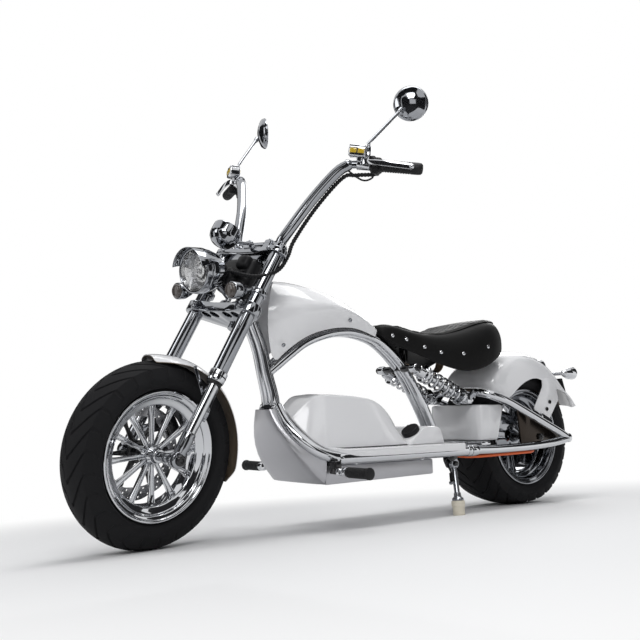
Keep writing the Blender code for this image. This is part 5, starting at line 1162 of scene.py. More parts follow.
class Lamps:
    """Headlight, speedometer and front signals."""

    BODY = Body.FORK
    AXIS = xyz(0.985, 0, -0.1).normalized()
    FACE = xyz(1.272, 0, 0.716)
    R = 0.06

    def build(self, shop: Shop) -> None:
        """Make the lamps and the dial."""
        self._headlight(shop)
        self._dial(shop)
        self._wires(shop)
        for label, side in SIDES.items():
            self._signal(shop, label, side)

    @staticmethod
    def _wires(shop: Shop) -> None:
        """The black boot and the loops of wire between the headlight and the neck."""
        root = xyz(1.162, 0, 0.712)
        parts = [
            lathe("boot", [(0, 0), (0, 0.02), (0.012, 0.026), (0.034, 0.024), (0.044, 0.014),
                (0.044, 0)], 0.005, 4, root + xyz(0.012, 0, 0.006), xyz(-1, 0, -0.35), 36),
            block("loom", fork_point(0.548, 0.064), (0.046, 0.124, 0.104), frame_along(UP_FORK), 0.018,
                4),
            block("plug", xyz(1.128, 0.03, 0.752), (0.036, 0.044, 0.04), frame_along(UP_FORK), 0.01, 3),
            block("plug", xyz(1.15, 0.052, 0.668), (0.03, 0.03, 0.044), frame_along(UP_FORK), 0.009, 3),
        ]
        for k, (y, bulge, drop) in enumerate(((-0.03, 0.016, 0.03), (-0.014, 0.024, -0.006),
                (0.004, 0.02, 0.04), (0.018, 0.028, 0.004), (0.03, 0.014, 0.024))):
            low = fork_point(0.515 + 0.012 * k, FORK_OFFSET - 0.012, y * 1.1)
            middle = root.lerp(low, 0.5) + xyz(bulge, y * 0.9, drop - 0.012)
            parts.append(tube("wire", [root + xyz(0, y * 0.5, 0), middle, low], 0.0048, 14, 0.006))
        shop.add(parts, "headlight_wires", Look.PLASTIC, Slot.PLASTIC)

    def _headlight(self, shop: Shop) -> None:
        """The bullet shell with its visor, the reflector and the ringed lens."""
        r = self.R
        shell = lathe("shell", [(-0.1, 0), (-0.096, 0.012), (-0.085, r * 0.46), (-0.06, r * 0.79),
            (-0.03, r - 0.002), (-0.012, r + 0.001), (-0.006, r + 0.001), (-0.0045, r - 0.001),
            (-0.003, r + 0.001), (0.01, r + 0.0005), (0.0138, r - 0.001), (0.0138, r - 0.0045),
            (0.006, r - 0.006), (-0.004, r - 0.0065), (-0.006, 0)], 0.003, 3, self.FACE, self.AXIS, 80)
        visor = lathe("visor", [(-0.01, r - 0.001), (-0.01, r + 0.0025), (0.034, r + 0.003),
            (0.034, r + 0.0012)], 0.0008, 2, self.FACE, self.AXIS, 96, True)
        room = block("room", self.FACE + xyz(0.02, 0, 0.064), (0.2, 0.2, 0.1), rotate(16, "Y"), 0)
        visor = without(visor, room, "INTERSECT")
        saddle = fork_point(LOWER_CLAMP_UP + 0.0153, FORK_OFFSET)
        low = self.FACE - 0.072 * self.AXIS - xyz(0, 0, 0.028)
        arm = tube("arm", [saddle, saddle + 0.024 * UP_FORK, low], 0.009, 24, None)
        foot = lathe("foot", [(0, 0), (0, 0.017), (0.008, 0.016), (0.012, 0.009), (0.012, 0)], 0.002, 3,
            saddle, UP_FORK, 40)
        shop.add([shell, visor, arm, foot], "headlight_shell", Look.CHROME_DARK_REFLECTION, Slot.CHROME,
            ("headlight",), 30)
        bowl = [(-0.005, 0), (-0.005, 0.014)]
        bowl += [(-0.0045 + 0.0075 * (k / 10) ** 2, 0.016 + 0.037 * k / 10) for k in range(11)]
        reflector = spun("reflector", bowl, self.FACE, self.AXIS, 64)
        fin = block("fin", xyz(0.035, 0, 0), (0.034, 0.0012, 0.0022), None, 0.0004, 1)
        fins = ring_of("fins", fin, 12, Vector(), UP)
        placed(fins, move(self.FACE - 0.0018 * self.AXIS) @ frame_along(self.AXIS))
        bulb = lathe("bulb", [(-0.004, 0), (-0.004, 0.016), (0.0015, 0.0155), (0.0015, 0.0125),
            (0, 0.0115), (0.0015, 0)], 0.001, 2, self.FACE, self.AXIS, 40)
        # The reflector's dark metal is painted shade inside the lamp
        shop.add([reflector, fins, bulb], "headlight_reflector", Look.BOWL_PAINTED_SHADE, Slot.CHROME, (), 30)
        rings = [(0.0046, 0), (0.0046, r - 0.0066), (0.0105, r - 0.0066)]
        for k in range(12, 0, -1):
            share = k / 12
            crown = 0.011 + 0.0048 * (1.0 - share ** 2)
            rings += [(crown, 0.052 * share), (crown - 0.0007, 0.052 * share - 0.0008),
                (crown, 0.052 * share - 0.0018)]
        rings += [(0.016, 0)]
        shop.add(spun("lens", rings, self.FACE, self.AXIS, 72), "headlight_glass", Look.CLEAR,
            Slot.LENS, ("headlight_lens",), 50)

    @staticmethod
    def _dial(shop: Shop) -> None:
        """The speedometer's cup on its neck, with its face, marks and needle."""
        axis = xyz(-0.5, 0, 0.866)
        at = xyz(1.182, 0, 0.826)
        cup = lathe("cup", [(-0.038, 0), (-0.036, 0.012), (-0.03, 0.028), (-0.018, 0.038),
            (-0.008, 0.0405), (0.016, 0.041), (0.0215, 0.04), (0.0215, 0.0365), (0.015, 0.0355),
            (0.015, 0)], 0.003, 4, at, axis, 64)
        root = fork_point(UPPER_CLAMP_UP + 0.0143, FORK_OFFSET + 0.004)
        bend = root + 0.014 * UP_FORK + 0.008 * AHEAD_FORK
        neck = tube("neck", [root, bend, at - 0.02 * axis], 0.006, 20, None)
        pad = block("pad", root, (0.03, 0.04, 0.01), frame_along(UP_FORK, AHEAD_FORK), 0.002)
        shop.add([cup, neck, pad], "speedometer_cup", Look.CHROME_DARK_REFLECTION, Slot.CHROME, ("speedometer",),
            30)
        face = spun("face", [(0.015, 0), (0.0158, 0), (0.0158, 0.0352), (0.015, 0.0352)], at, axis, 48)
        shop.add(face, "speedometer_face", Look.DIAL, Slot.PLASTIC)
        turn = move(at + 0.0162 * axis) @ frame_along(axis)
        mark = block("mark", xyz(0.031, 0, 0), (0.005, 0.001, 0.0004), None, 0)
        placed(mark, rotate(45, "Z"))
        marks = ring_of("marks", mark, 24, Vector(), UP, 285)
        needle = block("needle", xyz(0.01, 0, 0.0004), (0.032, 0.0012, 0.0005), None, 0)
        shop.add(placed(merged("marks", [marks, needle]), turn), "speedometer_marks", Look.MARKS,
            Slot.PLASTIC)
        glass = spun("glass", [(0.018, 0), (0.018, 0.0362), (0.0192, 0.0362), (0.0205, 0.02),
            (0.0208, 0)], at, axis, 48)
        shop.add(glass, "speedometer_glass", Look.CLEAR, Slot.LENS)

    @staticmethod
    def _signal(shop: Shop, label: str, side: float) -> None:
        """One bullet signal on a ring round its leg, with its lens."""
        y = side * LEG_SPREAD
        at = fork_point(LOWER_CLAMP_UP + 0.054, side=y)
        centre = at + xyz(0.08, side * 0.004, 0.002)
        axis = xyz(1, 0, -0.08)
        node = f"front_signal_{label}"
        ring = lathe("ring", [(-0.007, 0.0198), (-0.007, 0.0258), (0.007, 0.0258), (0.007, 0.0198)],
            0.0015, 3, at, UP_FORK, 48, True)
        link = bar("link", at + 0.022 * AHEAD_FORK, centre, 0.005)
        shell = lathe("bullet", [(-0.036, 0), (-0.033, 0.006), (-0.026, 0.0125), (-0.004, 0.0222),
            (0.012, 0.0234), (0.02, 0.0234), (0.0215, 0.0215), (0.0195, 0.0205), (0.018, 0)], 0.003, 3,
            centre, axis, 48)
        shop.add([ring, link, shell], f"{node}_shell", Look.CHROME_DARK_REFLECTION, Slot.CHROME, (node,), 30)
        lens = lathe("lens", [(0.0184, 0), (0.0184, 0.02), (0.023, 0.02), (0.028, 0.015), (0.0295, 0)],
            0.003, 3, centre, axis, 40)
        shop.add(lens, f"{node}_lens", Look.SMOKE, Slot.LENS)


def grip_line(side: float) -> tuple[Vector, Vector, Vector]:
    """The two ends of a grip and the direction outwards along it."""
    inner, end = sided(BAR_INNER, side), sided(BAR_END, side)
    return (inner, end, (end - inner).normalized())


class Controls:
    """The high handlebar with its grips, brakes, mirrors and wires."""

    BODY = Body.FORK

    def build(self, shop: Shop) -> None:
        """Make the handlebar and what is clamped to it."""
        foot = [fork_point(UPPER_CLAMP_UP + 0.042, 0.04, y) for y in (-0.066, 0.066)]
        right = [sided(p, -1) for p in reversed(BAR_LEFT)]
        bars = [tube("bar", [*right, *foot, *(sided(p, 1) for p in BAR_LEFT)], 0.0155, 28, 0.01)]
        for side in BOTH:
            last, before = sided(BAR_LEFT[-1], side), sided(BAR_LEFT[-2], side)
            bars.append(tube("end", [(last + before) / 2, last, sided(BAR_INNER, side),
                sided(BAR_END, side)], 0.011, 24, 0.01))
            way = (sided(BAR_INNER, side) - last).normalized()
            bars.append(lathe("step", [(-0.01, 0), (-0.01, 0.015), (0, 0.0155), (0.01, 0.0112),
                (0.01, 0)], 0.002, 3, last, way, 28))
        shop.add(bars, "handlebar_chrome", Look.CHROME_DARK_REFLECTION, Slot.CHROME, ("handlebar",), 40)
        for label, side in SIDES.items():
            self._grip(shop, label, side)
            self._brake(shop, label, side)
            self._mirror(shop, label, side)
        hose = tube("hose", list(HOSE_PATH), 0.006, 14, 0.0022, [1, 1, 0.82, 0.82])
        shop.add(hose, "control_hose_sleeve", Look.PLASTIC, Slot.PLASTIC, ("control_hose",), 60)

    @staticmethod
    def _grip(shop: Shop, label: str, side: float) -> None:
        """A ribbed grip with a rounded end, and its switch housing."""
        inner, end, way = grip_line(side)
        length = (end - inner).length
        profile = [(0.024, 0.0112), (0.024, 0.0168), (0.028, 0.017)]
        for k in range(GRIP_RIBS):
            a = 0.034 + k * GRIP_PITCH
            profile += [(a, 0.0168), (a + 0.001, 0.0156), (a + 0.003, 0.0156), (a + 0.004, 0.0168)]
        profile += [(length - 0.01, 0.0168), (length, 0.016), (length + 0.0045, 0.012),
            (length + 0.006, 0)]
        node = f"grip_{label}"
        shop.add(spun("grip", profile, inner, way, 40), f"{node}_rubber", Look.RUBBER, Slot.RUBBER,
            (node,), 50)
        turn = frame_along(way)
        middle = inner + 0.012 * way
        parts = [
            block("switch", middle, (0.042, 0.038, 0.034), turn, 0.009, 4),
            block("lump", middle + xyz(0.004, 0, -0.014), (0.026, 0.04, 0.024), turn, 0.008, 4),
            block("lump", middle - 0.01 * way + xyz(0, 0, 0.014), (0.022, 0.03, 0.018), turn, 0.006, 3),
        ]
        for lift, wide in ((0.01, 0.01), (-0.002, 0.008), (-0.012, 0.006)):
            at = middle + xyz(-0.0185, 0, 0) + xyz(0, 0, lift)
            parts.append(block("button", at, (wide * 0.8, 0.006, wide), turn, 0.0015))
        shop.add(parts, f"switch_{label}", Look.PLASTIC, Slot.PLASTIC)

    @staticmethod
    def _brake(shop: Shop, label: str, side: float) -> None:
        """Brake cylinder with its window, its clamp and the lever."""
        inner, end, way = grip_line(side)
        perch = inner - 0.026 * way
        turn = frame_along(way)
        pot_at = perch + xyz(0.024, 0, 0.029)
        clamp = lathe("clamp", [(-0.016, 0.011), (-0.016, 0.0165), (0.022, 0.0165), (0.022, 0.011)],
            0.002, 3, perch, way, 40, True)
        neck = block("neck", perch + xyz(0.014, 0, 0.014), (0.022, 0.022, 0.018), turn, 0.003)
        pot = block("pot", pot_at, (0.028, 0.034, 0.05), turn, 0.005, 4)
        lid = block("lid", pot_at + xyz(0, 0, 0.016), (0.006, 0.03, 0.046), turn, 0.002)
        stalk = bar("stalk", perch + 0.014 * way, perch + 0.014 * way + xyz(0, 0, 0.036), 0.0068,
            bevel=0.001)
        bolts = [screw_head("bolt", pot_at + xyz(0, 0, 0.0182) + s * 0.016 * way + xyz(s * 0.006, 0, 0),
            UP, 0.003, 0.0016) for s in BOTH]
        lead = perch + 0.02 * way + xyz(0.03, 0, 0.004)
        middle = inner + 0.05 * way + xyz(0.04, 0, 0.003)
        tip = end + xyz(0.04, 0, -0.001)
        blade = smooth_path([perch + xyz(0.01, 0, 0), lead, middle, tip], 0.006)
        lever = skin("lever", [[p + rise * UP for rise in (-0.0082, 0, 0.0082)] for p in blade], 0.0052,
            0, 0)
        lever = bevelled(lever, 0.0018, 2, 60)
        ball = spun("ball", [(0.007 * -math.cos(a), 0.007 * math.sin(a))
            for a in [math.pi * k / 12 for k in range(13)]], tip - 0.002 * way, way, 20)
        shop.add([clamp, neck, pot, lid, stalk, *bolts, lever, ball], f"control_{label}_chrome",
            Look.CHROME, Slot.CHROME, (f"control_{label}",), 40)
        across = turn.to_3x3() @ xyz(0, 1, 0)
        windows = [block("window", pot_at + face * 0.0164 * across + shift * way + xyz(0, 0, 0.0015),
            (0.014, 0.004, 0.0195), turn, 0.0018) for face in (-1, 1) for shift in (-0.0112, 0.0112)]
        shop.add(windows, f"level_window_{label}", Look.YELLOW, Slot.LENS)
        switch_wire = tube("wire", [inner + 0.004 * way + xyz(0, 0, -0.014),
            inner + xyz(-0.004, 0, -0.034), inner - 0.026 * way + xyz(0, 0, -0.044),
            inner - 0.072 * way + xyz(0, 0, -0.018)], 0.0026, 12, 0.005)
        shop.add(switch_wire, f"switch_wire_{label}", Look.PLASTIC, Slot.PLASTIC)

    @staticmethod
    def _mirror(shop: Shop, label: str, side: float) -> None:
        """A round mirror on its cranked stem, with its flat glass."""
        inner, _, way = grip_line(side)
        root = inner - 0.012 * way + xyz(0, 0, 0.0363)
        at = sided(MIRROR_AT, side)
        face = sided(MIRROR_FACE, side).normalized()
        join = at - face * 0.009 + xyz(0.03, -side * 0.012, -0.028)
        stem = tube("stem", [root, root + xyz(0, 0, 0.026), root + xyz(-0.006, side * 0.003, 0.034),
            join], 0.0048, 20, 0.006)
        foot = nut("nut", root + xyz(0, 0, 0.001), UP, 0.0088, 0.014)
        dish = lathe("dish", [(-0.021, 0), (-0.02, 0.012), (-0.016, 0.028), (-0.007, 0.047),
            (0.003, 0.0515), (0.0065, 0.0502), (0.0065, 0.0478), (0.0035, 0.047), (0.0035, 0)], 0.004,
            4, at, face, 64)
        socket = spun("socket", [(-0.008, 0), (-0.006, 0.0065), (0.004, 0.008), (0.012, 0.006),
            (0.014, 0)], join, root - join, 24)
        node = f"mirror_{label}"
        shop.add([stem, foot, dish, socket], f"{node}_back", Look.CHROME_DARK_REFLECTION, Slot.CHROME, (node,), 35)
        glass = spun("glass", [(0.0036, 0), (0.0036, 0.0466), (0.0052, 0.0466), (0.0052, 0)], at, face,
            48)
        shop.add(glass, f"{node}_glass", Look.CHROME, Slot.CHROME)


# Frame, covers and saddle
DOWN_TUBE = ((1.08, 0.0158, 0.6), (1.047, 0.0158, 0.52), (1.03, 0.0165, 0.449), (1.013, 0.02, 0.385),
    (1.008, 0.024, 0.345))
RAIL_FRONT = ((1.008, 0.03, 0.352), (1.004, 0.058, 0.312), (0.993, 0.086, 0.28), (0.969, 0.113, 0.249),
    (0.936, 0.133, 0.223), (0.885, 0.145, 0.208), (0.83, 0.148, 0.205), (0.352, 0.148, 0.205))
SPINE = ((1.026, 0.45), (0.954, 0.502), (0.899, 0.538), (0.841, 0.561), (0.782, 0.575), (0.721, 0.579),
    (0.66, 0.571), (0.6, 0.55), (0.532, 0.5), (0.481, 0.444), (0.442, 0.386), (0.403, 0.32),
    (0.375, 0.26), (0.366, 0.212))
TWIN_Y = 0.0158
SHOCK_Y = 0.075
SHOCK_TOP = xyz(0.512, 0, 0.468)
SHOCK_FOOT = xyz(0.28, 0, 0.366)
STAND_PIVOT = xyz(0.4, 0.12, 0.166)
PEG = xyz(0.905, 0.185, 0.172)
PEG_RIBS, PEG_PITCH = 9, 0.0083
STAND_SOLE = (0.424, 0.16)
STAND_CLEAR = 0.0003


class Frame:
    """The chrome tube frame with its neck, cross bars and brackets."""

    BODY = Body.CHASSIS

    def build(self, shop: Shop) -> None:
        """Make the frame's pieces."""
        neck_low = STEER_FOOT + (LOWER_CLAMP_UP + 0.0162) * UP_FORK
        length = UPPER_CLAMP_UP - LOWER_CLAMP_UP - 0.0264
        parts = [lathe("neck", [(0, 0.017), (0, 0.031), (0.01, 0.0315), (0.012, 0.029),
            (length - 0.012, 0.029), (length - 0.01, 0.0315), (length, 0.031), (length, 0.017)], 0.0015,
            3, neck_low, UP_FORK, 56, True)]
        for side in BOTH:
            parts += [
                tube("down", [sided(p, side) for p in DOWN_TUBE], 0.014, 24, 0.01),
                tube("rail", [sided(p, side) for p in RAIL_FRONT], 0.0165, 28, 0.012),
                tube("spine", [(x, side * TWIN_Y, z) for x, z in SPINE], 0.0145, 28, 0.01),
                lathe("collar", [(0, 0), (0, 0.0185), (0.016, 0.0185), (0.016, 0)], 0.002, 3,
                    xyz(0.3522, side * 0.148, 0.205), AHEAD, 32),
            ]
        for x in (0.56, 0.82):
            parts.append(bar("cross", (x, -0.148, 0.1985), (x, 0.148, 0.1985), 0.012))
        parts += [
            bar("cross", (0.366, -0.148, 0.206), (0.366, 0.148, 0.206), 0.014),
            bar("toe", (1.009, -0.04, 0.35), (1.009, 0.04, 0.35), 0.015, bevel=0.004),
        ]
        shop.add(parts, "main_frame_tubes", Look.CHROME, Slot.CHROME, ("main_frame",), 40)
        self._brackets(shop)

    @staticmethod
    def _brackets(shop: Shop) -> None:
        """The dark brackets of the shocks, the pegs and the stand."""
        x, z = SHOCK_TOP.x, SHOCK_TOP.z
        parts = [bar("bolt", (x, -SHOCK_Y - 0.02, z), (x, SHOCK_Y + 0.02, z), 0.006)]
        for side in BOTH:
            for inner, outer in ((0.02, 0.0607), (0.0893, 0.097)):
                parts.append(bar("boss", (x, side * inner, z), (x, side * outer, z), 0.011,
                    bevel=0.0015))
            parts += [
                screw_head("head", xyz(x, side * 0.0968, z), side * LEFT, 0.0085, 0.004),
                block("peg_arm", xyz(PEG.x, side * 0.159, 0.183), (0.022, 0.03, 0.036), None, 0.004, 3),
            ]
        px, py, pz = STAND_PIVOT
        wing = fillet([(px - 0.03, 0.206), (px - 0.03, 0.176), (px - 0.016, 0.151), (px + 0.016, 0.151),
            (px + 0.03, 0.176), (px + 0.03, 0.206)], 0.007)
        parts += [
            side_plate("stand_plate", wing, py - 0.011, 0.008, 0.0015),
            block("stand_arm", xyz(px, py + 0.007, 0.196), (0.05, 0.044, 0.014), None, 0.003),
            bar("pin", (px, py - 0.012, pz), (px, py + 0.0105, pz), 0.006),
            nut("nut", xyz(px, py + 0.0105, pz), LEFT, 0.0085, 0.0062),
        ]
        cover = fillet([(px - 0.004, 0.207), (px - 0.004, 0.186), (px + 0.02, 0.172),
            (px + 0.036, 0.18), (px + 0.036, 0.207)], 0.006)
        parts.append(side_plate("stand_cover", cover, py + 0.016, 0.006, 0.0015))
        for dx, z in ((0.006, 0.196), (0.024, 0.186)):
            parts.append(screw_head("bolt", xyz(px + dx, py + 0.0188, z), LEFT, 0.006, 0.0036))
        for dx in (-0.019, 0.019):
            parts.append(screw_head("bolt", xyz(px + dx, py - 0.0072, 0.192), LEFT, 0.0055, 0.0034))
        shop.add(parts, "frame_brackets", Look.GLOSS_BLACK, Slot.STEEL)


class Covers:
    """Guard, pan, deck, centre box, tank and the rear deck block."""

    BODY = Body.CHASSIS
    GUARD = (((1.037, 0.036, 0.345), (1.01, 0.04, 0.345)), ((1.031, 0.058, 0.3), (1.002, 0.065, 0.3)),
        ((1.008, 0.092, 0.244), (0.969, 0.113, 0.249)), ((0.972, 0.114, 0.19), (0.936, 0.133, 0.223)),
        ((0.9183, 0.13, 0.137), (0.9183, 0.139, 0.214)))
    # Each row: x, z, half width and depth of the lip
    DECK = ((0.39, 0.231, 0.167, 0.024), (0.6, 0.231, 0.168, 0.024), (0.82, 0.231, 0.168, 0.024),
        (0.86, 0.232, 0.16, 0.019), (0.895, 0.236, 0.145, 0.01), (0.918, 0.242, 0.13, 0.0075),
        (0.945, 0.262, 0.112, 0.007), (0.964, 0.29, 0.088, 0.007), (0.976, 0.318, 0.062, 0.007),
        (0.983, 0.338, 0.046, 0.007))
    # Each row: x, top, half width at the foot and at the shoulder
    BOX = ((0.572, 0.236, 0.1, 0.07), (0.584, 0.26, 0.106, 0.076), (0.61, 0.304, 0.112, 0.084),
        (0.648, 0.348, 0.115, 0.088), (0.696, 0.376, 0.116, 0.09), (0.77, 0.387, 0.116, 0.088),
        (0.876, 0.39, 0.113, 0.076), (0.902, 0.386, 0.108, 0.064), (0.93, 0.364, 0.098, 0.056),
        (0.955, 0.34, 0.084, 0.048), (0.972, 0.318, 0.066, 0.042), (0.982, 0.3, 0.052, 0.036))
    BLOCK_SIDE = [(0.585, 0.2303), (0.575, 0.248), (0.52, 0.286), (0.455, 0.285), (0.436, 0.2303)]
    CAP_AT = xyz(0.547, 0.09, 0.2674)
    TANK = (((0.996, 0.716), (1.03, 0.036, 0.678), (1.055, 0.056, 0.6), (1.042, 0.044, 0.53),
        (1.022, 0.036, 0.468)), ((0.949, 0.716), (0.975, 0.058, 0.688), (1.005, 0.084, 0.62),
        (1, 0.072, 0.56), (0.985, 0.047, 0.506)), ((0.872, 0.703), (0.9, 0.068, 0.68),
        (0.93, 0.1, 0.632), (0.932, 0.086, 0.585), (0.928, 0.056, 0.547)),
        ((0.803, 0.687), (0.83, 0.068, 0.668), (0.858, 0.101, 0.638), (0.866, 0.086, 0.602),
        (0.868, 0.06, 0.57)), ((0.743, 0.664), (0.765, 0.06, 0.65), (0.786, 0.09, 0.634),
        (0.796, 0.076, 0.606), (0.8, 0.06, 0.582)), ((0.683, 0.632), (0.703, 0.05, 0.626),
        (0.722, 0.072, 0.618), (0.735, 0.064, 0.6), (0.74, 0.055, 0.583)),
        ((0.64, 0.604), (0.652, 0.038, 0.602), (0.664, 0.05, 0.598), (0.676, 0.047, 0.586),
        (0.684, 0.045, 0.574)), ((0.626, 0.594), (0.628, 0.03, 0.591), (0.632, 0.037, 0.583),
        (0.636, 0.037, 0.572), (0.64, 0.037, 0.563)))

    def build(self, shop: Shop) -> None:
        """Make the covers."""
        self._underbody(shop)
        self._floor(shop)
        self._tank(shop)

    def _underbody(self, shop: Shop) -> None:
        """The folded nose guard and the belly pan with its ribs."""
        rows = []
        for crease, back in self.GUARD:
            c, b = Vector(crease), Vector(back)
            row = [b, b.lerp(c, 0.5), b.lerp(c, 0.94), c.lerp(xyz(c.x + 0.004, 0, c.z), 0.06)]
            row += [xyz(c.x + 0.003, c.y * 0.5, c.z), xyz(c.x + 0.004, 0, c.z)]
            rows.append([*row, *(sided(p, -1) for p in reversed(row[:-1]))])
        guard = skin("guard", rows, 0.0025, 1, 1)
        shop.add(guard, "nose_guard_sheet", Look.SATIN, Slot.ALUMINIUM, ("nose_guard",), 30)
        side = fillet([(0.5, 0.141), (0.9177, 0.1345), (0.9177, 0.1862), (0.5, 0.1862)], 0.006, 3, True)
        pan = side_plate("pan", side, 0, 0.261, 0.003)
        ribs = [block("rib", xyz(0.705, y, 0.1375), (0.36, 0.01, 0.005), rotate(0.9, "Y"), 0.0015)
            for y in (-0.09, -0.045, 0, 0.045, 0.09)]
        shop.add([pan, *ribs], "belly_pan_sheet", Look.SATIN, Slot.ALUMINIUM, ("belly_pan",), 30)

    def _floor(self, shop: Shop) -> None:
        """Deck, centre box, rear block and the slanted round cap."""
        rows = []
        for x, z, half, lip in self.DECK:
            rows.append([xyz(x, y * half, z + dz) for y, dz in ((1, -lip), (1, -0.0014), (0.99, 0),
                (0.5, 0), (0, 0), (-0.5, 0), (-0.99, 0), (-1, -0.0014), (-1, -lip), (-0.984, -lip),
                (-0.984, -0.0058), (-0.5, -0.0058), (0, -0.0058), (0.5, -0.0058), (0.984, -0.0058),
                (0.984, -lip))])
        deck = capped(skin("deck", rows, levels=2, closed=True))
        shop.add(deck, "deck_tray_skin", Look.WHITE, Slot.WHITE_COVER, ("deck_tray",), 50)
        rows = []
        for x, top, foot, shoulder in self.BOX:
            rise = min(1, (top - 0.2) / 0.1)
            low = 0.245 if top > 0.25 else top - 0.008
            half = [
                xyz(x, foot, 0.232),
                xyz(x, foot, low - 0.002),
                xyz(x, foot * 0.45 + shoulder * 0.55, (low + top) / 2 + 0.004 * rise),
                xyz(x, shoulder, top - 0.017 * rise),
                xyz(x, shoulder * 0.965, top - 0.006 * rise),
                xyz(x, shoulder * 0.86, top - 0.0025),
                xyz(x, shoulder * 0.35, top - 0.001),
                xyz(x, 0, top),
            ]
            rows.append([*half, *(sided(p, -1) for p in reversed(half[:-1]))])
        box = skin("box", rows, 0.003, -1, 2)
        shop.add(box, "centre_box_skin", Look.WHITE, Slot.WHITE_COVER, ("centre_box",), 60)
        seam = []
        for side in BOTH:
            line = [(x, side * (foot + 0.0004), 0.2318) for x, top, foot, _ in self.BOX[1:9]]
            seam.append(tube("seam", line, 0.0016, 8, 0.012))
        shop.add(seam, "centre_box_seal", Look.RUBBER, Slot.RUBBER)
        block_body = side_plate("block", fillet(self.BLOCK_SIDE, 0.02, 5), 0, 0.25, 0.006)
        lean = xyz(0.038, 0, 0.055).normalized()
        low = self.CAP_AT + xyz(0.001, 0, -0.001)
        recess = bar("recess", low, low + 0.05 * lean, 0.0325, sides=56)
        shop.add(without(block_body, recess), "rear_block_skin", Look.WHITE, Slot.WHITE_COVER,
            ("rear_deck_cover",), 30)
        cap = lathe("cap", [(0.0003, 0), (0.0003, 0.0285), (0.012, 0.029), (0.016, 0.027), (0.016, 0)],
            0.002, 3, low, lean, 64)
        rib = block("rib", xyz(0, 0, 0), (0.046, 0.0035, 0.004), None, 0.001)
        ribs = [copied(rib, move((0, y, 0)) @ Matrix.Diagonal((s, 1, 1, 1)))
            for y, s in ((-0.018, 0.72), (-0.009, 0.94), (0.009, 0.94), (0.018, 0.72))]
        grip = merged("ribs", [rib, *ribs])
        placed(grip, move(low + 0.0165 * lean) @ frame_along(lean))
        shop.add([cap, grip], "charge_cap_ribbed", Look.PLASTIC, Slot.PLASTIC, ("charge_cap",), 40)

    def _tank(self, shop: Shop) -> None:
        """The white tank skin with its screws, and a black tube along its lower edge as painted shadow
        in the gap under the shell.
        """
        rows = []
        for ridge, shoulder, belly, tuck, low in self.TANK:
            left = [
                xyz(ridge[0], 0, ridge[1]),
                xyz(ridge[0] * 0.6 + shoulder[0] * 0.4, shoulder[1] * 0.55,
                    ridge[1] * 0.75 + shoulder[2] * 0.25 + 0.004),
                Vector(shoulder),
                Vector(shoulder).lerp(Vector(belly), 0.5) + xyz(0.003, 0.006, 0),
                Vector(belly),
                Vector(tuck),
                Vector(low),
            ]
            rows.append(both_sides(left))
        tank = skin("tank", rows, 0.003, -1, 2)
        shop.add(tank, "tank_skin", Look.WHITE, Slot.WHITE_METAL, ("tank_shell",), 50)
        edge_shadow_tube, screws = [], []
        for side in BOTH:
            # A thin black tube along the tank's lower edge: painted shadow of the gap under the shell
            edge_shadow_tube.append(tube("edge_shadow_tube", [sided(row[-1], side) for row in self.TANK], 0.0024, 12, 0.012))
            for x, y, z in ((1.0115, 0.07, 0.5234), (0.7714, 0.076, 0.6064)):
                way = xyz(0, side * 0.93, -0.3).normalized()
                screws.append(screw_head("screw", xyz(x, side * y, z), way, 0.0062, 0.0034))
        shop.add(edge_shadow_tube, "tank_edge_painted_shadow", Look.GLOSS_BLACK, Slot.RUBBER)
        shop.add(screws, "tank_screws", Look.CHROME_DARK_REFLECTION, Slot.STEEL)


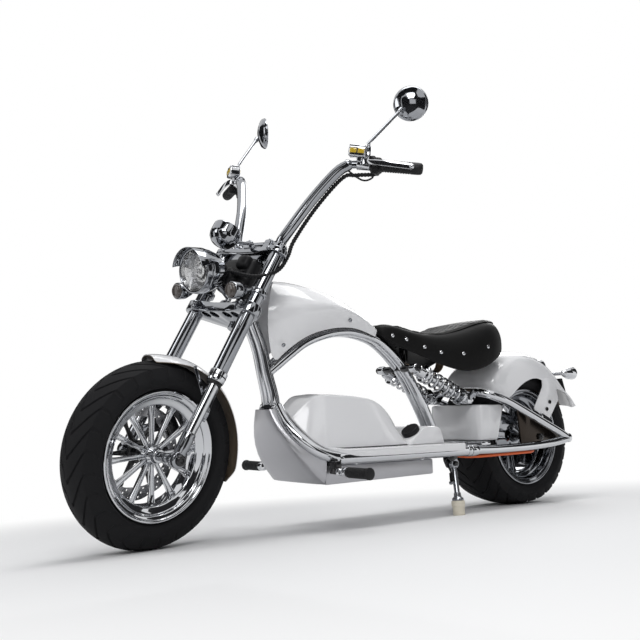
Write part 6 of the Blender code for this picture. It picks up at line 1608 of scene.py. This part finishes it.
class Saddle:
    """The black saddle with its quilted panel and rivets, on its bow."""

    BODY = Body.CHASSIS
    # Each row: x, top, half width, skirt, underside and height of its shoulder
    ROWS = ((0.62, 0.597, 0.014, 0.586, 0.588, 0.74), (0.613, 0.603, 0.035, 0.574, 0.585, 0.74),
        (0.592, 0.609, 0.048, 0.556, 0.583, 0.74), (0.556, 0.606, 0.056, 0.537, 0.574, 0.74),
        (0.5, 0.59, 0.072, 0.515, 0.556, 0.72), (0.44, 0.58, 0.096, 0.489, 0.544, 0.68),
        (0.38, 0.585, 0.126, 0.462, 0.545, 0.63), (0.32, 0.602, 0.148, 0.455, 0.552, 0.61),
        (0.26, 0.622, 0.158, 0.47, 0.56, 0.66), (0.2, 0.634, 0.154, 0.499, 0.564, 0.67),
        (0.15, 0.634, 0.134, 0.526, 0.564, 0.6), (0.118, 0.617, 0.102, 0.549, 0.575, 0.58),
        (0.104, 0.594, 0.056, 0.572, 0.585, 0.6))
    RIVETS_AT = ((0.577, 0.571), (0.529, 0.56), (0.47, 0.536), (0.419, 0.519), (0.3465, 0.515),
        (0.247, 0.539))
    QUILT_FRONT, QUILT_REAR = 0.56, 0.14
    QUILT_PITCH = 0.022
    QUILT_WIDTH = 0.72
    PUFF = 0.0026

    def build(self, shop: Shop) -> None:
        """Make the saddle and its bow."""
        self._hide(shop)
        self._bow(shop)

    def _between(self, x: float) -> Triple:
        """Top z, half width and skirt z of the saddle at x."""
        rows = self.ROWS
        for first, second in zip(rows, rows[1:]):
            if second[0] <= x <= first[0]:
                t = (x - first[0]) / (second[0] - first[0])
                return tuple((first[k] + (second[k] - first[k]) * t for k in (1, 2, 3)))
        return rows[-1][1:4]

    def _hide(self, shop: Shop) -> None:
        """The padded body, its quilted panel and rivets."""
        rows = []
        for x, top, half, skirt, under, share in self.ROWS:
            thin = min(0.01, half * 0.25)
            side = [(x, 0, top), (x, half * 0.45, top + 0.003), (x, half * 0.8, top - 0.003),
                (x, half * 0.96, top * share + skirt * (1 - share)), (x, half,
                top * 0.35 + skirt * 0.65), (x, half - 0.001, skirt + 0.003), (x, half - 0.003, skirt),
                (x, half - 0.002 - thin, skirt + 0.001), (x, half - 0.004 - thin,
                min(under, skirt + 0.03)), (x, max(half * 0.7 - thin, half * 0.3), under),
                (x, 0, under)]
            rows.append([Vector(p) for p in side] + [sided(p, -1) for p in reversed(side[1:-1])])
        hide = capped(skin("hide", rows, levels=2, closed=True))
        spots = []
        for x, z in self.RIVETS_AT:
            for side in BOTH:
                _, at, way, _ = hide.ray_cast(xyz(x, side * 0.4, z), -side * LEFT)
                spots.append((at.copy(), way.copy()))
        shop.add(hide, "saddle_hide", Look.LEATHER, Slot.LEATHER, ("seat",), 60)
        panel_rows, along, across = [], 110, 64
        for i in range(along + 1):
            x = self.QUILT_FRONT - (self.QUILT_FRONT - self.QUILT_REAR) * i / along
            top, half, _ = self._between(x)
            row = []
            for j in range(across + 1):
                v = -1.0 + 2.0 * j / across
                y = v * half * self.QUILT_WIDTH
                a, b = ((x * 0.5 + s * y) / self.QUILT_PITCH for s in BOTH)
                seam = min(abs(math.sin(math.pi * a)), abs(math.sin(math.pi * b)))
                edge = min(1, (1 - abs(v)) * 12, i / 5, (along - i) / 5)
                puff = self.PUFF * min(1, seam * 2.4) ** 0.6 + 0.0012
                crown = 0.0022 - 0.003 * v * v
                row.append(xyz(x, y, top + crown + puff * edge - 0.0022 * (1 - edge)))
            panel_rows.append(row)
        panel = skin("panel", panel_rows, 0.003, -1, 0)
        shop.add(panel, "saddle_quilted_panel", Look.LEATHER, Slot.LEATHER, (), 60)
        rivets = [spun("rivet", [(-0.0012, 0), (-0.0012, 0.0062), (0.0008, 0.0058), (0.0024, 0.0036),
            (0.0028, 0)], at, way, 20) for at, way in spots]
        shop.add(rivets, "saddle_rivets", Look.CHROME, Slot.CHROME)

    @staticmethod
    def _bow(shop: Shop) -> None:
        """The curved strap under the saddle with its pan and post."""
        top = 0.5437
        line = smooth_path([xyz(x, 0, z) for x, z in ((0.36, top - 0.003), (0.33, 0.52), (0.318, 0.495),
            (0.33, 0.47), (0.36, 0.455), (0.4, 0.452), (0.44, 0.462), (0.488, 0.486))], 0.006)
        rows = [[p + y * LEFT for y in (-0.018, 0, 0.018)] for p in line]
        strap = bevelled(skin("strap", rows, 0.0038, 0, 0), 0.0008, 2, 60)
        shop.add(strap, "seat_bow_strap", Look.STRAP, Slot.STEEL, ("seat_bow",))
        parts = [
            block("pan", xyz(0.42, 0, top - 0.002), (0.15, 0.06, 0.004), None, 0.001),
            block("post", xyz(0.486, 0, 0.513), (0.012, 0.03, 0.058), None, 0.002),
            block("foot", xyz(0.4928, 0, 0.483), (0.046, 0.03, 0.005), rotate(-48, "Y"), 0.001),
        ]
        shop.add(parts, "seat_post", Look.GLOSS_BLACK, Slot.STEEL)


# Rear end


class RearEnd:
    """Swingarm, shocks, fenders, axle, caliper, motor cable and tail."""

    BODY = Body.CHASSIS
    UPPER = ((-0.157, 0.15, 0.229), (-0.12, 0.15, 0.247), (-0.072, 0.15, 0.267), (0.051, 0.15, 0.317),
        (0.15, 0.15, 0.356), (0.198, 0.148, 0.371), (0.23, 0.136, 0.382), (0.246, 0.105, 0.39),
        (0.251, 0.06, 0.393), (0.252, 0, 0.394))
    LOWER = ((0.3512, 0.148, 0.205), (0.3, 0.149, 0.204), (0.218, 0.15, 0.203), (0.06, 0.15, 0.206),
        (-0.068, 0.15, 0.214), (-0.157, 0.15, 0.226))
    PLATE = [(-0.134, 0.222), (0.098, 0.205), (0.112, 0.338), (0.02, 0.303), (-0.075, 0.265),
        (-0.134, 0.238)]
    FENDER = ((40, 0.264, 0.238, 0.1), (43, 0.281, 0.2, 0.114), (48, 0.291, 0.176, 0.12),
        (56, 0.297, 0.174, 0.122), (66, 0.3, 0.179, 0.122), (77, 0.302, 0.187, 0.122),
        (88, 0.303, 0.197, 0.122), (99, 0.302, 0.207, 0.122), (110, 0.299, 0.208, 0.122),
        (121, 0.294, 0.208, 0.122), (130, 0.29, 0.216, 0.122), (137, 0.288, 0.238, 0.122),
        (145, 0.289, 0.254, 0.12), (152, 0.291, 0.268, 0.117), (159, 0.302, 0.285, 0.112))
    STRUT = [(-0.066, 0.44), (-0.07, 0.412), (-0.013, 0.33), (-0.096, 0.294), (-0.158, 0.367),
        (-0.148, 0.386), (-0.148, 0.418), (-0.11, 0.444)]
    TAB = [(-0.084, 0.262), (-0.026, 0.287), (-0.034, 0.318), (-0.092, 0.292)]
    PLAN = [(0.146, 0.1185), (0.226, 0.121), (0.248, 0.117), (0.258, 0.102), (0.262, 0.07)]

    def build(self, shop: Shop) -> None:
        """Make the rear end's pieces."""
        self._swingarm(shop)
        for label, side in SIDES.items():
            self._shock(shop, label, side)
        self._fenders(shop)
        self._axle(shop)
        self._tail(shop)

    def _swingarm(self, shop: Shop) -> None:
        """The looped tubes, their collars, the axle plates and the shock lugs."""
        loop = [sided(p, 1) for p in self.UPPER]
        loop += [sided(p, -1) for p in reversed(self.UPPER[:-1])]
        parts = [tube("upper", loop, 0.0145, 28, 0.01)]
        for side in BOTH:
            parts += [
                tube("lower", [sided(p, side) for p in self.LOWER], 0.0145, 28, 0.012),
                lathe("collar", [(0, 0), (0, 0.0185), (0.0285, 0.0185), (0.0285, 0)], 0.002, 3,
                    xyz(0.322, side * 0.1485, 0.2045), AHEAD, 32),
                lathe("tip", [(-0.013, 0), (-0.013, 0.0145), (-0.01, 0.016), (0.01, 0.016),
                    (0.013, 0.0145), (0.013, 0)], 0.002, 3, xyz(-0.157, side * 0.15, 0.228), LEFT, 32),
                side_plate("tab", fillet(self.TAB, 0.005), side * 0.13315, 0.0187, 0.001),
            ]
            x, z = SHOCK_FOOT.x, SHOCK_FOOT.z
            lug = fillet([(x - 0.006, z - 0.013), (x + 0.013, z - 0.01), (x + 0.012, z + 0.01),
                (0.262, 0.402), (0.244, 0.384)], 0.005)
            for y in (SHOCK_Y - 0.0173, SHOCK_Y + 0.0173):
                parts.append(side_plate("lug", lug, side * y, 0.006, 0.001))
            parts.append(bar("lug_bolt", (x, side * (SHOCK_Y - 0.021), z),
                (x, side * (SHOCK_Y + 0.021), z), 0.006, bevel=0.001))
        parts += [
            bar("cross", (0.334, -0.148, 0.2045), (0.334, 0.148, 0.2045), 0.013),
            block("shelf", xyz(0.268, 0, 0.2235), (0.044, 0.292, 0.014), None, 0.003),
        ]
        shop.add(parts, "swingarm_tubes", Look.CHROME, Slot.CHROME, ("swingarm",), 40)
        plates = [side_plate("plate", fillet(self.PLATE, 0.012, 4), side * 0.15, 0.0078, 0.001)
            for side in BOTH]
        shop.add(plates, "axle_plates", Look.BRONZE, Slot.CHROME)

    @staticmethod
    def _shock(shop: Shop, label: str, side: float) -> None:
        """One shock: its eyes, cups and rod, and the coil round them."""
        top, foot = SHOCK_TOP + side * SHOCK_Y * LEFT, SHOCK_FOOT + side * SHOCK_Y * LEFT
        way = (foot - top).normalized()
        length = (foot - top).length
        parts = []
        for at in (top, foot):
            parts.append(lathe("eye", [(-0.014, 0.0062), (-0.014, 0.012), (-0.011, 0.014),
                (0.011, 0.014), (0.014, 0.012), (0.014, 0.0062)], 0.0015, 3, at, LEFT, 36, True))
        profile = [(0.01, 0), (0.01, 0.015), (0.016, 0.02), (0.038, 0.02), (0.041, 0.0295),
            (0.0495, 0.0295), (0.0505, 0.0125), (length - 0.062, 0.0125), (length - 0.06, 0.0075),
            (length - 0.038, 0.0075), (length - 0.036, 0.0295), (length - 0.0265, 0.0295),
            (length - 0.024, 0.0135), (length - 0.01, 0.0125), (length - 0.01, 0)]
        parts.append(lathe("damper", profile, 0.0015, 3, top, way, 44))
        turns, steps = 6, 24
        turn = frame_along(way).to_3x3()
        start, run = top + 0.0525 * way, length - 0.0525 - 0.0395
        coil = []
        for k in range(turns * steps + 1):
            share = k / (turns * steps)
            angle = math.tau * turns * share
            coil.append(start + turn @ xyz(0.024 * math.cos(angle), 0.024 * math.sin(angle),
                run * share))
        parts.append(tube("spring", coil, 0.004, 12, None))
        node = f"shock_{label}"
        shop.add(parts, f"{node}_coilover", Look.CHROME, Slot.CHROME, (node,), 40)

    def _fender_rows(self, grow: float) -> Rows:
        """Rows of the rear fender from its front edge to its flared tail."""
        rows = []
        for angle_deg, crown, low, side in self.FENDER:
            along = upward(angle_deg)
            knee = max(low + 0.01, crown - 0.05)
            half = [(0, crown), (side * 0.42, crown - 0.003), (side * 0.76, crown - 0.013),
                (side * 0.95, crown - 0.03), (side, knee), (side, low + 0.003), (side, low)]
            half = [(y + grow * min(1, y / 0.09), r + grow * (1 - min(1, y / 0.12))) for y, r in half]
            left = [REAR_AXLE + r * along + y * LEFT for y, r in half]
            rows.append(both_sides(left))
        return rows

    def _fenders(self, shop: Shop) -> None:
        """The glossy guard ahead of the wheel and the long white fender."""
        plan = fillet([*self.PLAN, *((x, -y) for x, y in reversed(self.PLAN))], 0.03, 5)
        bucket = plate("bucket", plan, 0.1182, move((0, 0, 0.2909)), 0.008)
        room = spun("room", [(-0.1108, 0), (-0.1108, WHEEL_R + 0.008), (0.1108, WHEEL_R + 0.008),
            (0.1108, 0)], REAR_AXLE, LEFT, 96)
        rear_edge = block("rear_edge", xyz(0.1174, 0, 0.2673), (0.1, 0.3, 0.24), rotate(-17.7, "Y"), 0)
        bucket = without(without(bucket, room), rear_edge)
        shop.add(bucket, "inner_fender_skin", Look.WHITE, Slot.WHITE_METAL, ("inner_fender",), 30)
        outer = skin("fender", self._fender_rows(0.0028), 0.002, -1, 2)
        shop.add(outer, "rear_fender_skin", Look.WHITE, Slot.WHITE_METAL, ("rear_fender",), 50)
        inner = skin("liner", self._fender_rows(0.0007), 0.0006, -1, 2)
        shop.add(inner, "rear_fender_underside", Look.BROWN, Slot.WHITE_METAL, (), 50)
        struts, bolts = [], []
        for side in BOTH:
            struts.append(side_plate("strut", fillet(self.STRUT, 0.01, 4), side * 0.1235, 0.004, 0.001))
            for x, z in ((-0.102, 0.356), (-0.084, 0.331)):
                bolts.append(screw_head("bolt", xyz(x, side * 0.125, z), side * LEFT, 0.0072, 0.0045))
        shop.add(struts, "rear_fender_struts", Look.WHITE, Slot.WHITE_METAL, (), 30)
        shop.add(bolts, "rear_fender_bolts", Look.GLOSS_BLACK, Slot.STEEL)

    @staticmethod
    def _axle(shop: Shop) -> None:
        """The rear axle, its caliper and the motor's cable."""
        parts = [bar("axle", REAR_AXLE - 0.16 * LEFT, REAR_AXLE + 0.16 * LEFT, 0.008)]
        for side, inner in ((1, 0.0456), (-1, 0.1126)):
            parts += [
                bar("spacer", REAR_AXLE + side * inner * LEFT, REAR_AXLE + side * 0.1457 * LEFT, 0.0115,
                    bevel=0.001),
                nut("nut", REAR_AXLE + side * 0.1543 * LEFT, side * LEFT, 0.0125, 0.009),
                spun("end", [(0, 0), (0, 0.008), (0.0035, 0.0075), (0.0055, 0.005), (0.006, 0)],
                    REAR_AXLE + side * 0.162 * LEFT, side * LEFT, 28),
            ]
        shop.add(parts, "rear_axle_black", Look.GLOSS_BLACK, Slot.STEEL, ("rear_axle",), 30)
        along, turn = upward(38), rotate(-38, "Y")
        middle = REAR_AXLE + 0.1 * along
        body = []
        for inner, outer in ((-0.132, -0.1145), (-0.1055, -0.0885)):
            at = xyz(middle.x, (inner + outer) / 2, middle.z)
            body.append(block("half", at, (0.034, abs(inner - outer), 0.056), turn, 0.005, 4))
        body.append(block("bridge", xyz(middle.x, -0.11, middle.z) + 0.0135 * along,
            (0.008, 0.042, 0.046), turn, 0.003))
        for dx, dz in ((0.008, -0.012), (-0.012, -0.006)):
            body.append(bar("bolt", xyz(middle.x + dx, -0.13, middle.z + dz),
                xyz(middle.x + dx, -0.1457, middle.z + dz), 0.006))
        shop.add(body, "rear_caliper_body", Look.GLOSS_BLACK, Slot.STEEL, ("rear_caliper",), 30)
        cable = tube("cable", [(0.366, 0.095, 0.1874), (0.345, 0.125, 0.184), (0.3, 0.148, 0.184),
            (0.2, 0.15, 0.185), (0.08, 0.15, 0.1865), (0.03, 0.142, 0.188), (0.006, 0.128, 0.2),
            (0, 0.126, 0.2225)], 0.004, 20, 0.008)
        shop.add(cable, "motor_cable_sheath", Look.ORANGE, Slot.ORANGE, ("motor_cable",), 60)

    @staticmethod
    def _tail(shop: Shop) -> None:
        """Tail lamp, rear signals and the bare plate bracket."""
        bar_at = xyz(-0.243, 0, 0.462)
        parts = [
            block("foot", xyz(-0.2133, 0, 0.4559), (0.0268, 0.06, 0.05), rotate(44, "Y"), 0.005, 4),
            bar("bar", bar_at - 0.1 * LEFT, bar_at + 0.1 * LEFT, 0.007),
            lathe("lamp", [(0, 0), (0, 0.026), (0.01, 0.0262), (0.024, 0.024), (0.0265, 0.022),
                (0.024, 0.0205), (0.023, 0)], 0.002, 3, xyz(-0.205, 0, 0.488), xyz(-0.027, 0, 0.012),
                48),
        ]
        lenses = []
        for side in BOTH:
            at = xyz(-0.262, side * 0.1, 0.462)
            parts.append(lathe("signal", [(0.042, 0), (0.038, 0.007), (0.03, 0.013), (0.006, 0.0222),
                (-0.014, 0.0234), (-0.0195, 0.0234), (-0.0205, 0.0213), (-0.0185, 0.0205), (-0.017, 0)],
                0.003, 3, at, AHEAD, 48))
            lenses.append(lathe("lens", [(-0.0172, 0), (-0.0172, 0.02), (-0.023, 0.0195),
                (-0.0275, 0.015), (-0.0295, 0)], 0.003, 3, at, AHEAD, 40))
        shop.add(parts, "tail_chrome", Look.CHROME, Slot.CHROME, ("tail_unit",), 30)
        shop.add(lenses, "rear_signal_lenses", Look.SMOKE, Slot.LENS)
        red = lathe("red", [(0.0232, 0), (0.0232, 0.02), (0.0275, 0.0185), (0.029, 0)], 0.002, 3,
            xyz(-0.205, 0, 0.488), xyz(-0.027, 0, 0.012), 48)
        shop.add(red, "tail_lamp_lens", Look.RED, Slot.LENS)
        plates = [
            block("plate", xyz(-0.268, 0, 0.404), (0.003, 0.15, 0.085), rotate(20, "Y"), 0.001),
            block("arm", xyz(-0.245, 0, 0.438), (0.012, 0.03, 0.06), rotate(30, "Y"), 0.002),
        ]
        shop.add(plates, "plate_bracket_black", Look.PLASTIC, Slot.PLASTIC)


class StandAndPegs:
    """The side stand with its cup, and the two folding pegs."""

    BODY = Body.SIDE_STAND

    def build(self, shop: Shop) -> None:
        """Make the stand and the pegs."""
        self._stand(shop)
        for label, side in SIDES.items():
            self._peg(shop, label, side)

    @staticmethod
    def _stand(shop: Shop) -> None:
        """The stand's leg, its flange and stud, its spring and the cream cup."""
        lean = math.radians(LEAN_DEG)
        up = xyz(0, -math.sin(lean), math.cos(lean))
        sole = Vector((*STAND_SOLE, STAND_SOLE[1] * math.tan(lean) + STAND_CLEAR))
        cup_top = sole + 0.044 * up
        head = STAND_PIVOT
        stud = head * 0.45 + cup_top * 0.55
        stud_tip = stud + xyz(0.024, 0, 0.004)
        parts = [
            lathe("eye", [(-0.0065, 0.0062), (-0.0065, 0.0165), (0.01, 0.0165), (0.01, 0.0062)], 0.002,
                3, head, LEFT, 40, True),
            bar("leg", head + xyz(0, 0.003, -0.015), cup_top + 0.012 * up, 0.0095, 0.0085, 32),
            lathe("flange", [(0.0003, 0), (0.0003, 0.0185), (0.006, 0.018), (0.012, 0.0115),
                (0.024, 0.0105), (0.026, 0)], 0.002, 3, cup_top, up, 40),
            bar("stud", stud, stud_tip, 0.004, bevel=0.001),
            spun("knob", [(0, 0), (0, 0.0058), (0.004, 0.0058), (0.005, 0.004), (0.005, 0)],
                stud_tip - xyz(0.004, 0, 0.0007), xyz(0.024, 0, 0.004), 20),
        ]
        sleeve = bar("sleeve", head + xyz(0.017, 0.006, -0.03), stud + xyz(0.017, 0, 0.01), 0.0062,
            bevel=0.001)
        shop.add(sleeve, "stand_spring_sleeve", Look.PLASTIC, Slot.RUBBER)
        shop.add(parts, "side_stand_leg", Look.CHROME_DARK_REFLECTION, Slot.CHROME, ("side_stand",), 40)
        cup = lathe("cup", [(0, 0), (0, 0.0178), (0.003, 0.0184), (0.026, 0.0188), (0.029, 0.0208),
            (0.04, 0.0208), (0.0432, 0.0196), (0.0438, 0.0175), (0.0438, 0)], 0.0015, 3, sole, up, 48)
        shop.add(cup, "stand_foot_cup", Look.CREAM, Slot.CREAM, ("stand_foot",), 40)

    @staticmethod
    def _peg(shop: Shop, label: str, side: float) -> None:
        """One peg: ribbed rubber on a chrome knuckle."""
        out = side * LEFT
        root = xyz(PEG.x, side * PEG.y, PEG.z)
        profile = [(0.03, 0), (0.03, 0.0138)]
        for k in range(PEG_RIBS):
            a = 0.034 + k * PEG_PITCH
            profile += [(a, 0.0145), (a + 0.0035, 0.0145), (a + 0.0045, 0.0128), (a + 0.0072, 0.0128)]
        profile += [(0.111, 0.0145), (0.113, 0.0163), (0.118, 0.0163), (0.1198, 0.014), (0.1198, 0)]
        node = f"peg_{label}"
        shop = shop.on(Body.PEG_LEFT if side > 0 else Body.PEG_RIGHT)
        shop.add(spun("rubber", profile, root, out, 36), f"{node}_rubber", Look.RUBBER, Slot.RUBBER,
            (node,), 40)
        parts = [
            bar("core", root - 0.003 * out, root + 0.03 * out, 0.0095),
            bar("knuckle", root - xyz(0.0138, 0, 0), root + xyz(0.0138, 0, 0), 0.0104, bevel=0.002),
            lathe("collar", [(0.012, 0), (0.012, 0.0125), (0.029, 0.0145), (0.0302, 0)], 0.001, 2, root,
                out, 32),
        ]
        shop.add(parts, f"{node}_knuckle", Look.CHROME, Slot.CHROME)


class Studio:
    """Pale floor, white surroundings, soft lamps, dark cards and the camera."""

    EYE = xyz(2.263, 1.8769, 0.3292)
    YAW_DEG, PITCH_DEG, ROLL_DEG = 232.5755, 6.8211, -1.1764
    LENS_MM = 44.25
    CARD_REACH = 4.4
    FILL, FILL_COLOUR = 0.34, (0.94, 0.96, 1, 1)
    FADE = (0.9, 2.2)
    # Turn about the bike, height, width and height of each dark card
    CARDS = ((-8, 1.7, 2.6, 3.6), (28, 1.5, 2.3, 2.6), (58, 2.9, 2.4, 2.4), (84, 1.1, 2.4, 2.4),
        (122, 1.9, 2.8, 3.6), (160, 1.6, 2.2, 3.2), (205, 1.6, 3, 3.4), (255, 1.6, 3.2, 3.6),
        (305, 1.8, 3, 3.8), (332, 3.6, 2.4, 2), (150, 3.8, 2.6, 1.8), (10, 4.4, 2.4, 1.6),
        (240, 4.2, 2.8, 1.8))

    def build(self, stance: Stance) -> None:
        """Set the camera, the surroundings and the lamps."""
        self._camera(stance)
        self._world()
        self._floor()
        centre = stance.bike @ xyz(0.7, 0, 0.45)
        for name, at, size, power in (("key", (2.2, 2.6, 2.6), (1.6, 1.2), 40),
                ("front", (3.2, -0.6, 1.7), (1, 1.8), 18), ("top", (0, 0.4, 3.2), (2.6, 1.2), 44),
                ("rear", (-2.8, -1.6, 2.2), (1.4, 1.4), 26)):
            self._lamp(name, Vector(at), centre, size, power)
        for k, (turn_deg, up, wide, high) in enumerate(self.CARDS):
            at = rotate(turn_deg, "Z") @ xyz(self.CARD_REACH, 0, up)
            self._card(f"card_{k}", at, centre, (wide, high))
        self._card("card_above", xyz(1.9, 2, 4.9), centre, (4, 2.6))
        for name, x, y, wide, deep in (("near", 3.2, 2.9, 4.6, 4.6), ("left", 0.6, 3.9, 3, 2.6),
                ("front", 4.2, -1.2, 3, 3.2)):
            at = xyz(x, y, 0.02)
            self._card(f"card_{name}", at, at + UP, (wide, deep))

    def _camera(self, stance: Stance) -> None:
        """The camera, placed beside the upright bike and leaned with it."""
        yaw, pitch, roll = (math.radians(v) for v in (self.YAW_DEG, self.PITCH_DEG, self.ROLL_DEG))
        ahead = xyz(math.cos(pitch) * math.cos(yaw), math.cos(pitch) * math.sin(yaw), math.sin(pitch))
        right = ahead.cross(UP).normalized()
        up = right.cross(ahead)
        tilted = math.cos(roll) * right + math.sin(roll) * up
        upper = -math.sin(roll) * right + math.cos(roll) * up
        turn = Matrix((tilted, upper, -ahead)).transposed().to_4x4()
        camera = fresh("main_camera", bpy.ops.object.camera_add)
        camera.matrix_world = stance.bike @ move(self.EYE) @ turn
        camera.data.sensor_width = 36.0
        camera.data.lens = self.LENS_MM
        camera.data.clip_start = 0.05
        camera.data.clip_end = 60.0
        bpy.context.scene.camera = camera
        render = bpy.context.scene.render
        render.resolution_x = render.resolution_y = 640

    @staticmethod
    def _seen(tree: bpy.types.NodeTree) -> bpy.types.NodeSocket:
        """A factor that is 1 for what the camera, metal and glass see."""
        rays = node_in(tree, "LightPath").outputs
        first = node_in(tree, "Math", {0: rays["Is Camera Ray"], 1: rays["Is Glossy Ray"]},
            operation="MAXIMUM")
        return node_in(tree, "Math", {0: first.outputs[0], 1: rays["Is Transmission Ray"]},
            operation="MAXIMUM").outputs[0]

    def _world(self) -> None:
        """White to the camera and in reflections, a plainer fill for everything else."""
        world = bpy.data.worlds.new("studio")
        bpy.context.scene.world = world
        world.use_nodes = True
        tree = world.node_tree
        tree.nodes.clear()
        fill = node_in(tree, "Background", {"Color": self.FILL_COLOUR, "Strength": self.FILL})
        white = node_in(tree, "Background", {"Color": (1, 1, 1, 1), "Strength": 1})
        mix = node_in(tree, "MixShader", {0: self._seen(tree), 1: fill.outputs[0], 2: white.outputs[0]})
        node_in(tree, "OutputWorld", {0: mix.outputs[0]})

    def _floor(self) -> None:
        """A pale floor that keeps the shadow and fades to white away from the bike."""
        floor = fresh("floor", bpy.ops.mesh.primitive_plane_add, size=24.0)
        material = bpy.data.materials.new("pale_floor")
        material.use_nodes = True
        tree = material.node_tree
        shader = feed(tree.nodes["Principled BSDF"], {"Base Color": (0.86, 0.86, 0.86, 1),
            "Roughness": 0.7})
        place = node_in(tree, "TexCoord").outputs["Object"]
        length = node_in(tree, "VectorMath", {0: place}, operation="LENGTH")
        near, far = self.FADE
        fade = node_in(tree, "MapRange", {"Value": length.outputs["Value"], "From Min": near,
            "From Max": far}, interpolation_type="SMOOTHSTEP")
        share = node_in(tree, "Math", {0: fade.outputs[0], 1: self._seen(tree)}, operation="MULTIPLY")
        mix = node_in(tree, "MixShader", {0: share.outputs[0], 1: shader.outputs[0],
            2: node_in(tree, "Emission").outputs[0]})
        feed(tree.nodes["Material Output"], {"Surface": mix.outputs[0]})
        floor.data.materials.append(material)
        floor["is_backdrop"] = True

    @staticmethod
    def _aimed(obj: Thing, at: Vector, target: Vector) -> None:
        """Stand an object at a point, its back turned away from the target."""
        obj.matrix_world = move(at) @ (target - at).to_track_quat("-Z", "Y").to_matrix().to_4x4()

    def _lamp(self, name: str, at: Vector, target: Vector, size: tuple[float, float],
            power: float) -> None:
        """A soft rectangular lamp aimed at the bike."""
        lamp = fresh(f"lamp_{name}", bpy.ops.object.light_add, type="AREA")
        lamp.data.shape = "RECTANGLE"
        lamp.data.size, lamp.data.size_y = size
        lamp.data.energy = power
        lamp.visible_camera = False
        self._aimed(lamp, at, target)

    def _card(self, name: str, at: Vector, target: Vector, size: tuple[float, float]) -> None:
        """A dark card that only shows in shiny surfaces."""
        card = fresh(name, bpy.ops.mesh.primitive_plane_add, size=1.0)
        placed(card, Matrix.Diagonal((*size, 1, 1)))
        self._aimed(card, at, target)
        material = bpy.data.materials.get("dark_card") or bpy.data.materials.new("dark_card")
        material.use_nodes = True
        feed(material.node_tree.nodes["Principled BSDF"], {"Base Color": (0.03, 0.03, 0.032, 1),
            "Roughness": 1})
        card.data.materials.append(material)
        for ray in ("camera", "diffuse", "shadow", "transmission"):
            setattr(card, f"visible_{ray}", False)
        card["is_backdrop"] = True


def corners() -> list[list[float]]:
    """The lowest and highest corner of all that shows, as plain lists."""
    return [[round(value, 6) for value in corner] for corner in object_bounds()]


def main() -> None:
    """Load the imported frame, dress it and set the studio."""
    logging.basicConfig(level=logging.INFO, format="%(message)s")
    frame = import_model()
    stance = Stance({joint["name"]: joint for joint in frame["joints"]})
    shop = Shop(stance, Paints())
    for part in (FrontWheel(), RearWheel(), Fork(), Lamps(), Controls(), Frame(), Covers(), Saddle(),
            RearEnd(), StandAndPegs()):
        LOG.info("building %s", type(part).__name__)
        part.build(shop.on(part.BODY))
    Studio().build(stance)
    scene = bpy.context.scene
    scene.view_settings.view_transform = "Standard"
    bpy.context.view_layer.update()


if __name__ == "__main__":
    main()
